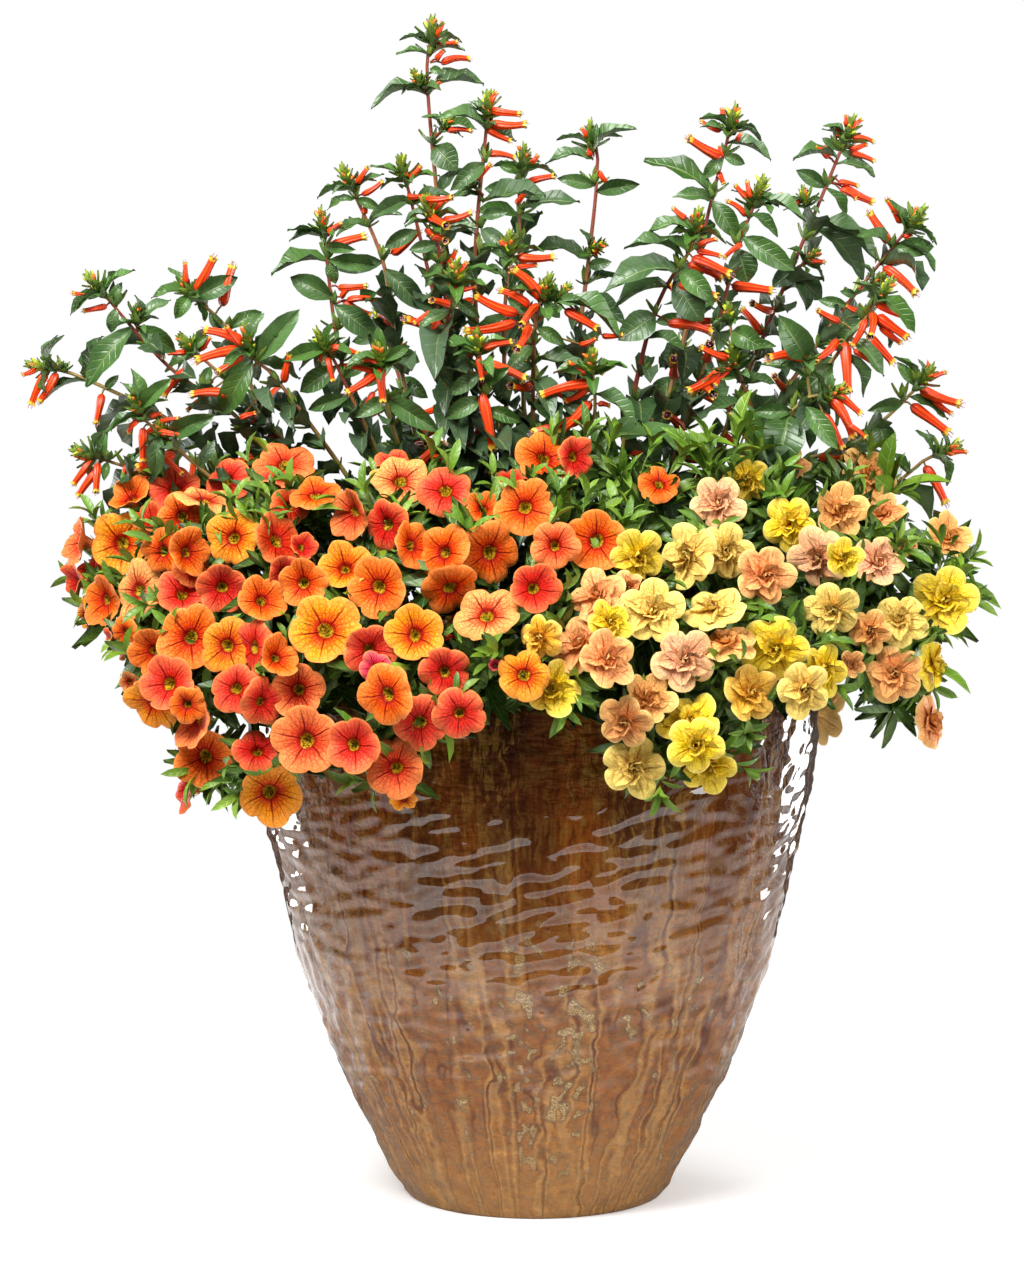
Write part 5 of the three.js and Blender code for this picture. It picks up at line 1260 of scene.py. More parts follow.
def sheet(
    lengthwise: int,
    across: int,
    outline: Callable[[float], float],
    lift: Callable[[float, float], float],
    thickness: float,
    root: float = 0.0,
) -> Shape:
    """A closed leaf or petal: a grid bent to its outline, with a second skin under it joined at the rim.

    Args:
        lengthwise: the grid's steps from foot to tip.
        across: the grid's steps from side to side.
        outline: the half width at a share of the length.
        lift: the height at a share of the length and of the half width.
        thickness: how far the second skin lies under the first.
        root: where the pattern's length starts, as a share.

    Returns:
        The shape, one long.
    """
    bm = bmesh.new()
    place = bm.verts.layers.float_vector.new("place")
    bmesh.ops.create_grid(bm, x_segments=lengthwise, y_segments=across, size=0.5)
    for vert in bm.verts:
        u = vert.co.x + 0.5
        v = vert.co.y * 2
        vert[place] = (root + (1 - root) * u, v, 0.0)
    under = bmesh.ops.duplicate(bm, geom=bm.verts[:] + bm.edges[:] + bm.faces[:])["geom"]
    bmesh.ops.reverse_faces(bm, faces=[item for item in under if isinstance(item, bmesh.types.BMFace)])
    low = {item for item in under if isinstance(item, bmesh.types.BMVert)}
    for vert in bm.verts:
        u = vert.co.x + 0.5
        v = vert.co.y * 2
        inside = RIM < u < 1 - RIM and abs(v) < 1 - RIM
        drop = thickness if vert in low and inside else 0.0
        if vert in low and inside:
            vert[place].z = 1.0
        vert.co = (u, v * outline(u), lift(u, v) - drop)
    bmesh.ops.remove_doubles(bm, verts=bm.verts, dist=1e-5)
    return Shape.read(bm)


def turned(
    profile: Sequence[tuple[float, float]],
    steps: int,
    marks: Sequence[float] | None = None,
) -> Shape:
    """A closed shape spun about x from a profile.

    Args:
        profile: place along x and radius of each row, both ends on the axis.
        steps: the number of sides.
        marks: the pattern's length at each row, or None for the share of rows passed.

    Returns:
        The shape. Its pattern runs along the profile and once round.
    """
    bm = bmesh.new()
    place = bm.verts.layers.float_vector.new("place")
    rows = []
    for i, (along, radius) in enumerate(profile):
        vert = bm.verts.new((along, radius, 0.0))
        mark = marks[i] if marks else i / (len(profile) - 1)
        vert[place] = (mark, 0.0, 0.0)
        rows.append(vert)
    edges = [bm.edges.new(pair) for pair in zip(rows, rows[1:])]
    bmesh.ops.spin(
        bm, geom=rows + edges, axis=(1, 0, 0), cent=(0, 0, 0), steps=steps,
        angle=2 * math.pi, use_merge=True,
    )
    bmesh.ops.remove_doubles(bm, verts=bm.verts, dist=1e-6)
    bmesh.ops.recalc_face_normals(bm, faces=bm.faces)
    for vert in bm.verts:
        vert[place].y = math.atan2(vert.co.z, vert.co.y) / math.pi
    return Shape.read(bm)


class Bunch:
    """Gathers copies of shapes and canes, and writes them as one piece."""

    sharp = math.radians(75)
    cane_tint = 0.5

    def __init__(self, name: str, finishes: Sequence[bpy.types.Material]) -> None:
        """Starts an empty bunch.

        Args:
            name: the piece's name.
            finishes: its materials, in the order of the shapes' finish numbers.
        """
        self.name = name
        self.finishes = list(finishes)
        self.shapes: list[Shape] = []
        self.tints: list[np.ndarray] = []
        self.canes: list[tuple[np.ndarray, np.ndarray, int, int]] = []

    def add(
        self,
        shape: Shape,
        axes: np.ndarray,
        origin: np.ndarray,
        scale: Sequence[float],
        tint: Sequence[float],
    ) -> None:
        """Adds a copy of a shape.

        Args:
            shape: the shape.
            axes: the directions of its x, y and z, one to a row.
            origin: where its origin goes.
            scale: the factors along its x, y and z.
            tint: its own colour.
        """
        self.shapes.append(shape.moved(axes, origin, scale))
        self.tints.append(np.asarray(tint[:3], float))

    def blade(
        self,
        shape: Shape,
        foot: np.ndarray,
        tip: np.ndarray,
        up: np.ndarray,
        width: float,
        tint: Sequence[float],
    ) -> None:
        """Adds a leaf from its foot to its tip.

        Args:
            shape: the leaf's form, one long.
            foot: where it starts.
            tip: where it ends.
            up: the direction to which its upper side looks.
            width: its width.
            tint: its own colour.
        """
        length = float(np.linalg.norm(tip - foot))
        self.add(shape, axes_along(tip - foot, up), foot, (length, width, length), tint)

    def cane(self, points: np.ndarray, radii: Sequence[float] | float, finish: int, rings: int = 0) -> None:
        """Adds a round stem along points.

        Args:
            points: the line, one point to a row.
            radii: the radius at each point, or at both ends as a pair, or one for all.
            finish: the finish number.
            rings: 0 for four sides, and two more for each one above.
        """
        count = len(points)
        radii = np.atleast_1d(np.asarray(radii, float))
        if len(radii) != count:
            radii = np.interp(np.linspace(0, 1, count), np.linspace(0, 1, len(radii)), radii)
        self.canes.append((np.asarray(points, float), radii, finish, rings))

    def cane_shapes(self) -> list[Shape]:
        """Makes the canes from curves with a round bevel.

        Returns:
            A shape for each number of sides in use.
        """
        made = []
        for rings in sorted({cane[3] for cane in self.canes}):
            curve = bpy.data.curves.new(self.name + "_canes", "CURVE")
            curve.dimensions = "3D"
            curve.bevel_depth = 1.0
            curve.bevel_resolution = rings
            curve.use_fill_caps = True
            for finish in self.finishes:
                curve.materials.append(finish)
            for points, radii, finish, sides in self.canes:
                if sides != rings:
                    continue
                spline = curve.splines.new("POLY")
                spline.points.add(len(points) - 1)
                rows = np.concatenate([points, np.ones((len(points), 1))], axis=1)
                spline.points.foreach_set("co", rows.ravel())
                spline.points.foreach_set("radius", radii)
                spline.material_index = finish
                spline.use_smooth = True
            holder = bpy.data.objects.new(self.name + "_canes", curve)
            mesh = bpy.data.meshes.new_from_object(holder)
            bm = bmesh.new()
            bm.from_mesh(mesh)
            bm.verts.layers.float_vector.new("place")
            bmesh.ops.remove_doubles(bm, verts=bm.verts, dist=1e-4)
            made.append(Shape.read(bm))
            bpy.data.objects.remove(holder)
            bpy.data.curves.remove(curve)
            bpy.data.meshes.remove(mesh)
        return made

    def piece(self, replaced: Sequence[str], slot: str) -> bpy.types.Object:
        """Writes the piece.

        Args:
            replaced: the solids that it stands for.
            slot: the material slot of its finish; it is not used.

        Returns:
            The piece's object, which rides on the root.
        """
        canes = self.cane_shapes()
        whole = Shape.joined(self.shapes + canes)
        counts = [len(shape.corners) for shape in self.shapes]
        own = np.repeat(np.array(self.tints).reshape(-1, 3), counts, axis=0)
        rest = np.full((len(whole.corners) - len(own), 3), self.cane_tint)
        tints = np.concatenate([own, rest])
        colours = np.concatenate([tints, whole.undersides[:, None]], axis=1).astype(np.float32)
        mesh = bpy.data.meshes.new(self.name)
        mesh.vertices.add(len(whole.corners))
        mesh.vertices.foreach_set("co", (whole.corners * MM).astype(np.float32).ravel())
        mesh.loops.add(len(whole.loops))
        mesh.loops.foreach_set("vertex_index", whole.loops)
        mesh.polygons.add(len(whole.totals))
        starts = np.concatenate([[0], np.cumsum(whole.totals)[:-1]]).astype(np.int32)
        mesh.polygons.foreach_set("loop_start", starts)
        mesh.polygons.foreach_set("material_index", whole.finishes)
        mesh.polygons.foreach_set("use_smooth", np.ones(len(whole.totals), bool))
        uv = mesh.uv_layers.new(name="place")
        uv.data.foreach_set("uv", whole.places[whole.loops].astype(np.float32).ravel())
        tint = mesh.color_attributes.new(name="tint", type="FLOAT_COLOR", domain="POINT")
        tint.data.foreach_set("color", colours.ravel())
        mesh.update(calc_edges=True)
        mesh.validate()
        mesh.set_sharp_from_angle(angle=self.sharp)
        for finish in self.finishes:
            mesh.materials.append(finish)
        return seated(shown(self.name, mesh), replaced)


def seated(piece: bpy.types.Object, replaced: Sequence[str]) -> bpy.types.Object:
    """Lets a piece ride on the root and stand for solids.

    Args:
        piece: the piece's object.
        replaced: the solids that it stands for.

    Returns:
        The same object.
    """
    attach(piece, ROOT_BODY)
    if replaced:
        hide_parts(*replaced)
    mesh = piece.data
    mesh.calc_loop_triangles()
    LOG.info("%s: %d triangles", piece.name, len(mesh.loop_triangles))
    return piece


def axes_along(axis: np.ndarray, up: np.ndarray) -> np.ndarray:
    """A frame whose x lies along an axis and whose z is as near as it can be to up.

    Args:
        axis: the direction of x.
        up: the direction that z leans to.

    Returns:
        The directions of x, y and z, one to a row.
    """
    x = unit(axis)
    y = np.cross(up, x)
    if np.linalg.norm(y) < 1e-4:
        y = np.cross(np.array([0.3, 0.5, 0.8]), x)
    y = unit(y)
    return np.array([x, y, np.cross(x, y)])


def about(vector: np.ndarray, axis: np.ndarray, angle: float) -> np.ndarray:
    """A vector turned about an axis.

    Args:
        vector: the vector.
        axis: the axis, of any length.
        angle: the angle in radians.

    Returns:
        The turned vector.
    """
    axis = unit(axis)
    turned_part = vector * math.cos(angle) + np.cross(axis, vector) * math.sin(angle)
    return turned_part + axis * (axis @ vector) * (1 - math.cos(angle))


class Value:
    """An output of a shader node on which sums can be written."""

    def __init__(self, recipe: "Recipe", socket: bpy.types.NodeSocket) -> None:
        """Wraps a socket of a recipe."""
        self.recipe = recipe
        self.socket = socket

    def _sum(self, operation: str, *others: "Value | float") -> "Value":
        """A Math node on this value and others."""
        settings = {"operation": operation}
        return self.recipe.make("ShaderNodeMath", settings, dict(enumerate((self, *others))))

    def __add__(self, other: "Value | float") -> "Value":
        """The sum."""
        return self._sum("ADD", other)

    __radd__ = __add__

    def __sub__(self, other: "Value | float") -> "Value":
        """The difference."""
        return self._sum("SUBTRACT", other)

    def __rsub__(self, other: float) -> "Value":
        """The difference from a number."""
        return self.recipe.make("ShaderNodeMath", {"operation": "SUBTRACT"}, {0: other, 1: self})

    def __mul__(self, other: "Value | float") -> "Value":
        """The product."""
        return self._sum("MULTIPLY", other)

    __rmul__ = __mul__

    def __truediv__(self, other: "Value | float") -> "Value":
        """The quotient."""
        return self._sum("DIVIDE", other)

    def __pow__(self, other: "Value | float") -> "Value":
        """The power."""
        return self._sum("POWER", other)

    def high(self, other: "Value | float") -> "Value":
        """The higher of two values."""
        return self._sum("MAXIMUM", other)

    def size(self) -> "Value":
        """The value without its sign."""
        return self._sum("ABSOLUTE")

    def wave(self) -> "Value":
        """The sine."""
        return self._sum("SINE")

    def rest(self) -> "Value":
        """What is left above the whole number."""
        return self._sum("FRACT")

    def between(self, low: float, high: float) -> "Value":
        """A soft step from 0 at one limit to 1 at the other."""
        settings = {"interpolation_type": "SMOOTHSTEP", "clamp": True}
        return self.recipe.make("ShaderNodeMapRange", settings, {0: self, 1: low, 2: high, 3: 0.0, 4: 1.0})


class Recipe:
    """The node tree of one material."""

    def __init__(self, name: str) -> None:
        """Starts a material with its surface shader.

        Args:
            name: the material's name.
        """
        self.material = bpy.data.materials.new(name)
        self.material.use_nodes = True
        self.tree = self.material.node_tree
        self.shader = self.tree.nodes["Principled BSDF"]

    def make(self, kind: str, settings: dict, inputs: dict, output: int | str = 0) -> Value:
        """Makes any node.

        Args:
            kind: the node's type.
            settings: its own settings, which are set first.
            inputs: values or links of its sockets, by number or name.
            output: the socket that is handed on.

        Returns:
            The output.
        """
        node = self.tree.nodes.new(kind)
        for key, value in settings.items():
            setattr(node, key, value)
        for key, value in inputs.items():
            self.put(node.inputs[key], value)
        return Value(self, node.outputs[output])

    def put(self, socket: bpy.types.NodeSocket, value: "Value | float | Sequence[float]") -> None:
        """Links a value to a socket, or sets the socket.

        Args:
            socket: the socket.
            value: a link, a number or the numbers of a colour or vector.
        """
        if isinstance(value, Value):
            self.tree.links.new(value.socket, socket)
        else:
            socket.default_value = value

    def surface(self, **sockets: "Value | float | Sequence[float]") -> bpy.types.Material:
        """Sets the surface shader and hands over the material.

        Args:
            sockets: values or links by socket name, with _ for a blank.

        Returns:
            The material.
        """
        for key, value in sockets.items():
            self.put(self.shader.inputs[key.replace("_", " ")], value)
        return self.material

    def object_place(self) -> Value:
        """The point's place in the planting, in metres."""
        return self.make("ShaderNodeTexCoord", {}, {}, "Object")

    def pattern(self) -> tuple[Value, Value]:
        """The two numbers of the pattern's place."""
        place = self.make("ShaderNodeUVMap", {"uv_map": "place"}, {})
        parts = self.make("ShaderNodeSeparateXYZ", {}, {0: place})
        return parts, Value(self, parts.socket.node.outputs[1])

    def parts(self, vector: Value) -> tuple[Value, Value, Value]:
        """The three numbers of a vector."""
        split = self.make("ShaderNodeSeparateXYZ", {}, {0: vector})
        outputs = split.socket.node.outputs
        return split, Value(self, outputs[1]), Value(self, outputs[2])

    def tint(self) -> tuple[Value, Value]:
        """A copy's own colour, and 1 on its underside."""
        colour = self.make("ShaderNodeAttribute", {"attribute_name": "tint"}, {}, "Color")
        return colour, Value(self, colour.socket.node.outputs["Alpha"])

    def vector(self, x: "Value | float", y: "Value | float", z: "Value | float") -> Value:
        """A vector of three numbers."""
        return self.make("ShaderNodeCombineXYZ", {}, {0: x, 1: y, 2: z})

    def noise(self, place: Value, scale: float, detail: float = 3.0, rough: float = 0.5) -> Value:
        """Soft noise from 0 to 1."""
        inputs = {"Vector": place, "Scale": scale, "Detail": detail, "Roughness": rough}
        return self.make("ShaderNodeTexNoise", {"noise_dimensions": "3D"}, inputs, 0)

    def cells(self, place: Value, scale: float, feature: str = "F1") -> Value:
        """The distance in a pattern of cells."""
        inputs = {"Vector": place, "Scale": scale}
        return self.make("ShaderNodeTexVoronoi", {"feature": feature}, inputs, "Distance")

    def stretched(self, place: Value, scale: Sequence[float]) -> Value:
        """A place with each axis scaled."""
        return self.make("ShaderNodeMapping", {}, {"Vector": place, "Scale": scale})

    def mix(self, share: "Value | float", first: object, second: object, blend: str = "MIX") -> Value:
        """Two colours mixed by a share.

        Args:
            share: the part of the second, from 0 to 1.
            first: a colour or a link.
            second: a colour or a link.
            blend: how they are mixed.

        Returns:
            The colour.
        """
        settings = {"data_type": "RGBA", "blend_type": blend, "clamp_factor": True}
        return self.make("ShaderNodeMix", settings, {0: share, 6: first, 7: second}, 2)

    def layers(self, base: "Value", *coats: tuple["Value", str]) -> Value:
        """A colour with coats of others over it.

        Args:
            base: the colour under them.
            coats: the share and the colour's code of each, the lowest first.

        Returns:
            The colour.
        """
        for share, code in coats:
            base = self.mix(share, base, linear(code))
        return base

    def bump(self, height: Value, distance: float, strength: float = 1.0) -> Value:
        """A normal bent by a height."""
        return self.make("ShaderNodeBump", {}, {"Strength": strength, "Distance": distance, "Height": height})


@dataclass(frozen=True)
class LeafFinish:
    """A leaf's skin: a pale midrib and side veins on its own green, duller and paler underneath."""

    name: str
    rib: str
    underside: str
    vein_pairs: float
    vein_strength: float
    roughness: float
    gloss: float = 0.6
    lean: float = 0.55
    shadow: tuple = (0.3, 0.38, 0.36, 1.0)

    def material(self) -> bpy.types.Material:
        """Makes the material.

        Returns:
            The material.
        """
        recipe = Recipe(self.name)
        along, across = recipe.pattern()
        colour, under = recipe.tint()
        away = across.size()
        rib = 1 - away.between(0.02, 0.1)
        rows = (along - away * self.lean * 0.3) * self.vein_pairs
        stripe = (rows.rest() - 0.5).size()
        side = (1 - stripe.between(0.0, 0.16)) * (1 - away.between(0.75, 1.0))
        place = recipe.object_place()
        patches = recipe.noise(place, 60.0, 3.0)
        grain = recipe.noise(place, 420.0, 2.0)
        final = recipe.layers(
            recipe.mix(patches.between(0.35, 0.7) * 0.5, colour, self.shadow, "MULTIPLY"),
            (grain.between(0.5, 0.8) * 0.10, self.rib),
            (side * self.vein_strength, self.rib),
            (rib * (self.vein_strength + 0.35), self.rib),
            (under * 0.5, self.underside),
        )
        pillows = (1 - rib) * (1 - side * 0.7) + grain * 0.3
        return recipe.surface(
            Base_Color=final,
            Roughness=self.roughness + patches * 0.14,
            Normal=recipe.bump(pillows, 0.0005, 0.6),
            Specular_IOR_Level=self.gloss,
        )


@dataclass(frozen=True)
class BarkFinish:
    """A stem's skin: brown-red above, olive and tan towards its foot, with fine long streaks."""

    name: str
    high: str
    low: str
    turn_low: float
    turn_high: float
    unevenness: float = 0.0
    roughness: float = 0.55
    streak: tuple = (0.35, 0.3, 0.25, 1.0)

    def material(self) -> bpy.types.Material:
        """Makes the material.

        Returns:
            The material.
        """
        recipe = Recipe(self.name)
        place = recipe.object_place()
        _, _, level = recipe.parts(place)
        streaks = recipe.noise(recipe.stretched(place, (1.0, 1.0, 0.15)), 900.0, 3.0)
        blotches = recipe.noise(place, 90.0, 3.0)
        patches = recipe.noise(recipe.stretched(place, (1.0, 1.0, 0.3)), 14.0, 2.0)
        turn = level + (blotches - 0.5) * 0.08 + (patches - 0.5) * self.unevenness
        share = turn.between(self.turn_low, self.turn_high)
        colour = recipe.mix(share, linear(self.low), linear(self.high))
        colour = recipe.mix(streaks.between(0.4, 0.75) * 0.5, colour, self.streak, "MULTIPLY")
        return recipe.surface(
            Base_Color=colour,
            Roughness=self.roughness,
            Normal=recipe.bump(streaks, 0.0006, 0.6),
        )


@dataclass(frozen=True)
class TubeFinish:
    """A tube flower's skin, along its length: orange-red, a yellow-green mouth, a dark heart."""

    name: str = "tube_flower_red"
    rib: str = "FF6A1C"
    patch: str = "C81E08"
    low: str = "D83A16"
    mouth: str = "F2C23A"
    heart: str = "5A0E3A"
    foot: str = "9A5A2A"
    ribs: int = 6
    roughness: float = 0.38

    def material(self) -> bpy.types.Material:
        """Makes the material.

        Returns:
            The material.
        """
        recipe = Recipe(self.name)
        along, round_ = recipe.pattern()
        colour, _ = recipe.tint()
        ribs = (round_ * (self.ribs * math.pi)).wave() * 0.5 + 0.5
        patches = recipe.noise(recipe.object_place(), 260.0, 2.0)
        colour = recipe.layers(
            colour,
            (ribs * 0.4, self.rib),
            (patches.between(0.5, 0.8) * 0.35, self.patch),
            (1 - along.between(0.02, 0.22), self.low),
            (along.between(0.83, 0.91), self.mouth),
            (along.between(0.955, 0.975), self.heart),
            (1 - along.between(0.0, 0.06), self.foot),
        )
        return recipe.surface(
            Base_Color=colour,
            Roughness=self.roughness,
            Normal=recipe.bump(ribs, 0.0006, 0.8),
        )


@dataclass(frozen=True)
class PlainFinish:
    """A small part's skin that takes its copies' own colours, with fine mottling."""

    name: str
    shade: str
    roughness: float = 0.5
    grain: float = 500.0
    share: float = 0.0

    def material(self) -> bpy.types.Material:
        """Makes the material.

        Returns:
            The material.
        """
        recipe = Recipe(self.name)
        colour, _ = recipe.tint()
        place = recipe.object_place()
        mottling = recipe.noise(place, self.grain, 3.0)
        mixed = mottling.between(0.4, 0.75) * 0.4 + self.share
        final = recipe.mix(mixed, colour, linear(self.shade))
        return recipe.surface(
            Base_Color=final,
            Roughness=self.roughness,
            Normal=recipe.bump(mottling, 0.0004, 0.4),
        )


@dataclass(frozen=True)
class PetalFinish:
    """A bloom's skin: a deep glow round the throat, fine veins all over, a strong one to each lobe, and
    painted shade deep in the throat.
    """

    name: str
    vein: str
    rim: str
    rim_share: float
    throat: str
    throat_reach: float
    # heart colours the dark flecks in the throat and also the painted shade in its depth
    heart: str
    ring: str
    ring_reach: float
    ring_share: float
    vein_strength: float
    lobes: int = 5
    cloud: tuple = (0.86, 0.62, 0.5, 1.0)
    speck: tuple = (0.8, 0.55, 0.45, 1.0)
    roughness: float = 0.5
    gloss: float = 0.12

    def material(self) -> bpy.types.Material:
        """Makes the material.

        Returns:
            The material.
        """
        recipe = Recipe(self.name)
        x, y = recipe.pattern()
        colour, under = recipe.tint()
        reach = (x * x + y * y) ** 0.5
        angle = recipe.make("ShaderNodeMath", {"operation": "ARCTAN2"}, {0: y, 1: x})
        place = recipe.object_place()
        warp = recipe.noise(place, 150.0, 3.0) - 0.5
        lobe = (angle * (self.lobes / 2) + warp * 0.3).wave().size()
        main = (1 - (lobe * (reach + 0.1)).between(0.02, 0.1)) * (1 - reach.between(0.35, 0.95) * 0.85)
        fine_phase = angle * (self.lobes * 2.5) + warp * 5.0
        fine = 1 - (fine_phase.wave().size() * (reach + 0.2)).between(0.02, 0.4)
        net = 1 - recipe.cells(recipe.vector(x, y, 0.0), 9.0, "DISTANCE_TO_EDGE").between(0.0, 0.09)
        soft = recipe.noise(place, 75.0, 2.0)
        grain = recipe.noise(place, 700.0, 2.0)
        edge = (reach + (soft - 0.5) * 0.7).between(0.4, 1.0)
        base = recipe.layers(colour, (edge * self.rim_share, self.rim))
        base = recipe.mix(soft.between(0.45, 0.75) * 0.3, base, self.cloud, "MULTIPLY")
        base = recipe.mix(grain.between(0.35, 0.8) * 0.2, base, self.speck, "MULTIPLY")
        # On double blooms this ring also darkens the bases of the inner petals, as painted shade between the
        # whorls.
        glow = 1 - (reach + warp * 0.3).between(self.throat_reach, self.ring_reach)
        thin = fine.high(net) * (1 - reach.between(0.5, 1.05) * 0.6)
        off_lip = (reach - self.throat_reach * 1.1 + warp * 0.1).size()
        base = recipe.layers(
            base,
            (glow * self.ring_share, self.ring),
            (thin * self.vein_strength * 0.65, self.vein),
            (main * self.vein_strength, self.vein),
            ((1 - off_lip.between(0.0, self.throat_reach * 0.45)) * 0.85, self.vein),
            (reach.between(0.88, 1.0) * (1 - under) * 0.35, self.rim),
        )
        mouth = 1 - (reach + warp * 0.3).between(self.throat_reach * 0.75, self.throat_reach)
        lumps = recipe.mix(grain.between(0.4, 0.55), linear(self.heart), linear(self.throat))
        # painted shade: the heart's dark colour darkens the depth of the throat
        deep = 1 - (reach + warp * 0.2).between(self.throat_reach * 0.1, self.throat_reach * 0.6)
        final = recipe.layers(
            recipe.mix(mouth, base, lumps),
            (deep * 0.45, self.heart),
            (under * 0.4, self.rim),
        )
        height = (1 - main) + (1 - thin) * 0.35 + grain * 0.2
        return recipe.surface(
            Base_Color=final,
            Roughness=self.roughness,
            Normal=recipe.bump(height, 0.0008, 1.0),
            Specular_IOR_Level=self.gloss,
        )


@dataclass(frozen=True)
class GlazeFinish:
    """The pot's glaze: dark amber above, tan below, with rust runs, pale crystals and a clear coat."""

    name: str = "pot_glaze"
    dark: str = "3E1802"
    amber: str = "864408"
    olive: str = "8A6226"
    tan: str = "9C6024"
    pale: str = "B88A4E"
    cream: str = "C49A60"
    brown: str = "784618"
    rust: str = "56240C"
    red: str = "8A4A24"
    grey: str = "74593E"
    crack: str = "4A3620"
    crystal: str = "D4B078"
    turn_low: float = 0.14
    turn_high: float = 0.285
    sway: float = 0.09
    pit: tuple = (0.02, 0.012, 0.006, 1.0)
    dust: tuple = (0.45, 0.36, 0.28, 1.0)

    def material(self) -> bpy.types.Material:
        """Makes the material.

        Returns:
            The material.
        """
        recipe = Recipe(self.name)
        place = recipe.object_place()
        x, y, level = recipe.parts(place)
        girth = (x * x + y * y) ** 0.5
        sway = (recipe.noise(place, 42.0, 3.0) - 0.5) * self.sway
        round_x = x / girth + sway
        round_y = y / girth + sway
        threads = recipe.noise(recipe.vector(round_x, round_y, level * 0.9), 55.0, 3.0, 0.6)
        clouds = recipe.noise(place, 90.0, 4.0, 0.6)
        smooth_runs = recipe.noise(recipe.vector(round_x, round_y, level * 0.6), 6.5, 1.0, 0.4)
        runs = smooth_runs + (clouds - 0.5) * 0.02
        blots = recipe.noise(recipe.vector(round_x, round_y, level * 7.0), 16.0, 5.0, 0.65)
        rows = recipe.noise(recipe.vector(round_x, round_y, level * 15.0), 19.0, 2.0, 0.5)
        wide = recipe.noise(recipe.stretched(place, (1.0, 1.0, 0.35)), 15.0, 3.0)
        grain = recipe.noise(place, 520.0, 3.0, 0.7)
        high = recipe.layers(
            recipe.mix(wide.between(0.42, 0.62), linear(self.dark), linear(self.amber)),
            (threads.between(0.48, 0.62) * 0.8, self.olive),
            ((1 - threads.between(0.36, 0.46)) * 0.6, self.dark),
            (runs.between(0.52, 0.60) * 0.5, self.dark),
            (clouds.between(0.58, 0.72) * 0.4, self.olive),
        )
        fade = recipe.noise(place, 34.0, 2.0).between(0.4, 0.6)
        off_line = (runs - 0.47).size()
        edge = (1 - off_line.between(0.0, 0.03)) * (fade * 0.6 + 0.4)
        other = (1 - (runs - 0.57).size().between(0.0, 0.025)) * (1 - fade * 0.7)
        ridge = off_line.between(0.02, 0.04) * (1 - off_line.between(0.045, 0.08)) * 0.35
        low = recipe.layers(
            recipe.mix(blots.between(0.3, 0.55), linear(self.brown), linear(self.tan)),
            (blots.between(0.48, 0.7) * 0.5, self.pale),
            (threads.between(0.46, 0.66) * 0.08, self.pale),
            (clouds.between(0.48, 0.68) * 0.35, self.brown),
            (runs.between(0.5, 0.64) * 0.35, self.red),
            (rows.between(0.48, 0.6) * 0.5, self.grey),
            (ridge, self.cream),
            (edge.high(other) * 0.8, self.rust),
            ((1 - level.between(0.0, 0.09)) * 0.45, self.pale),
        )
        share = (level + (wide - 0.5) * 0.14 + (runs - 0.5) * 0.12).between(self.turn_low, self.turn_high)
        band = (level + (wide - 0.5) * 0.1).between(0.01, 0.06) * (1 - level.between(0.15, 0.23))
        patch = recipe.noise(recipe.vector(round_x, round_y, level * 5.5), 19.0, 1.0, 0.4)
        column = 1 - ((x / girth - 0.04 + sway).size() - 0.11).size().between(0.05, 0.11)
        crystal = (patch + (grain - 0.5) * 0.08 + column * 0.13).between(0.69, 0.73) * band
        crack = 1 - recipe.cells(place, 620.0, "DISTANCE_TO_EDGE").between(0.02, 0.14)
        halo = (patch + column * 0.1).between(0.6, 0.64) * (1 - crystal) * band
        pits = 1 - recipe.cells(place, 210.0).between(0.05, 0.12)
        colour = recipe.layers(
            recipe.mix(share, low, high),
            (crystal * 0.8, self.crystal),
            (crystal * crack * 0.5, self.crack),
            (halo * 0.4, self.grey),
        )
        colour = recipe.mix(pits * 0.8 * clouds.between(0.5, 0.6), colour, self.pit)
        colour = recipe.mix(grain.between(0.45, 0.75) * 0.35, colour, self.dust, "MULTIPLY")
        waves = rows * 1.6 + blots - edge * 0.5
        height = smooth_runs * 3.0 + waves + crystal * (1 - crack) + grain * 0.4 - pits
        return recipe.surface(
            Base_Color=colour,
            Roughness=0.34 + crystal * 0.2,
            Normal=recipe.bump(height, 0.002, 1.0),
            Coat_Weight=1.0,
            Coat_IOR=1.7,
            Coat_Roughness=0.03,
            Specular_IOR_Level=0.05,
        )


@dataclass(frozen=True)
class SoilFinish:
    """Moist planting soil with paler bark crumbs."""

    name: str = "planting_soil"
    dark: str = "1D130C"
    brown: str = "4A3424"
    pale: str = "5F4A36"

    def material(self) -> bpy.types.Material:
        """Makes the material.

        Returns:
            The material.
        """
        recipe = Recipe(self.name)
        place = recipe.object_place()
        crumbs = recipe.noise(place, 240.0, 5.0, 0.7)
        lumps = recipe.noise(place, 45.0, 3.0)
        colour = recipe.mix(crumbs.between(0.4, 0.65), linear(self.dark), linear(self.brown))
        colour = recipe.layers(colour, (lumps.between(0.5, 0.75) * 0.4, self.pale))
        return recipe.surface(
            Base_Color=colour,
            Roughness=0.92,
            Normal=recipe.bump(crumbs + lumps * 2.0, 0.002, 0.8),
        )


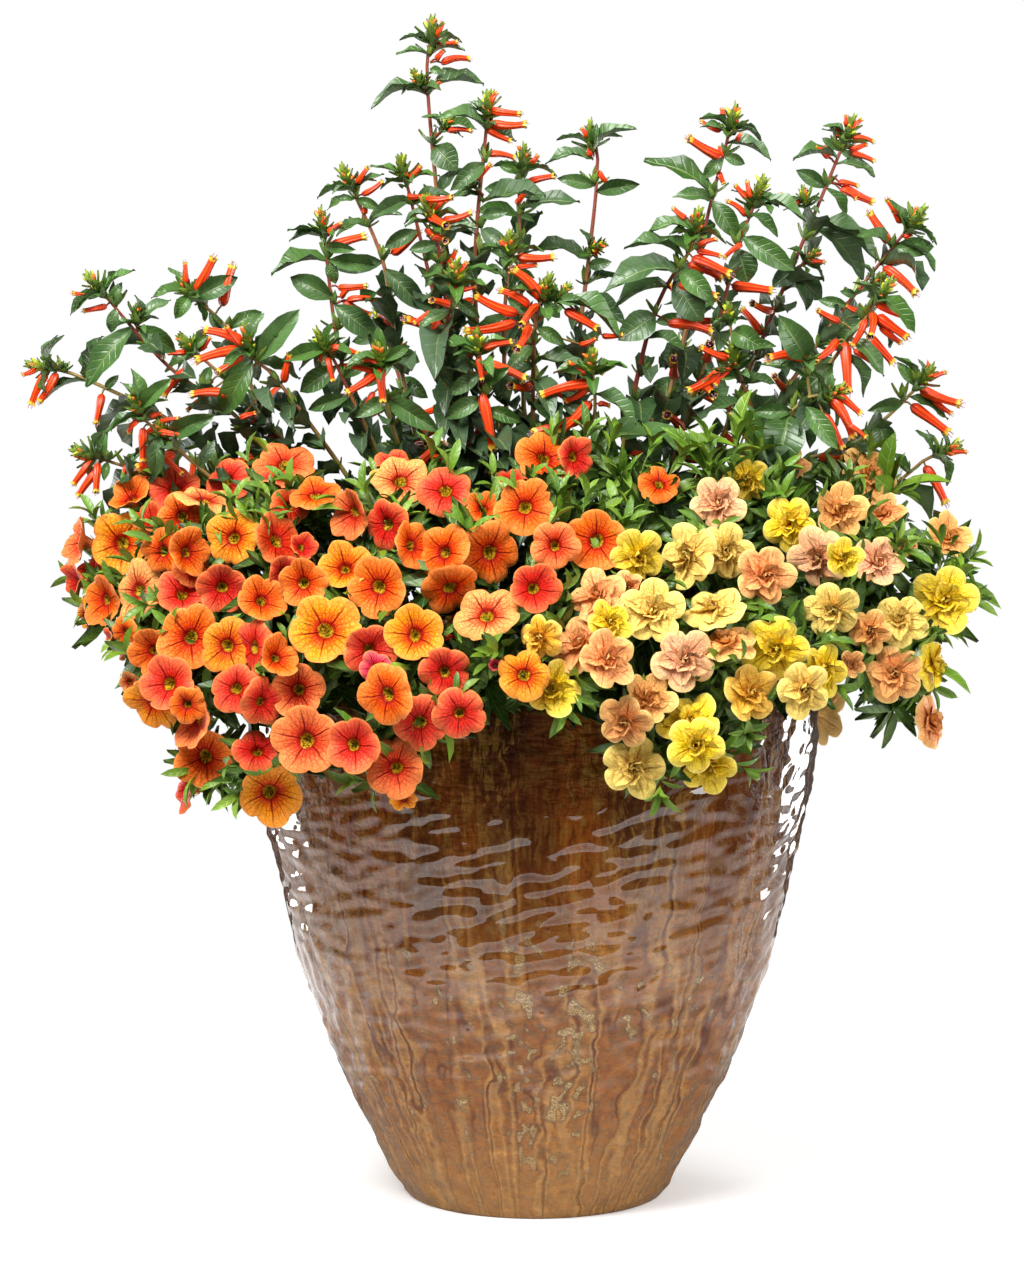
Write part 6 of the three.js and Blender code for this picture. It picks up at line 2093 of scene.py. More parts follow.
@dataclass
class Workbench:
    """The shapes that are copied hundreds of times, and the finishes that the plants share."""

    leaves: list[Shape] = field(default_factory=list)
    small_leaves: list[Shape] = field(default_factory=list)
    young: Shape | None = None
    tubes: list[Shape] = field(default_factory=list)
    bud: Shape | None = None
    leaf_forms: int = 5
    small_forms: int = 4
    tube_forms: int = 3
    bloom_forms: int = 9
    blooms: dict[Kind, list[Shape]] = field(default_factory=dict)
    firecracker: list[bpy.types.Material] = field(default_factory=list)
    flower: list[bpy.types.Material] = field(default_factory=list)
    trailing: list[bpy.types.Material] = field(default_factory=list)
    petals: dict[Kind, list[bpy.types.Material]] = field(default_factory=dict)

    def prepare(self) -> None:
        """Makes every shape and finish."""
        self.leaves = [self.firecracker_leaf(k) for k in range(self.leaf_forms)]
        self.small_leaves = [self.calibrachoa_leaf(k) for k in range(self.small_forms)]
        self.young = self.young_leaf()
        self.tubes = [self.tube_flower(k) for k in range(self.tube_forms)]
        bud = [(0.0, 0.0), (0.02, 0.35), (0.25, 0.9), (0.5, 1.0), (0.8, 0.6), (1.0, 0.0)]
        self.bud = turned(bud, 5).finished(2)
        self.blooms = {
            Kind.SINGLE: [self.single_bloom(k) for k in range(self.bloom_forms)],
            Kind.DOUBLE: [self.double_bloom(k) for k in range(self.bloom_forms)],
        }
        self.mix_finishes()

    def mix_finishes(self) -> None:
        """Makes the finishes, in the order of the shapes' finish numbers."""
        leaf = LeafFinish(
            "firecracker_leaf", rib="8FA060", underside="7E9468",
            vein_pairs=8.0, vein_strength=0.09, roughness=0.3,
        ).material()
        bark = BarkFinish(
            "firecracker_bark", high="8E3C26", low="A08C48", turn_low=0.46, turn_high=0.6, unevenness=0.5,
        ).material()
        tip = PlainFinish("firecracker_tip", shade="A8B838").material()
        self.firecracker = [leaf, bark, tip]
        tube = TubeFinish().material()
        stamen = PlainFinish("tube_flower_stamens", shade="D8A8B4", share=0.8).material()
        self.flower = [tube, stamen, tip]
        small = LeafFinish(
            "calibrachoa_leaf", rib="9CC060", underside="86AC50",
            vein_pairs=5.0, vein_strength=0.16, roughness=0.36,
        ).material()
        stalk = BarkFinish(
            "calibrachoa_stalk", high="6A8A34", low="76863C", turn_low=0.2, turn_high=0.3,
        ).material()
        self.trailing = [small, stalk]
        single = PetalFinish(
            "single_petal", vein="940C04", vein_strength=1.0, rim="FFAA5C", rim_share=0.36,
            throat="D2A820", throat_reach=0.215, heart="6A4A08",
            ring="DC2406", ring_reach=0.75, ring_share=0.88,
        ).material()
        # the ring's orange here is partly the petals' own colour and partly painted shade at the bases of the
        # inner petals
        double = PetalFinish(
            "double_petal", vein="A8440C", vein_strength=0.62, rim="FFEC94", rim_share=0.3,
            throat="C88418", throat_reach=0.07, heart="8A4C10",
            ring="F08A24", ring_reach=0.5, ring_share=0.7,
        ).material()
        self.petals = {Kind.SINGLE: [single, small, stalk], Kind.DOUBLE: [double, small, stalk]}

    @staticmethod
    def firecracker_leaf(variant: int) -> Shape:
        """A pointed oval leaf with a short stalk, folded along its midrib and bowed to its tip.

        Args:
            variant: which of the leaf's forms.

        Returns:
            The leaf, one long.
        """
        arch = 0.1 + 0.12 * chance(variant, 1)
        fold = 0.08 + 0.1 * chance(variant, 2)
        wave = 0.03 + 0.03 * chance(variant, 3)
        droop = 0.05 * chance(variant, 4)
        stalk = 0.05

        def outline(u: float) -> float:
            """Half the width: a thin stalk and an oval body."""
            if u >= 1 - RIM:
                return 0.0
            body = max(0.0, u - stalk) / (1 - stalk)
            return 0.5 * (stalk + (1 - stalk) * (body ** 0.75 * (1 - body) ** 0.9) / 0.325)

        def lift(u: float, v: float) -> float:
            """The height: an arch, a fold along the midrib and a waved margin."""
            rise = arch * math.sin(math.pi * min(1.0, u * 1.05)) - droop * u * u * (1 - u) * 6
            return rise + fold * abs(v) * outline(u) * 2 + wave * math.sin(13 * u + 2 * v + variant) * abs(v)

        return sheet(7, 4, outline, lift, 0.012)

    @staticmethod
    def young_leaf() -> Shape:
        """A tiny pointed leaf, as it stands at tips and beside older leaves."""

        def outline(u: float) -> float:
            """Half the width, broadest before the middle."""
            return 0.5 * (0.3 + 0.7 * math.sin(math.pi * min(1.0, 0.15 + 0.85 * u))) * (u < 1 - RIM)

        return sheet(3, 2, outline, lambda u, v: 0.14 * u * u + 0.1 * abs(v), 0.03)

    @staticmethod
    def calibrachoa_leaf(variant: int) -> Shape:
        """A narrow blunt leaf that widens towards its tip.

        Args:
            variant: which of the leaf's forms.

        Returns:
            The leaf, one long.
        """
        arch = 0.05 + 0.09 * chance(variant, 5)
        curl = 0.1 + 0.15 * chance(variant, 6)

        def outline(u: float) -> float:
            """Half the width, broadest past the middle."""
            return 0.5 * (0.16 + 0.84 * math.sin(math.pi * min(1.0, u ** 1.15)) ** 0.8) * (u < 1 - RIM)

        def lift(u: float, v: float) -> float:
            """The height: an arch and raised sides."""
            return arch * math.sin(math.pi * u) + curl * abs(v) * outline(u) - 0.08 * u * u

        return sheet(5, 2, outline, lift, 0.02)

    @staticmethod
    def tube_flower(variant: int) -> Shape:
        """A tube flower with an open toothed mouth and stamens that reach out of it.

        Args:
            variant: which of the flower's forms.

        Returns:
            The flower, one long.
        """
        swell = 0.9 + 0.15 * chance(variant, 7)
        bow = 0.5 + 0.6 * chance(variant, 8)
        stamens = 5
        rows = [
            (0.0, 0.0, 0.0), (0.0, 0.35, 0.02), (0.035, 0.66, 0.05), (0.10, 0.96 * swell, 0.12),
            (0.22, 1.0, 0.25), (0.45, 0.86, 0.45), (0.68, 0.74, 0.66), (0.86, 0.70, 0.82),
            (0.93, 0.76, 0.9), (0.985, 0.92, 0.945), (0.965, 0.72, 0.965), (0.90, 0.56, 0.98),
            (0.80, 0.0, 1.0),
        ]

        def bend(corners: np.ndarray) -> np.ndarray:
            """Gives the tube six ribs, a tooth to each at the mouth, and a bow.

            Args:
                corners: the straight tube's corners.

            Returns:
                The bent tube's corners.
            """
            corners = corners.copy()
            radius = np.hypot(corners[:, 1], corners[:, 2])
            angle = np.arctan2(corners[:, 2], corners[:, 1])
            teeth = np.where((corners[:, 0] > 0.95) & (radius > 0.8), 0.03 * np.cos(6 * angle), 0.0)
            ribs = 1 + 0.035 * np.cos(6 * angle)
            corners[:, 0] += teeth
            corners[:, 1] *= ribs
            corners[:, 2] = corners[:, 2] * ribs + bow * np.sin(np.pi * corners[:, 0])
            return corners

        parts = [turned([row[:2] for row in rows], 12, [row[2] for row in rows]).bent(bend)]
        hair = turned([(0.0, 0.0), (0.05, 0.06), (0.9, 0.05), (0.95, 0.13), (1.0, 0.0)], 4).finished(1)
        for k in range(stamens):
            lean = 2 * math.pi * (k + chance(variant, k, 9)) / stamens
            side = np.array([0.0, math.cos(lean), math.sin(lean)])
            reach = 0.16 + 0.14 * chance(variant, k, 10)
            axis = np.array([reach, 0.0, 0.0]) + side * 0.35 * chance(variant, k, 11)
            axes = np.array([axis, [0.0, 1.0, 0.0], UP])
            parts.append(hair.moved(axes, (0.86, *(side[1:] * 0.3))))
        return Shape.joined(parts)
    @staticmethod
    def lobed(variant: int, rows: Sequence[tuple], steps: int, notch: float, ruffle: float) -> Shape:
        """A five-lobed face spun from its profile, with the pattern's place laid flat on it.

        Args:
            variant: which of the kind's forms.
            rows: radius, height and 1 on the back, from the throat over the rim to the neck.
            steps: sides of the spin.
            notch: how deep the face is cut between lobes.
            ruffle: how far the rim waves.

        Returns:
            The face, with radius one.
        """
        spun = turned([(height, radius) for radius, height, _ in rows], steps)
        radii = np.hypot(spun.corners[:, 1], spun.corners[:, 2])
        angle = np.arctan2(spun.corners[:, 2], spun.corners[:, 1])
        height = spun.corners[:, 0].copy()
        outer = np.clip((radii - 0.25) / 0.75, 0, 1)
        cleft = 1 - np.abs(np.cos(2.5 * angle)) ** 0.6
        odd = np.zeros_like(angle)
        for k in range(1, 4):
            odd += (chance(variant, k, 12) - 0.5) * np.cos(k * angle + phase(variant, k, 13))
        reach = radii * (1 - notch * cleft * outer ** 1.5 + 0.09 * odd * outer)
        cupped = (chance(variant, 14) - 0.35) * 0.5
        wave = np.sin(5 * angle + phase(variant, 15)) + 0.6 * np.sin(11 * angle + phase(variant, 16))
        height += ruffle * wave * outer ** 2 + cupped * outer ** 2 - 0.17 * cleft * outer
        height += 0.36 * (chance(variant, 17) - 0.5) * np.cos(2 * angle + phase(variant, 18)) * outer
        corners = np.stack([reach * np.cos(angle), reach * np.sin(angle), height], axis=1)
        places = np.stack([radii * np.cos(angle), radii * np.sin(angle)], axis=1)
        marks = np.array([back for _, _, back in rows])
        share = spun.places[:, 0] * (len(rows) - 1)
        under = np.interp(share, np.arange(len(rows)), marks)
        return Shape(corners, places, under, spun.loops, spun.totals, spun.finishes)

    @classmethod
    def single_bloom(cls, variant: int) -> Shape:
        """A flat trumpet with five shallow lobes, a deep throat and a neck behind it.

        Args:
            variant: which of the bloom's forms.

        Returns:
            The bloom, with radius one.
        """
        rows = [
            (0.0, -0.48, 0), (0.11, -0.45, 0), (0.17, -0.24, 0), (0.25, -0.12, 0), (0.42, -0.03, 0),
            (0.64, 0.035, 0), (0.84, 0.06, 0), (0.96, 0.03, 0), (1.0, -0.01, 0.5), (0.85, -0.01, 1),
            (0.5, -0.05, 1), (0.26, -0.18, 1), (0.18, -0.5, 1), (0.12, -0.74, 1), (0.0, -0.78, 1),
        ]
        face = cls.lobed(variant, rows, 50, 0.15, 0.07)
        return Shape.joined([face, *cls.sepals(variant, 0.62)])

    @classmethod
    def double_bloom(cls, variant: int) -> Shape:
        """A five-petalled face with three whorls of ruffled petals in its heart.

        Args:
            variant: which of the bloom's forms.

        Returns:
            The bloom, with radius one.
        """
        rows = [
            (0.0, -0.02, 0), (0.2, -0.02, 0), (0.4, 0.01, 0), (0.6, 0.045, 0), (0.8, 0.05, 0),
            (0.95, 0.02, 0), (1.0, -0.02, 0.5), (0.92, -0.04, 1), (0.7, -0.03, 1), (0.45, -0.08, 1),
            (0.25, -0.22, 1), (0.17, -0.5, 1), (0.1, -0.68, 1), (0.0, -0.72, 1),
        ]
        face = cls.lobed(variant, rows, 50, 0.28, 0.075)
        whorls = [face, *cls.sepals(variant, 0.58)]
        rings = ((5, 0.74, 0.6, 13), (5, 0.5, 0.52, 38), (4, 0.34, 0.42, 66))
        for ring, (count, reach, wide, rise) in enumerate(rings):
            for k in range(count):
                whorls.append(cls.inner_petal(variant, ring, k, count, reach, wide, rise))
        return Shape.joined(whorls)

    @staticmethod
    def inner_petal(
        variant: int, ring: int, k: int, count: int, reach: float, wide: float, rise: float,
    ) -> Shape:
        """One petal of an inner whorl.

        Args:
            variant: which of the kind's forms.
            ring: the whorl.
            k: the petal's number in it.
            count: petals in the whorl.
            reach: its length.
            wide: its width.
            rise: its angle above the face in degrees.

        Returns:
            The petal in the bloom's frame.
        """
        key = variant * 40 + ring * 10 + k
        roll = 0.25 + 0.5 * chance(key, 20)

        def outline(u: float) -> float:
            """Half the width, blunt at the tip."""
            wide_part = 0.35 + 0.65 * math.sin(math.pi * min(1.0, 0.1 + 0.68 * u)) ** 0.7
            return 0.5 * wide_part * (1.0 if u < 1 - RIM else 0.5)

        def lift(u: float, v: float) -> float:
            """The height: rolled sides and a ruffle, bent out in the first whorl alone."""
            ruffle = 0.07 * math.sin(4 * v + phase(key, 21)) * u
            return roll * v * v * 0.34 + ruffle + 0.16 * u * u * (1 if ring else -1)

        petal = sheet(3, 4, outline, lift, 0.03, 0.2)
        turn = 2 * math.pi * (k + 0.5 * (ring % 2) + 0.35 * (chance(key, 22) - 0.5)) / count + 0.3 * ring
        tilt = math.radians(rise + 26 * (chance(key, 23) - 0.5))
        out = np.array([math.cos(turn), math.sin(turn), 0.0])
        axis = out * math.cos(tilt) + UP * math.sin(tilt)
        face = UP * math.cos(tilt) - out * math.sin(tilt)
        axes = axes_along(axis, about(face, axis, 0.35 + 0.5 * (chance(key, 24) - 0.5)))
        length = reach * (0.85 + 0.3 * chance(key, 25))
        placed = petal.moved(axes, out * 0.04 + UP * 0.01, (length, wide, length))
        share = np.clip(petal.places[:, 0], 0, 1) * 0.9
        places = np.stack([share, petal.places[:, 1] * 0.28 * share], axis=1)
        return replace(placed, places=places)

    @staticmethod
    def sepals(variant: int, depth: float) -> list[Shape]:
        """The narrow green leaves that clasp a bloom's neck.

        Args:
            variant: which of the bloom's forms.
            depth: how far behind the face they stand.

        Returns:
            The five leaves.
        """
        count = 5

        def outline(u: float) -> float:
            """Half the width, pointed at the tip."""
            return 0.5 * math.sin(math.pi * min(1, 0.2 + 0.8 * u)) * (u < 1 - RIM)

        blade = sheet(3, 2, outline, lambda u, v: 0.1 * u * u, 0.03).finished(1)
        found = []
        for k in range(count):
            turn = 2 * math.pi * (k + 0.3 * chance(variant, k, 26)) / count
            out = np.array([math.cos(turn), math.sin(turn), 0.0])
            axes = axes_along(out * 0.42 + UP * 0.9, out)
            found.append(blade.moved(axes, out * 0.12 - UP * (depth + 0.14), (0.5, 0.13, 0.5)))
        return found


@dataclass
class GlazedPot:
    """The thrown pot: a narrow foot, a full shoulder and an upright rim, hammered all over outside."""

    foot_radius: float = 82.0
    rim_radius: float = 180.0
    rim_top: float = 335.0
    wall: float = 9.0
    floor: float = 12.0
    profile: tuple = (
        (19, 93), (44, 106), (82, 124), (121, 139), (159, 152), (209, 163), (247, 172), (286, 178),
    )
    sides: int = 330
    row_step: float = 1.95
    dimple: tuple[float, float] = (17.0, 6.8)
    climb: float = 0.18
    relief: float = 0.3
    lump: tuple[float, float] = (9.0, 12.0)
    lump_height: float = 0.34
    run: tuple[float, float] = (13.0, 60.0)
    run_height: float = 0.6
    top_relief: float = 0.45
    run_low: float = 110.0
    run_high: float = 240.0
    noise_spread: float = 0.27
    firm_low: float = 170.0
    foot_middle: float = 40.0
    foot_ring: tuple = ((0.0, 14), (0.0, 1.5), (0.6, 0.3))
    lip: tuple = ((3, 0.6), (1, 1.8), (0, 4.5), (1.2, 7.8))
    inner_levels: tuple = (318, 286, 247, 209, 159, 121, 82, 44, 22)
    shell: float = 4.0

    def outer(self, height: float) -> float:
        """The outer radius at a height."""
        rows = [(0, self.foot_radius), *self.profile, (self.rim_top, self.rim_radius)]
        return float(np.interp(height, [row[0] for row in rows], [row[1] for row in rows]))

    def section(self) -> list[tuple[float, float]]:
        """The wall's section, from the middle of the foot, up outside, over the rim and down inside.

        Returns:
            Height and radius of each point.
        """
        radius = self.rim_radius
        top = self.rim_top
        rows = [(0, self.foot_radius), *self.profile, (top - 6, radius - 0.4)]
        curve = Line.smooth([np.array([float(r), float(z), 0.0]) for z, r in rows], self.row_step)
        under = [(0.0, 0.0), (0.0, self.foot_middle)]
        under += [(height, self.foot_radius - inset) for height, inset in self.foot_ring]
        outside = [(float(z), float(r)) for r, z, _ in curve[1:]]
        lip = [(top - down, radius - inset) for down, inset in self.lip]
        inner = [(top - 4, radius - self.wall)]
        inner += [(z, self.outer(z) - self.wall) for z in self.inner_levels]
        inner += [(self.floor, self.outer(self.floor) - self.wall - 6)]
        inner += [(self.floor, self.foot_middle), (self.floor, 0.0)]
        return [*under, *outside, *lip, *inner]

    def noise_at(self, corners: np.ndarray, size: tuple[float, float], shift: float) -> np.ndarray:
        """Soft noise with a spread of about one.

        Args:
            corners: the points.
            size: how wide and how high its lumps are.
            shift: what sets one noise apart from another.

        Returns:
            The noise at each point.
        """
        wide, high = size
        places = corners / np.array([wide, wide, high]) + shift
        return np.array([noise.noise(place) for place in places.tolist()]) / self.noise_spread

    def hammered(self, corners: np.ndarray) -> np.ndarray:
        """How far the outside stands out: dents that climb to the right, and thick runs lower down.

        Args:
            corners: the points.

        Returns:
            The relief at each point.
        """
        wide, high = self.dimple
        climbing = corners - np.outer(self.climb * corners[:, 0], UP)
        dents = self.noise_at(climbing, (wide, high), 0.5)
        dents += 0.45 * self.noise_at(corners, (wide / 2, high), 9.5)
        level = corners[:, 2]
        share = np.clip((self.run_high - level) / (self.run_high - self.run_low), 0.1, 1)
        runs = self.noise_at(corners, self.run, 19.5)
        lumps = self.noise_at(corners, self.lump, 29.5)
        firm = np.clip((level - self.firm_low) / (self.run_high - self.firm_low), 0, 1)
        thick = self.run_height * runs + self.lump_height * lumps
        return self.relief * (1 + self.top_relief * firm) * dents + share * thick

    def build(self) -> bpy.types.Object:
        """Spins the pot, hammers it and glazes it.

        Returns:
            The piece.
        """
        bm = bmesh.new()
        verts = [bm.verts.new((radius * MM, 0.0, height * MM)) for height, radius in self.section()]
        edges = [bm.edges.new(pair) for pair in zip(verts, verts[1:])]
        bmesh.ops.spin(
            bm, geom=verts + edges, axis=(0, 0, 1), cent=(0, 0, 0), steps=self.sides,
            angle=2 * math.pi, use_merge=True,
        )
        bmesh.ops.remove_doubles(bm, verts=bm.verts, dist=1e-6)
        bmesh.ops.recalc_face_normals(bm, faces=bm.faces)
        mesh = bpy.data.meshes.new("pot_glazed")
        bm.to_mesh(mesh)
        bm.free()
        corners = corners_of(mesh)
        radius = np.hypot(corners[:, 0], corners[:, 1])
        level = corners[:, 2]
        wall = np.array([self.outer(z) for z in level])
        outside = radius > wall - self.shell
        calm = np.clip(level / 8, 0, 1) * np.clip((self.rim_top - 5 - level) / 10, 0, 1) * outside
        relief = self.hammered(corners) * calm
        grow = (radius + relief - 2 * self.relief) / np.maximum(radius, 1)
        corners[:, :2] *= np.where(outside & (level > 1), grow, 1.0)[:, None]
        mesh.vertices.foreach_set("co", (corners * MM).astype(np.float32).ravel())
        mesh.polygons.foreach_set("use_smooth", np.ones(len(mesh.polygons), bool))
        mesh.update()
        mesh.set_sharp_from_angle(angle=math.radians(60))
        mesh.materials.append(GlazeFinish().material())
        return seated(shown("pot_glazed", mesh), ["pot"])


@dataclass
class SoilFill:
    """The soil that fills the pot, a little crowned, with bark crumbs on top."""

    top: float = ROOTING.soil_top
    crown: float = 4.0
    gap: float = 0.4
    sides: int = 72
    crumbs: int = 420
    crumb_size: float = 1.2
    crumb_growth: float = 2.6
    tint: tuple = (0.1, 0.07, 0.05)

    def build(self, pot: GlazedPot) -> bpy.types.Object:
        """Makes the fill.

        Args:
            pot: the pot that it fills.

        Returns:
            The piece.
        """
        gap = pot.wall + self.gap
        floor = pot.floor + self.gap
        profile = [(floor, 0.0), (floor, pot.outer(pot.floor) - pot.wall - 8)]
        profile += [(z, pot.outer(z) - gap) for z in (44, 121, 209, 286, 312)]
        profile += [(self.top, pot.outer(self.top) - gap - 2)]
        reach = pot.outer(self.top) - gap - 6
        profile += [(self.top + self.crown * (1 - (r / reach) ** 2), r) for r in np.linspace(reach, 0, 18)]
        rng = np.random.default_rng(SEED + 1)

        def uneven(corners: np.ndarray) -> np.ndarray:
            """Lets the top rise and fall a little.

            Args:
                corners: the even soil's corners.

            Returns:
                The uneven soil's corners.
            """
            corners = corners.copy()
            on_top = corners[:, 0] > self.top
            corners[:, 0] += on_top * (rng.random(len(corners)) - 0.7) * 2.2
            return corners

        bunch = Bunch("soil_fill", [SoilFinish().material()])
        body = turned(profile, self.sides).bent(uneven)
        upright = np.array([UP, [1.0, 0.0, 0.0], [0.0, 1.0, 0.0]])
        bunch.add(body, upright, np.zeros(3), (1, 1, 1), self.tint)
        crumb = turned([(-1.0, 0.0), (-0.5, 0.8), (0.4, 0.9), (1.0, 0.0)], 5)
        for k in range(self.crumbs):
            turn = 2 * math.pi * chance(k, 31)
            out = reach * math.sqrt(chance(k, 32)) * 0.97
            place = np.array([out * math.cos(turn), out * math.sin(turn), 0.0])
            place[2] = self.top + self.crown * (1 - (out / reach) ** 2) + 0.2
            size = self.crumb_size + self.crumb_growth * chance(k, 33)
            axis = np.array([chance(k, 34) - 0.5, chance(k, 35) - 0.5, 0.4 * (chance(k, 36) - 0.5)])
            bunch.add(crumb, axes_along(axis, UP), place, (size * 1.6, size, size * 0.6), self.tint)
        return bunch.piece(["soil"], "soil")


TINTS = {
    "coral": "FF4436", "orange": "FF7204", "gold": "FFA004", "peach": "FF7840", "apricot": "FFB464",
    "red": "EA2424", "rose": "F83A70", "dark": "CE3A0A", "tan": "F4A460", "lemon": "FFE01C",
    "cream": "FFE070", "pink": "FFBE92", "ochre": "FFC234", "salmon": "FFA868",
}
FULLNESS = {Kind.SINGLE: 1.02, Kind.DOUBLE: 1.1}
HEARTS = {Kind.SINGLE: -5.0, Kind.DOUBLE: 1.35}


def sway(key: int, first: int) -> np.ndarray:
    """A vector with each of its three numbers between -1 and 1."""
    return np.array([spread(-1, 1, key, first + n) for n in range(3)])


def leaf_up(foot: np.ndarray, tip: np.ndarray, seen: float, slender: float = 0.36) -> np.ndarray:
    """The upper side of a blade as it is seen: a narrow one on edge, a wide one on its face.

    Args:
        foot: the blade's foot.
        tip: the blade's tip.
        seen: its seen width.
        slender: the width of a blade on its face, as a share of its length.

    Returns:
        The direction to which its upper side looks.
    """
    axis = unit(tip - foot)
    lift = unit(np.cross(axis, -VIEW.forward))
    if lift[2] < 0:
        lift = -lift
    share = min(1.0, seen / (slender * float(np.linalg.norm(tip - foot))))
    return -VIEW.forward * share + lift * math.sqrt(1 - share * share)


def leaf_trials(row: tuple, samples: Sequence[np.ndarray], key: int) -> list[tuple]:
    """The places at which a leaf may stand.

    Args:
        row: pixels of foot and tip, and the seen width.
        samples: points along what carries it.
        key: the leaf's number.

    Returns:
        Foot and tip of each trial.
    """
    foot_x, foot_y, tip_x, tip_y = row[:4]
    root = samples[nearest_seen(samples, foot_x, foot_y)]
    foot = VIEW.at(foot_x, foot_y, root[1])
    length = math.hypot(tip_x - foot_x, tip_y - foot_y) * VIEW.scale
    run = (chance(key, 1) - 0.6) * 0.7 * length
    return [
        (foot, VIEW.at(tip_x + sway, tip_y - abs(sway) / 2, root[1] + run + shift * length))
        for shift in (0, -0.2, 0.2, -0.4, 0.4, -0.6, 0.6, 0.9)
        for sway in (0, 5, -5, 10, -10)
    ]


def seen_leaf(row: tuple, samples: Sequence[np.ndarray], node: NodeShape, key: int) -> tuple:
    """The place that a leaf has in its solid.

    Args:
        row: pixels of foot and tip, and the seen width.
        samples: points along what carries it.
        node: the solid.
        key: the leaf's number.

    Returns:
        Its seat, its tip and its seen width in millimetres.
    """
    trials = leaf_trials(row, samples, key)
    foot, tip = trials[node.first_met([tip for _, tip in trials]) or 0]
    return samples[nearest(samples, foot)], tip, row[4] * VIEW.scale


def tube_trials(row: tuple, samples: Sequence[np.ndarray], key: int) -> list[tuple]:
    """The places at which a tube flower may stand.

    Args:
        row: pixels of foot and mouth, and how far it comes forward if that is known.
        samples: points along what carries it.
        key: the flower's number.

    Returns:
        Foot and mouth of each trial.
    """
    foot_x, foot_y, mouth_x, mouth_y = row[:4]
    forward = row[4] if len(row) > 4 else 0
    root = samples[nearest_seen(samples, foot_x, foot_y)]
    length = math.hypot(mouth_x - foot_x, mouth_y - foot_y) * VIEW.scale
    run = forward or (chance(key, 2) - 0.6) * 0.5 * length
    return [
        (
            VIEW.at(foot_x, foot_y, root[1] + shift / 2),
            VIEW.at(mouth_x + sway / 2, mouth_y + sway, root[1] + run + shift),
        )
        for shift in (0, -4, 4, -8, 8, -12, 12, 16)
        for sway in (0, 4, -4, 8, -8)
    ]


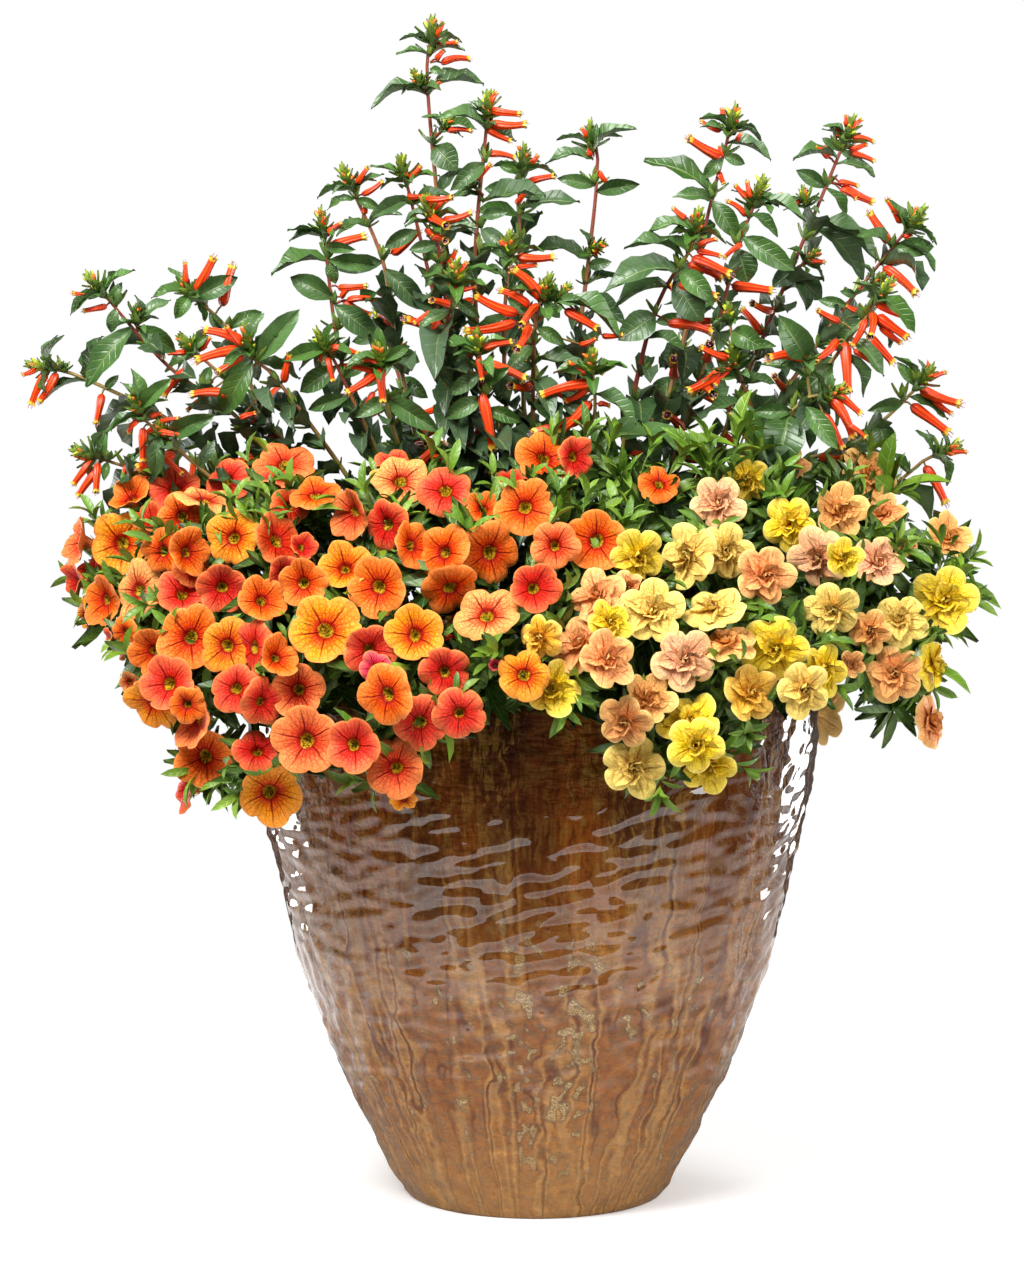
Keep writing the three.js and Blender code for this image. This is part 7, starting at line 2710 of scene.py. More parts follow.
@dataclass
class FirecrackerStem:
    """One upright leafy stem with its tube flowers and its green tip."""

    number: int
    row: StemRow
    root: np.ndarray
    bench: Workbench
    foot_radius: float = 2.3
    tip_radius: float = 1.0
    soil_row: float = 675.0
    pair_step: float = 13.0
    pair_gap: float = 10.0
    dense_row: float = 240.0
    extra_tubes: float = 0.3
    tip_pairs: int = 10
    tip_leaves: int = 4
    tip_buds: int = 9
    shoot_size: float = 0.75
    shoot_radii: tuple[float, float] = (1.3, 0.8)
    stalk_radii: tuple[float, float] = (0.7, 0.55)
    tube_radii: tuple[float, float] = (2.0, 3.5)
    tube_share: float = 0.135
    slender: float = 0.36
    fresh_reach: float = 130.0
    leaf_tint: str = "28481C"
    painted_sheen_tint: str = "5A7054"
    fresh_tint: str = "56842A"
    young_tint: str = "A8BE34"
    bud_tint: str = "C2CC30"
    red_bud_tint: str = "E8641C"
    tube_tint: str = "FA3C0A"
    mouth_radius: float = 1.9

    @property
    def key(self) -> int:
        """The number from which its own chances follow."""
        return 99 + self.number

    def line(self) -> list[np.ndarray]:
        """The stem's way from deep in the soil to its tip.

        Returns:
            The way's points, foot first.
        """
        first_row = self.row.path[0][1]
        seen = []
        for px, py in self.row.path:
            share = min(1.0, max(0.0, (self.soil_row - py) / (self.soil_row - first_row)))
            seen.append(VIEW.at(px, py, self.root[1] + (self.row.depth - self.root[1]) * share))
        target, beyond = seen[-1], seen[-2]
        bottom, collar = ROOTING.start(self.root)
        reach = float(np.linalg.norm(target - collar)) * 0.35
        leave = collar + UP * reach
        arrive = target - unit(beyond - target) * reach
        middle = (collar + 3 * leave + 3 * arrive + target) / 8
        return Line.straightened([bottom, collar, middle, target, *reversed(seen[:-1])])

    def leaf_colour(self, key: int, share: float) -> tuple:
        """A leaf's colour: dark, mixed at random towards a grey-blue painted sheen, and fresher nearer to the
        tip.

        Args:
            key: the leaf's number.
            share: how near it stands to the tip, 1 for at it.

        Returns:
            The colour's numbers.
        """
        old = paint(self.leaf_tint) * spread(0.7, 1.35, key, 41)
        # painted sheen: each leaf is mixed at random towards a grey-blue that stands in for its sheen
        mixed = old + (paint(self.painted_sheen_tint) - old) * 0.75 * chance(key, 42)
        share = min(1.0, max(0.0, share + 0.35 * (chance(key, 43) - 0.5)))
        return tuple(between(mixed, paint(self.fresh_tint), share))

    def young_colour(self, share: float) -> np.ndarray:
        """A young leaf's colour, yellower with a greater share."""
        return paint(self.young_tint) * share + paint(self.fresh_tint) * (1 - share)

    def add_tube(
        self,
        foliage: Bunch,
        flowers: Bunch,
        seat: np.ndarray,
        foot: np.ndarray,
        tip: np.ndarray,
        key: int,
    ) -> None:
        """Adds one tube flower and the thin stalk that carries it.

        Args:
            foliage: the bunch that takes the stalk.
            flowers: the bunch that takes the flower.
            seat: where the stalk leaves the stem.
            foot: the flower's foot.
            tip: the flower's mouth.
            key: the flower's number.
        """
        length = float(np.linalg.norm(tip - foot))
        least, most = self.tube_radii
        radius = min(most, max(least, self.tube_share * length))
        red = paint(self.tube_tint) * spread(0.85, 1.1, key, 46)
        side = VIEW.upward * spread(-1, 1, key, 47) - VIEW.forward
        shape = pick(self.bench.tubes, key, 45)
        flowers.add(shape, axes_along(tip - foot, side), foot, (length, radius, radius), red)
        bend = between(seat, foot, 0.6) + UP
        foliage.cane(np.array([seat, bend, foot + unit(tip - foot) * 0.8]), self.stalk_radii, 1)

    def add_tip(self, foliage: Bunch, end: np.ndarray, axis: np.ndarray, size: float, key: int) -> None:
        """Adds the young leaves and buds at a stem's tip.

        Args:
            foliage: the bunch that takes them.
            end: the tip.
            axis: the direction in which the stem ends.
            size: a factor on all their sizes.
            key: the tip's number.
        """
        side = unit(np.cross(axis, VIEW.forward + 0.2 * VIEW.right))
        for pair in range(self.tip_pairs):
            level = -9 + 1.4 * pair
            lean = math.radians(78 - 6.0 * pair)
            length = (13 - 0.7 * pair) * size
            foot = end + axis * level * size
            for half in range(2):
                turn = math.pi * half + 1.45 * pair + 0.6 * chance(key, pair, half, 51)
                way = axis * math.cos(lean) + about(side, axis, turn) * math.sin(lean)
                tip = foot + way * length * spread(0.7, 1.15, key, pair, half, 52)
                tint = self.young_colour(min(1.0, 0.1 * pair + 0.3 * chance(key, pair, half, 57)))
                foliage.blade(self.bench.young, foot, tip, axis - way * 0.3, length * 0.5, tint)
        for half in range(self.tip_leaves):
            own = key * 4 + half
            out = about(side, axis, math.pi * half / 2 + 0.8 * chance(key, half, 58))
            way = unit(out + axis * spread(-0.1, 0.35, key, half, 59))
            length = spread(15, 24, key, half, 60) * size
            foot = end - axis * (9 + 4 * (half % 2)) * size
            shape = pick(self.bench.leaves, own, 44)
            foliage.blade(shape, foot, foot + way * length, axis, length * 0.4, self.leaf_colour(own, 0.6))
        for k in range(self.tip_buds):
            out = about(side, axis, 2.4 * k + chance(key, k, 53))
            way = unit(axis * spread(0.5, 1.3, key, k, 54) + out * 0.75)
            foot = end + axis * (spread(-8, 3, key, k, 55) * size)
            scale = (spread(5.0, 9.0, key, k, 56) * size, 1.4 * size, 1.4 * size)
            tint = linear(self.bud_tint if k % 3 else self.red_bud_tint)
            foliage.add(self.bench.bud, axes_along(way, VIEW.upward), foot, scale, tint)

    def add_rosette(self, bunch: Bunch, seat: np.ndarray, axis: np.ndarray, count: int, key: int) -> None:
        """Adds the tiny leaves that stand in the angle of an older leaf.

        Args:
            bunch: the bunch that takes them.
            seat: where they stand.
            axis: the direction round which they stand.
            count: how many there are.
            key: the rosette's number.
        """
        side = unit(np.cross(axis, VIEW.forward + 0.3 * VIEW.upward))
        for k in range(count):
            lean = math.radians(spread(20, 75, key, k, 65))
            out = about(side, axis, 2.4 * k + phase(key, 66))
            way = axis * math.cos(lean) + out * math.sin(lean)
            length = spread(7, 14, key, k, 67)
            tint = self.young_colour(0.7 * chance(key, k, 68))
            up = axis - way * 0.3
            bunch.blade(self.bench.young, seat, seat + way * length, up, length * 0.38, tint)

    def grow_shoots(self, foliage: Bunch, samples: list[np.ndarray]) -> list[tuple]:
        """Adds the side shoots.

        Args:
            foliage: the bunch that takes them.
            samples: points along the stem, which the shoots' points join.

        Returns:
            The end, the direction and the size of each shoot's tip.
        """
        ends = []
        for (start_x, start_y), (end_x, end_y) in self.row.shoots:
            start = samples[nearest_seen(samples, start_x, start_y)]
            end = VIEW.at(end_x, end_y, start[1] - 3)
            samples += Line.samples([start, end])
            bow = between(start, end, 0.5) - UP * (0.06 * np.linalg.norm(end - start))
            foliage.cane(Line.smooth([start, bow, end], 7.0), self.shoot_radii, 1)
            ends.append((end, unit(end - bow), self.shoot_size))
        return ends

    def build(self) -> list[bpy.types.Object]:
        """Grows the stem.

        Returns:
            Its foliage and, where it flowers, its flowers.
        """
        name = f"firecracker_stem_{self.number}"
        node = NodeShape(name)
        foliage = Bunch(name + "_foliage", self.bench.firecracker)
        flowers = Bunch(name + "_tubes", self.bench.flower)
        line = self.line()
        top = line[-1]
        radii = (self.foot_radius, self.foot_radius * 0.8, self.tip_radius)
        foliage.cane(Line.smooth(line, 9.0), radii, 1, 1)
        samples = Line.samples(line[1:])
        main = list(samples)
        ends = [(top, unit(top - line[-2]), 1.0), *self.grow_shoots(foliage, samples)]
        for i, (end, axis, size) in enumerate(ends):
            self.add_tip(foliage, end, axis, size, self.key * 8 + i)
        for i, row in enumerate(self.row.tubes):
            key = self.key * 64 + i
            trials = tube_trials(row, samples, key)
            rings = [tip + self.mouth_side(foot, tip) for foot, tip in trials]
            foot, tip = trials[node.first_met(rings) or 0]
            self.add_tube(foliage, flowers, samples[nearest(samples, foot)], foot, tip, key)
        feet = []
        for i, row in enumerate(self.row.leaves):
            key = self.key * 64 + i
            seat, tip, seen = seen_leaf(row, samples, node, key)
            feet.append(seat)
            width = max(seen, self.slender * float(np.linalg.norm(tip - seat)))
            shape = pick(self.bench.leaves, key, 44)
            tint = self.leaf_colour(key, (1 - np.linalg.norm(seat - top) / self.fresh_reach) * 0.5)
            foliage.blade(shape, seat, tip, leaf_up(seat, tip, seen), width, tint)
            if i % 2:
                self.add_rosette(foliage, seat, UP, 5, key)
        self.fill(foliage, flowers, main, feet)
        pieces = [foliage.piece([name], "foliage")]
        if flowers.shapes:
            pieces.append(flowers.piece([], "foliage"))
        return pieces

    def mouth_side(self, foot: np.ndarray, tip: np.ndarray) -> np.ndarray:
        """From a tube's mouth to the upper corner of its rim in the solid."""
        axis = unit(tip - foot)
        return unit(VIEW.upward - axis * (VIEW.upward @ axis)) * self.mouth_radius

    def fill(
        self, foliage: Bunch, flowers: Bunch, main: Sequence[np.ndarray], feet: Sequence[np.ndarray],
    ) -> None:
        """Adds opposite leaf pairs, and a tube here and there, where the plants stand dense.

        Args:
            foliage: the bunch that takes the leaves.
            flowers: the bunch that takes the tubes.
            main: points along the stem, foot first.
            feet: the feet of the leaves that stand already.
        """
        run = 0.0
        for i in range(2, len(main) - 5):
            run += float(np.linalg.norm(main[i] - main[i - 1]))
            if run < self.pair_step:
                continue
            run = 0.0
            here = main[i]
            _, py = VIEW.pixels_of(here)[0]
            if py < self.dense_row or any(np.linalg.norm(here - foot) < self.pair_gap for foot in feet):
                continue
            axis = unit(main[i + 1] - main[i - 1])
            side = unit(np.cross(axis, VIEW.forward + 0.3 * VIEW.right))
            for half in range(2):
                key = (self.key * 64 + i) * 2 + half
                out = about(side, axis, math.pi * half + 1.57 * i + 0.8 * chance(key, 61))
                lean = math.radians(spread(50, 88, key, 62))
                way = axis * math.cos(lean) + out * math.sin(lean) - UP * spread(0.1, 0.6, key, 64)
                length = spread(28, 48, key, 63)
                shape = pick(self.bench.leaves, key, 44)
                tint = self.leaf_colour(key, -0.1)
                foliage.blade(shape, here, here + way * length, axis, length * 0.42, tint)
            self.add_rosette(foliage, here, axis, 4, self.key * 64 + i)
            key = self.key * 256 + i
            if chance(key, 69) < self.extra_tubes:
                out = about(side, axis, phase(key, 70))
                foot = here + out * 3
                way = unit(out + axis * spread(-0.2, 0.7, key, 71))
                self.add_tube(foliage, flowers, here, foot, foot + way * spread(18, 27, key, 72), key)


@dataclass
class CalibrachoaBranch:
    """One trailing branch with its blooms, its small leaves and the stalks between them."""

    kind: Kind
    number: int
    row: BranchRow | None
    blooms: list[Bloom]
    root: np.ndarray
    key: int
    bench: Workbench
    rim_clearance: float = 12.0
    rim_reach: float = 16.0
    neck_depth: float = 7.5
    stalk_depth: float = 12.0
    branch_radii: tuple[float, ...] = (1.9, 1.5, 1.1)
    stalk_radii: tuple[float, ...] = (0.9, 0.75, 1.1)
    twig_radii: tuple[float, ...] = (0.9, 0.6)
    trials: tuple = (
        (12, 0), (18, 0), (12, 8), (24, 4), (18, 14), (30, 8), (24, 20), (36, 0), (8, 6), (30, 26), (42, 12),
    )
    shifts: tuple = (0, -6, 6, -12, 12, -18, 18, -24, 24, -32, 32, -40, 40)
    twig_step: float = 12.0
    thicket_step: float = 8.0
    thicket_leaves: int = 6
    thicket_slack: float = 4.0
    slender: float = 0.32
    far_low: float = 310.0
    far_side: float = 215.0
    nod: float = 0.3
    leaf_tint: str = "5A861A"
    fresh_tint: str = "9CB82A"
    mound_shade_tint: str = "24440E"
    node: NodeShape | None = None
    way: list[np.ndarray] = field(default_factory=list)
    centres: list[np.ndarray] = field(default_factory=list)

    @property
    def name(self) -> str:
        """The name of its solid."""
        return f"{self.kind.value}_calibrachoa_{self.number}"

    def middle(self) -> np.ndarray:
        """The middle of its blooms."""
        return np.mean([bloom.centre for bloom in self.blooms], axis=0)

    def line(self, inset: float, lift: float, pot: GlazedPot) -> list[np.ndarray]:
        """The branch's way from its root over the rim and on behind its blooms.

        Args:
            inset: how far behind the blooms it runs.
            lift: how far above its lowest way it starts.
            pot: the pot that it hangs over.

        Returns:
            The way's points, foot first.
        """
        bottom, collar = ROOTING.start(self.root)
        middle = self.middle()
        away = math.hypot(middle[0], middle[1])
        outward = np.array([middle[0] / away, middle[1] / away, 0.0])
        rise = UP * (pot.rim_top + self.rim_clearance + 2 + lift)
        if away > pot.rim_radius - 20 and middle[2] < pot.rim_top + 90:
            over = [outward * (pot.rim_radius + side) + rise for side in (-self.rim_reach, self.rim_reach)]
            way = [bottom, collar, *over]
        else:
            lower = between(collar, middle, 0.4)
            lower[2] = collar[2] + 30 + lift
            way = [bottom, collar, lower]
        return [*way, *self.stops(way[-1], inset, pot)]

    def stops(self, start: np.ndarray, inset: float, pot: GlazedPot) -> list[np.ndarray]:
        """The places behind its blooms, each next one the nearest that is left.

        Args:
            start: where the branch comes from.
            inset: how far behind the blooms it runs.
            pot: the pot that it hangs over.

        Returns:
            The places, in the branch's order.
        """
        left = []
        for bloom in self.blooms:
            point = bloom.centre - bloom.normal * (self.neck_depth + inset)
            if point[2] <= pot.rim_top + self.rim_clearance:
                least = pot.outer(min(pot.rim_top, max(0.0, point[2]))) + self.branch_radii[0] + 4
                away = math.hypot(point[0], point[1])
                if away < least:
                    point = np.array([point[0] * least / away, point[1] * least / away, point[2]])
            left.append(point)
        stops = []
        last = start
        while left:
            found = left.pop(nearest(left, last))
            if np.linalg.norm(found - last) > 10:
                stops.append(found)
                last = found
        return stops

    def settled_line(self, node: NodeShape, pot: GlazedPot) -> list[np.ndarray]:
        """The way that the branch's solid takes.

        Args:
            node: the solid.
            pot: the pot that it hangs over.

        Returns:
            The way's points, foot first.
        """
        ways = [Line.rounded(Line.straightened(self.line(*trial, pot))) for trial in self.trials]
        gaps = [float(np.mean([node.gap(point) for point in way[2:]])) for way in ways]
        return ways[int(np.argmin(gaps))]

    def settled_bloom(self, bloom: Bloom, node: NodeShape) -> np.ndarray:
        """The centre that a bloom has in the branch's solid.

        Args:
            bloom: the bloom as it was planned.
            node: the solid.

        Returns:
            The centre.
        """
        centres = []
        for shift in self.shifts:
            if bloom.pixel is None:
                centres.append(bloom.centre + bloom.normal * shift)
            else:
                centres.append(VIEW.at(*bloom.pixel, bloom.depth + shift))
        hearts = [centre + bloom.normal * HEARTS[self.kind] for centre in centres]
        return centres[node.first_met(hearts, 0.4) or 0]

    def settle(self, pot: GlazedPot, faces: BloomFaces) -> None:
        """Finds the places that the branch and its blooms have in its solid.

        Args:
            pot: the pot that it hangs over.
            faces: takes the blooms' faces.
        """
        self.node = NodeShape(self.name)
        self.way = self.settled_line(self.node, pot)
        self.centres = [self.settled_bloom(bloom, self.node) for bloom in self.blooms]
        for bloom, centre in zip(self.blooms, self.centres):
            faces.add(centre, bloom.normal, bloom.size / 2)

    def leaf_colour(self, key: int, deep: float) -> tuple:
        """A leaf's colour, with painted shade that makes it darker deep in the mound.

        Args:
            key: the leaf's number.
            deep: the share of painted shade, 0 for the mound's face, 1 for its heart.

        Returns:
            The colour's numbers.
        """
        mid = paint(self.leaf_tint) * spread(0.75, 1.2, key, 71)
        mid = mid + (paint(self.fresh_tint) - mid) * 0.6 * chance(key, 72)
        # painted shade: the leaf is mixed towards a dark green by how deep in the mound it stands
        return tuple(between(mid, paint(self.mound_shade_tint), deep))

    def add_bloom(
        self,
        blooms: Bunch,
        leaves: Bunch,
        bloom: Bloom,
        centre: np.ndarray,
        samples: Sequence[np.ndarray],
        key: int,
    ) -> None:
        """Adds one bloom and its stalk.

        Args:
            blooms: the bunch that takes the bloom.
            leaves: the bunch that takes the stalk.
            bloom: the bloom as it was planned.
            centre: the centre that it has in the solid.
            samples: points along the branch.
            key: the bloom's number.
        """
        normal = unit(bloom.normal + self.nod * sway(key, 76))
        other = VIEW.right if abs(normal[2]) > 0.9 else UP
        side = about(unit(np.cross(normal, other)), normal, bloom.turn)
        radius = bloom.size / 2 * FULLNESS[self.kind]
        axes = np.array([side, np.cross(normal, side), normal])
        shape = pick(self.bench.blooms[self.kind], key, 74)
        deep = min(1.0, 13.0 / radius)
        tint = paint(TINTS[bloom.tint]) * spread(0.88, 1.08, key, 75)
        blooms.add(shape, axes, centre, (radius, radius, radius * deep), tint)
        neck = centre - normal * 0.6 * radius * deep
        foot = samples[nearest(samples, neck - normal * self.stalk_depth)]
        bend = neck - normal * 0.4 * float(np.linalg.norm(neck - foot))
        stalk = Line.smooth([foot, between(foot, bend, 0.6), bend, neck], 6.0)
        leaves.cane(stalk, self.stalk_radii, 1)

    def add_twig(
        self, leaves: Bunch, start: np.ndarray, end: np.ndarray, key: int, faces: BloomFaces | None,
    ) -> None:
        """Adds a twig with small leaves along it and a rosette at its end.

        Args:
            leaves: the bunch that takes them.
            start: where it leaves the branch.
            end: where it ends.
            key: the twig's number.
            faces: the blooms that it must not hide, or None.
        """
        out = unit(end - start)
        sag = between(start, end, 0.5) - UP * (0.08 * np.linalg.norm(end - start))
        way = Line.smooth([start, sag, end], 4.5)
        if faces:
            hidden = faces.before(way)
            way = way[:int(hidden.argmax())] if hidden.any() else way
            if len(way) < 3:
                return
        leaves.cane(way[::2] if len(way) > 4 else way, self.twig_radii, 1)
        side = unit(np.cross(out, np.array([0.2, 0.1, 1.0])))
        for i in range(1, len(way)):
            axis = unit(way[i] - way[i - 1])
            foot = way[i]
            leaf_key = key * 32 + i
            turn = 2.4 * i + chance(leaf_key, 81)
            last = i == len(way) - 1
            for half in range(4 if last else 1):
                out = about(side, axis, turn + 1.6 * half)
                lean = spread(28, 48, leaf_key, half, 82) if last else spread(48, 75, leaf_key, 82)
                heading = axis * math.cos(math.radians(lean)) + out * math.sin(math.radians(lean))
                long = spread(12, 22, leaf_key, half, 83)
                tip = foot + heading * long
                if faces and faces.before(np.array([between(foot, tip, 0.5), tip])).any():
                    continue
                own = leaf_key * 4 + half
                shape = pick(self.bench.small_leaves, own, 73)
                # painted shade: leaves nearer the branch, deeper in the mound, are darker
                tint = self.leaf_colour(own, 0.5 * (1 - i / len(way)))
                leaves.blade(shape, foot, tip, axis - heading * 0.2, long * 0.27, tint)

    def build(self, faces: BloomFaces) -> list[bpy.types.Object]:
        """Grows the branch.

        Args:
            faces: the faces of all blooms.

        Returns:
            Its leaves and its blooms.
        """
        leaves = Bunch(self.name + "_leaves", self.bench.trailing)
        blooms = Bunch(self.name + "_blooms", self.bench.petals[self.kind])
        leaves.cane(Line.smooth(self.way, 8.0), self.branch_radii, 1, 0)
        samples = Line.samples(self.way[4:])
        shoots = self.row.shoots if self.row else ()
        for i, ((start_x, start_y), (end_x, end_y)) in enumerate(shoots):
            start = samples[nearest_seen(samples, start_x, start_y)]
            end = VIEW.at(end_x, end_y, start[1] - 3)
            samples += Line.samples([start, end])
            self.add_twig(leaves, start, end, self.key * 40 + i, None)
        hold = []
        for i, (bloom, centre) in enumerate(zip(self.blooms, self.centres)):
            self.add_bloom(blooms, leaves, bloom, centre, samples, self.key * 64 + i)
            neck = centre - bloom.normal * self.neck_depth
            foot = samples[nearest(samples, neck - bloom.normal * self.stalk_depth)]
            hold += Line.samples([neck, between(neck, foot, 0.5)])
        self.fill(leaves, samples, faces)
        self.thicken(leaves, Line.samples(self.way[2:]), faces)
        carriers = samples + hold
        for i, row in enumerate(self.row.leaves if self.row else ()):
            key = self.key * 64 + i
            seat, tip, seen = seen_leaf(row, carriers, self.node, key)
            width = max(seen, self.slender * float(np.linalg.norm(tip - seat)))
            shape = pick(self.bench.small_leaves, key, 73)
            leaves.blade(shape, seat, tip, leaf_up(seat, tip, seen), width, self.leaf_colour(key, 0.0))
        slot = f"{self.kind.value}_bloom"
        return [leaves.piece([], "foliage"), blooms.piece([self.name], slot)]

    def bare(self, point: np.ndarray) -> bool:
        """Whether a far branch hangs out so low at the side that the photo shows nothing there."""
        return self.row is None and point[2] < self.far_low and abs(point[0]) > self.far_side

    def thicken(self, leaves: Bunch, samples: Sequence[np.ndarray], faces: BloomFaces) -> None:
        """Adds the leaves deep in the mound, darkened with painted shade.

        Args:
            leaves: the bunch that takes them.
            samples: points along the branch.
            faces: the blooms that they must not hide.
        """
        for i in range(0, len(samples), max(1, round(self.thicket_step / SAMPLE_STEP))):
            if self.bare(samples[i]):
                continue
            for k in range(self.thicket_leaves):
                key = self.key * 2048 + i * 8 + k
                heading = unit(sway(key, 95))
                foot = samples[i] + heading * spread(0, 6, key, 98)
                tip = foot + heading * spread(16, 30, key, 99)
                trial = np.array([between(foot, tip, part) for part in (0.3, 0.6, 1)])
                if faces.before(trial, self.thicket_slack).any():
                    continue
                width = self.slender * float(np.linalg.norm(tip - foot))
                axes = axes_along(tip - foot, np.cross(heading, [0.3, 0.2, 1.0]) + UP * 0.7)
                # painted shade: these deep leaves take half to all of the dark shade green
                tint = self.leaf_colour(key, spread(0.5, 1, key, 100))
                leaves.add(self.bench.young, axes, foot, (width / 0.3, width, width / 0.3), tint)

    def fill(self, leaves: Bunch, samples: Sequence[np.ndarray], faces: BloomFaces) -> None:
        """Adds leafy twigs between the blooms.

        Args:
            leaves: the bunch that takes them.
            samples: points along the branch.
            faces: the blooms that they must not hide.
        """
        for i in range(0, len(samples), max(1, round(self.twig_step / SAMPLE_STEP))):
            key = self.key * 256 + i
            start = samples[i]
            heading = unit(MOUND.outward(start) + 0.7 * sway(key, 91))
            end = start + heading * spread(16, 30, key, 94)
            if not self.bare(end):
                self.add_twig(leaves, start, end, key, faces)


@dataclass
class Planting:
    """The whole planting: it sets the roots apart and grows every stem and branch."""

    bench: Workbench
    pot: GlazedPot
    root_spread: float = 0.4
    root_limit: float = 118.0
    root_gap: float = 11.0
    rounds: int = 60
    branch_ring: float = 146.0
    single_key: int = 200
    double_key: int = 240

    def rooted(self) -> tuple[list[FirecrackerStem], list[CalibrachoaBranch]]:
        """Gives every stem and branch its root.

        Returns:
            The stems and the branches.
        """
        roots = []
        for row in STEMS:
            tip = VIEW.at(*row.path[0], row.depth)[:2]
            away = float(np.hypot(*tip))
            roots.append(tip * min(self.root_spread * away, self.root_limit) / away)
        plans = self.plans(Kind.SINGLE, SINGLES, FAR_SINGLES, self.single_key)
        plans += self.plans(Kind.DOUBLE, DOUBLES, FAR_DOUBLES, self.double_key)
        for _, _, _, blooms, _ in plans:
            middle = np.mean([bloom.centre for bloom in blooms], axis=0)[:2]
            roots.append(middle * self.branch_ring / float(np.hypot(*middle)))
        roots = self.spaced(roots)
        stems = [FirecrackerStem(i + 1, row, roots[i], self.bench) for i, row in enumerate(STEMS)]
        branches = [
            CalibrachoaBranch(kind, number, row, blooms, root, key, self.bench)
            for (kind, number, row, blooms, key), root in zip(plans, roots[len(STEMS):])
        ]
        return stems, branches

    @staticmethod
    def plans(kind: Kind, rows: Sequence[BranchRow], far: Sequence[FarRow], first: int) -> list[tuple]:
        """The branches of one kind, those that are seen first.

        Args:
            kind: the plant.
            rows: the branches that are seen.
            far: the branches on the far side.
            first: the first branch's number.

        Returns:
            Kind, number, row, blooms and key of each.
        """
        found = []
        for i, row in enumerate(rows):
            found.append((kind, i + 1, row, MOUND.near_blooms(row.blooms, first + i), first + i))
        for i, row in enumerate(far):
            key = first + len(rows) + i
            blooms = MOUND.far_blooms(row, FAR_TINTS[kind], key)
            found.append((kind, len(rows) + i + 1, None, blooms, key))
        return found

    def spaced(self, roots: Sequence[np.ndarray]) -> list[np.ndarray]:
        """Moves roots apart until no two stand closer than their gap.

        Args:
            roots: the roots as they were planned.

        Returns:
            The roots in the same order.
        """
        roots = [np.array(root, float) for root in roots]
        for _ in range(self.rounds):
            for i, one in enumerate(roots):
                for other in roots[i + 1:]:
                    way = other - one
                    apart = max(0.01, float(np.hypot(*way)))
                    if apart < self.root_gap:
                        push = way * (self.root_gap - apart) / (2 * apart)
                        one -= push
                        other += push
        return roots

    def build(self) -> None:
        """Grows everything."""
        stems, branches = self.rooted()
        for stem in stems:
            stem.build()
        faces = BloomFaces()
        for branch in branches:
            branch.settle(self.pot, faces)
        for branch in branches:
            branch.build(faces)


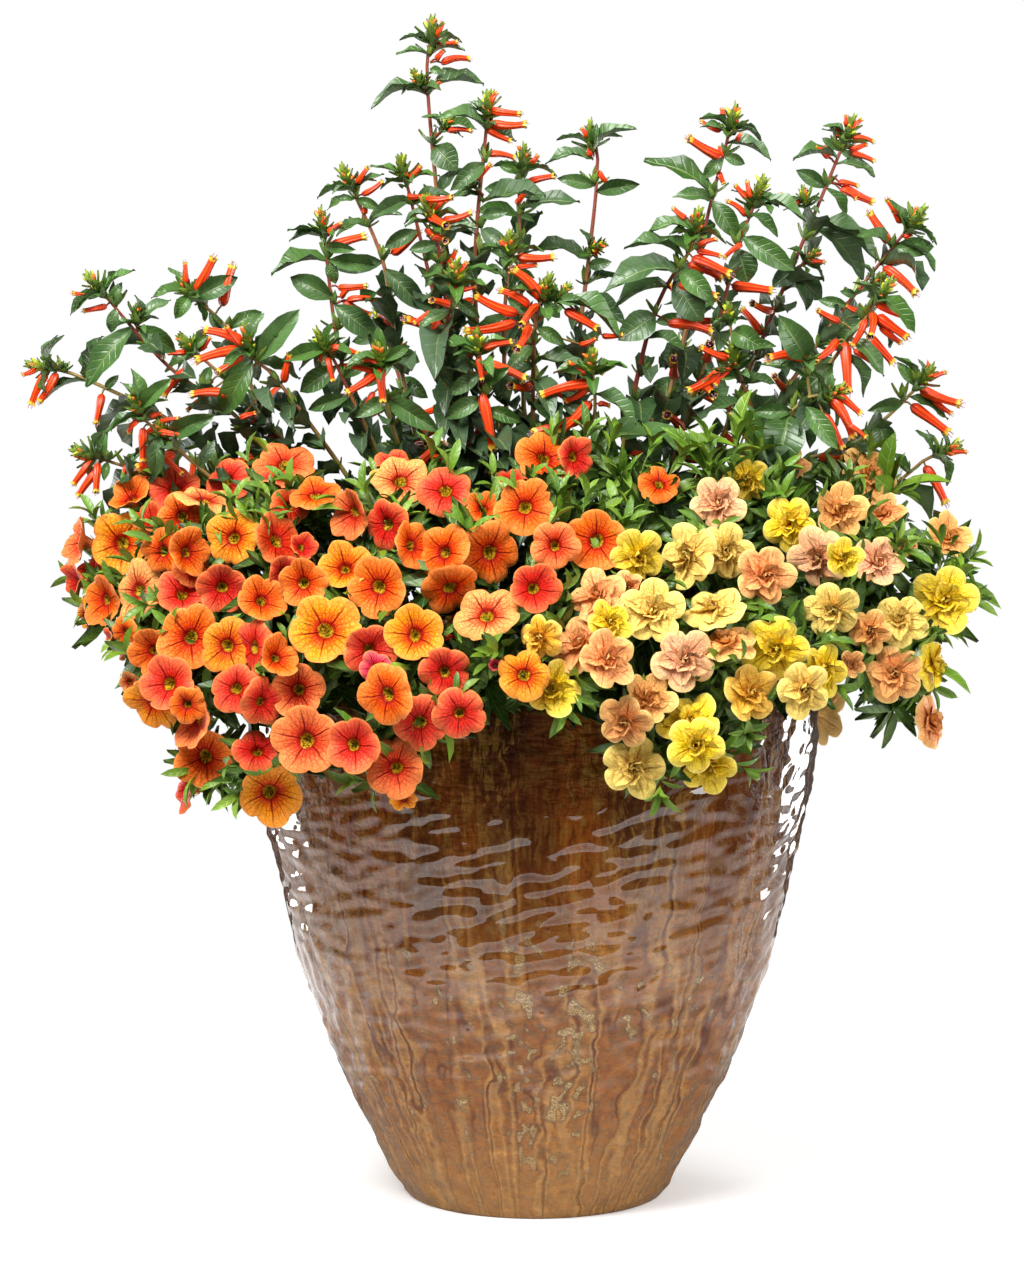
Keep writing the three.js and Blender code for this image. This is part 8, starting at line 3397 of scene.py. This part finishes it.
@dataclass
class Studio:
    """A white table and soft light from above, both sides and behind."""

    floor_size: tuple[float, float] = (0.75, 0.56)
    floor_back: float = 0.14
    floor_glow: float = 0.45
    # bright_reach and side_reach set where the table's painted shade, seen in reflections, fades out.
    bright_reach: tuple[float, float] = (0.2, 0.44)
    side_reach: tuple[float, float] = (0.3, 0.65)
    shadow_reach: tuple[float, float] = (0.07, 0.17)
    room_light: float = 0.3
    room_gloss: float = 0.02
    key_power: float = 82.0
    fill_power: float = 24.0
    side_power: float = 18.0
    aim: tuple[float, float, float] = (0.0, 0.0, 0.36)
    low_aim: tuple[float, float, float] = (0.0, 0.0, 0.2)
    white: tuple = (1.0, 1.0, 1.0, 1.0)
    pale: tuple = (0.91, 0.91, 0.91, 1.0)
    black: tuple = (0.0, 0.0, 0.0, 1.0)

    def lamp(
        self,
        name: str,
        place: Sequence[float],
        aim: Sequence[float],
        size: Sequence[float],
        power: float,
    ) -> None:
        """Puts up a soft lamp.

        Args:
            name: its name.
            place: where it hangs, in metres.
            aim: the point that it faces.
            size: its width and height.
            power: its power in watts.
        """
        data = bpy.data.lights.new(name, "AREA")
        data.shape = "RECTANGLE"
        data.size, data.size_y = size
        data.energy = power
        turn = (Vector(aim) - Vector(place)).to_track_quat("-Z", "Y")
        shown(name, data).matrix_world = Matrix.Translation(place) @ turn.to_matrix().to_4x4()

    def floor(self) -> None:
        """Lays the table's top."""
        bm = bmesh.new()
        bmesh.ops.create_grid(bm, x_segments=2, y_segments=2, size=1.0)
        bmesh.ops.scale(bm, vec=(*self.floor_size, 1.0), verts=bm.verts)
        bmesh.ops.translate(bm, vec=(0.0, self.floor_back, 0.0), verts=bm.verts)
        mesh = bpy.data.meshes.new("table_top")
        bm.to_mesh(mesh)
        bm.free()
        recipe = Recipe("table_white")
        place = recipe.object_place()
        x, y, _ = recipe.parts(place)
        away = (x * x + y * y) ** 0.5
        seen = recipe.make("ShaderNodeLightPath", {}, {}, "Is Camera Ray")
        mirrored = recipe.make("ShaderNodeLightPath", {}, {}, "Is Glossy Ray")
        # Painted shade: to glossy rays the table turns dark near the pot, where the pot and plants shade it,
        # and darker towards its sides.
        near = away.between(*self.bright_reach) * 0.75 + 0.25
        bright = near * (1 - x.size().between(*self.side_reach) * 0.7)
        glow = seen * (away.between(*self.shadow_reach) * 0.6 + 0.4)
        mesh.materials.append(recipe.surface(
            Base_Color=recipe.mix(mirrored * (1 - bright), self.pale, self.black),
            Roughness=0.8,
            Emission_Strength=self.floor_glow,
            Emission_Color=recipe.mix(glow, self.black, self.white),
        ))
        shown("table_top", mesh)

    def sky(self) -> None:
        """Makes the room white to the eye and dimmer as a light."""
        world = bpy.data.worlds.new("room")
        bpy.context.scene.world = world
        world.use_nodes = True
        tree = world.node_tree
        back = tree.nodes["Background"]
        path = tree.nodes.new("ShaderNodeLightPath")
        share = tree.nodes.new("ShaderNodeMapRange")
        tree.links.new(path.outputs["Is Camera Ray"], share.inputs[0])
        share.inputs[3].default_value = self.room_light
        share.inputs[4].default_value = 1.0
        dim = tree.nodes.new("ShaderNodeMapRange")
        tree.links.new(path.outputs["Is Glossy Ray"], dim.inputs[0])
        tree.links.new(share.outputs[0], dim.inputs[3])
        dim.inputs[4].default_value = self.room_gloss
        tree.links.new(dim.outputs[0], back.inputs["Strength"])
        back.inputs["Color"].default_value = self.white

    def build(self) -> None:
        """Sets the studio up."""
        self.floor()
        self.sky()
        self.lamp("key", (-0.7, -1.2, 2.0), self.aim, (1.2, 1.0), self.key_power)
        self.lamp("fill", (1.6, -1.2, 1.1), self.aim, (1.0, 1.2), self.fill_power)
        self.lamp("left_back", (-1.15, 1.0, 0.05), self.low_aim, (0.5, 1.4), self.side_power)
        self.lamp("right_back", (1.15, 1.0, 0.05), self.low_aim, (0.5, 1.4), self.side_power)
        bpy.context.scene.view_settings.view_transform = "Standard"


def main() -> None:
    """Builds the planting in its studio."""
    logging.basicConfig(level=logging.INFO, format="%(name)s %(message)s")
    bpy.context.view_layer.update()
    VIEW.add_camera()
    Studio().build()
    bench = Workbench()
    bench.prepare()
    pot = GlazedPot()
    pot.build()
    SoilFill().build(pot)
    Planting(bench, pot).build()
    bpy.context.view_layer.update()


if __name__ == "__main__":
    main()
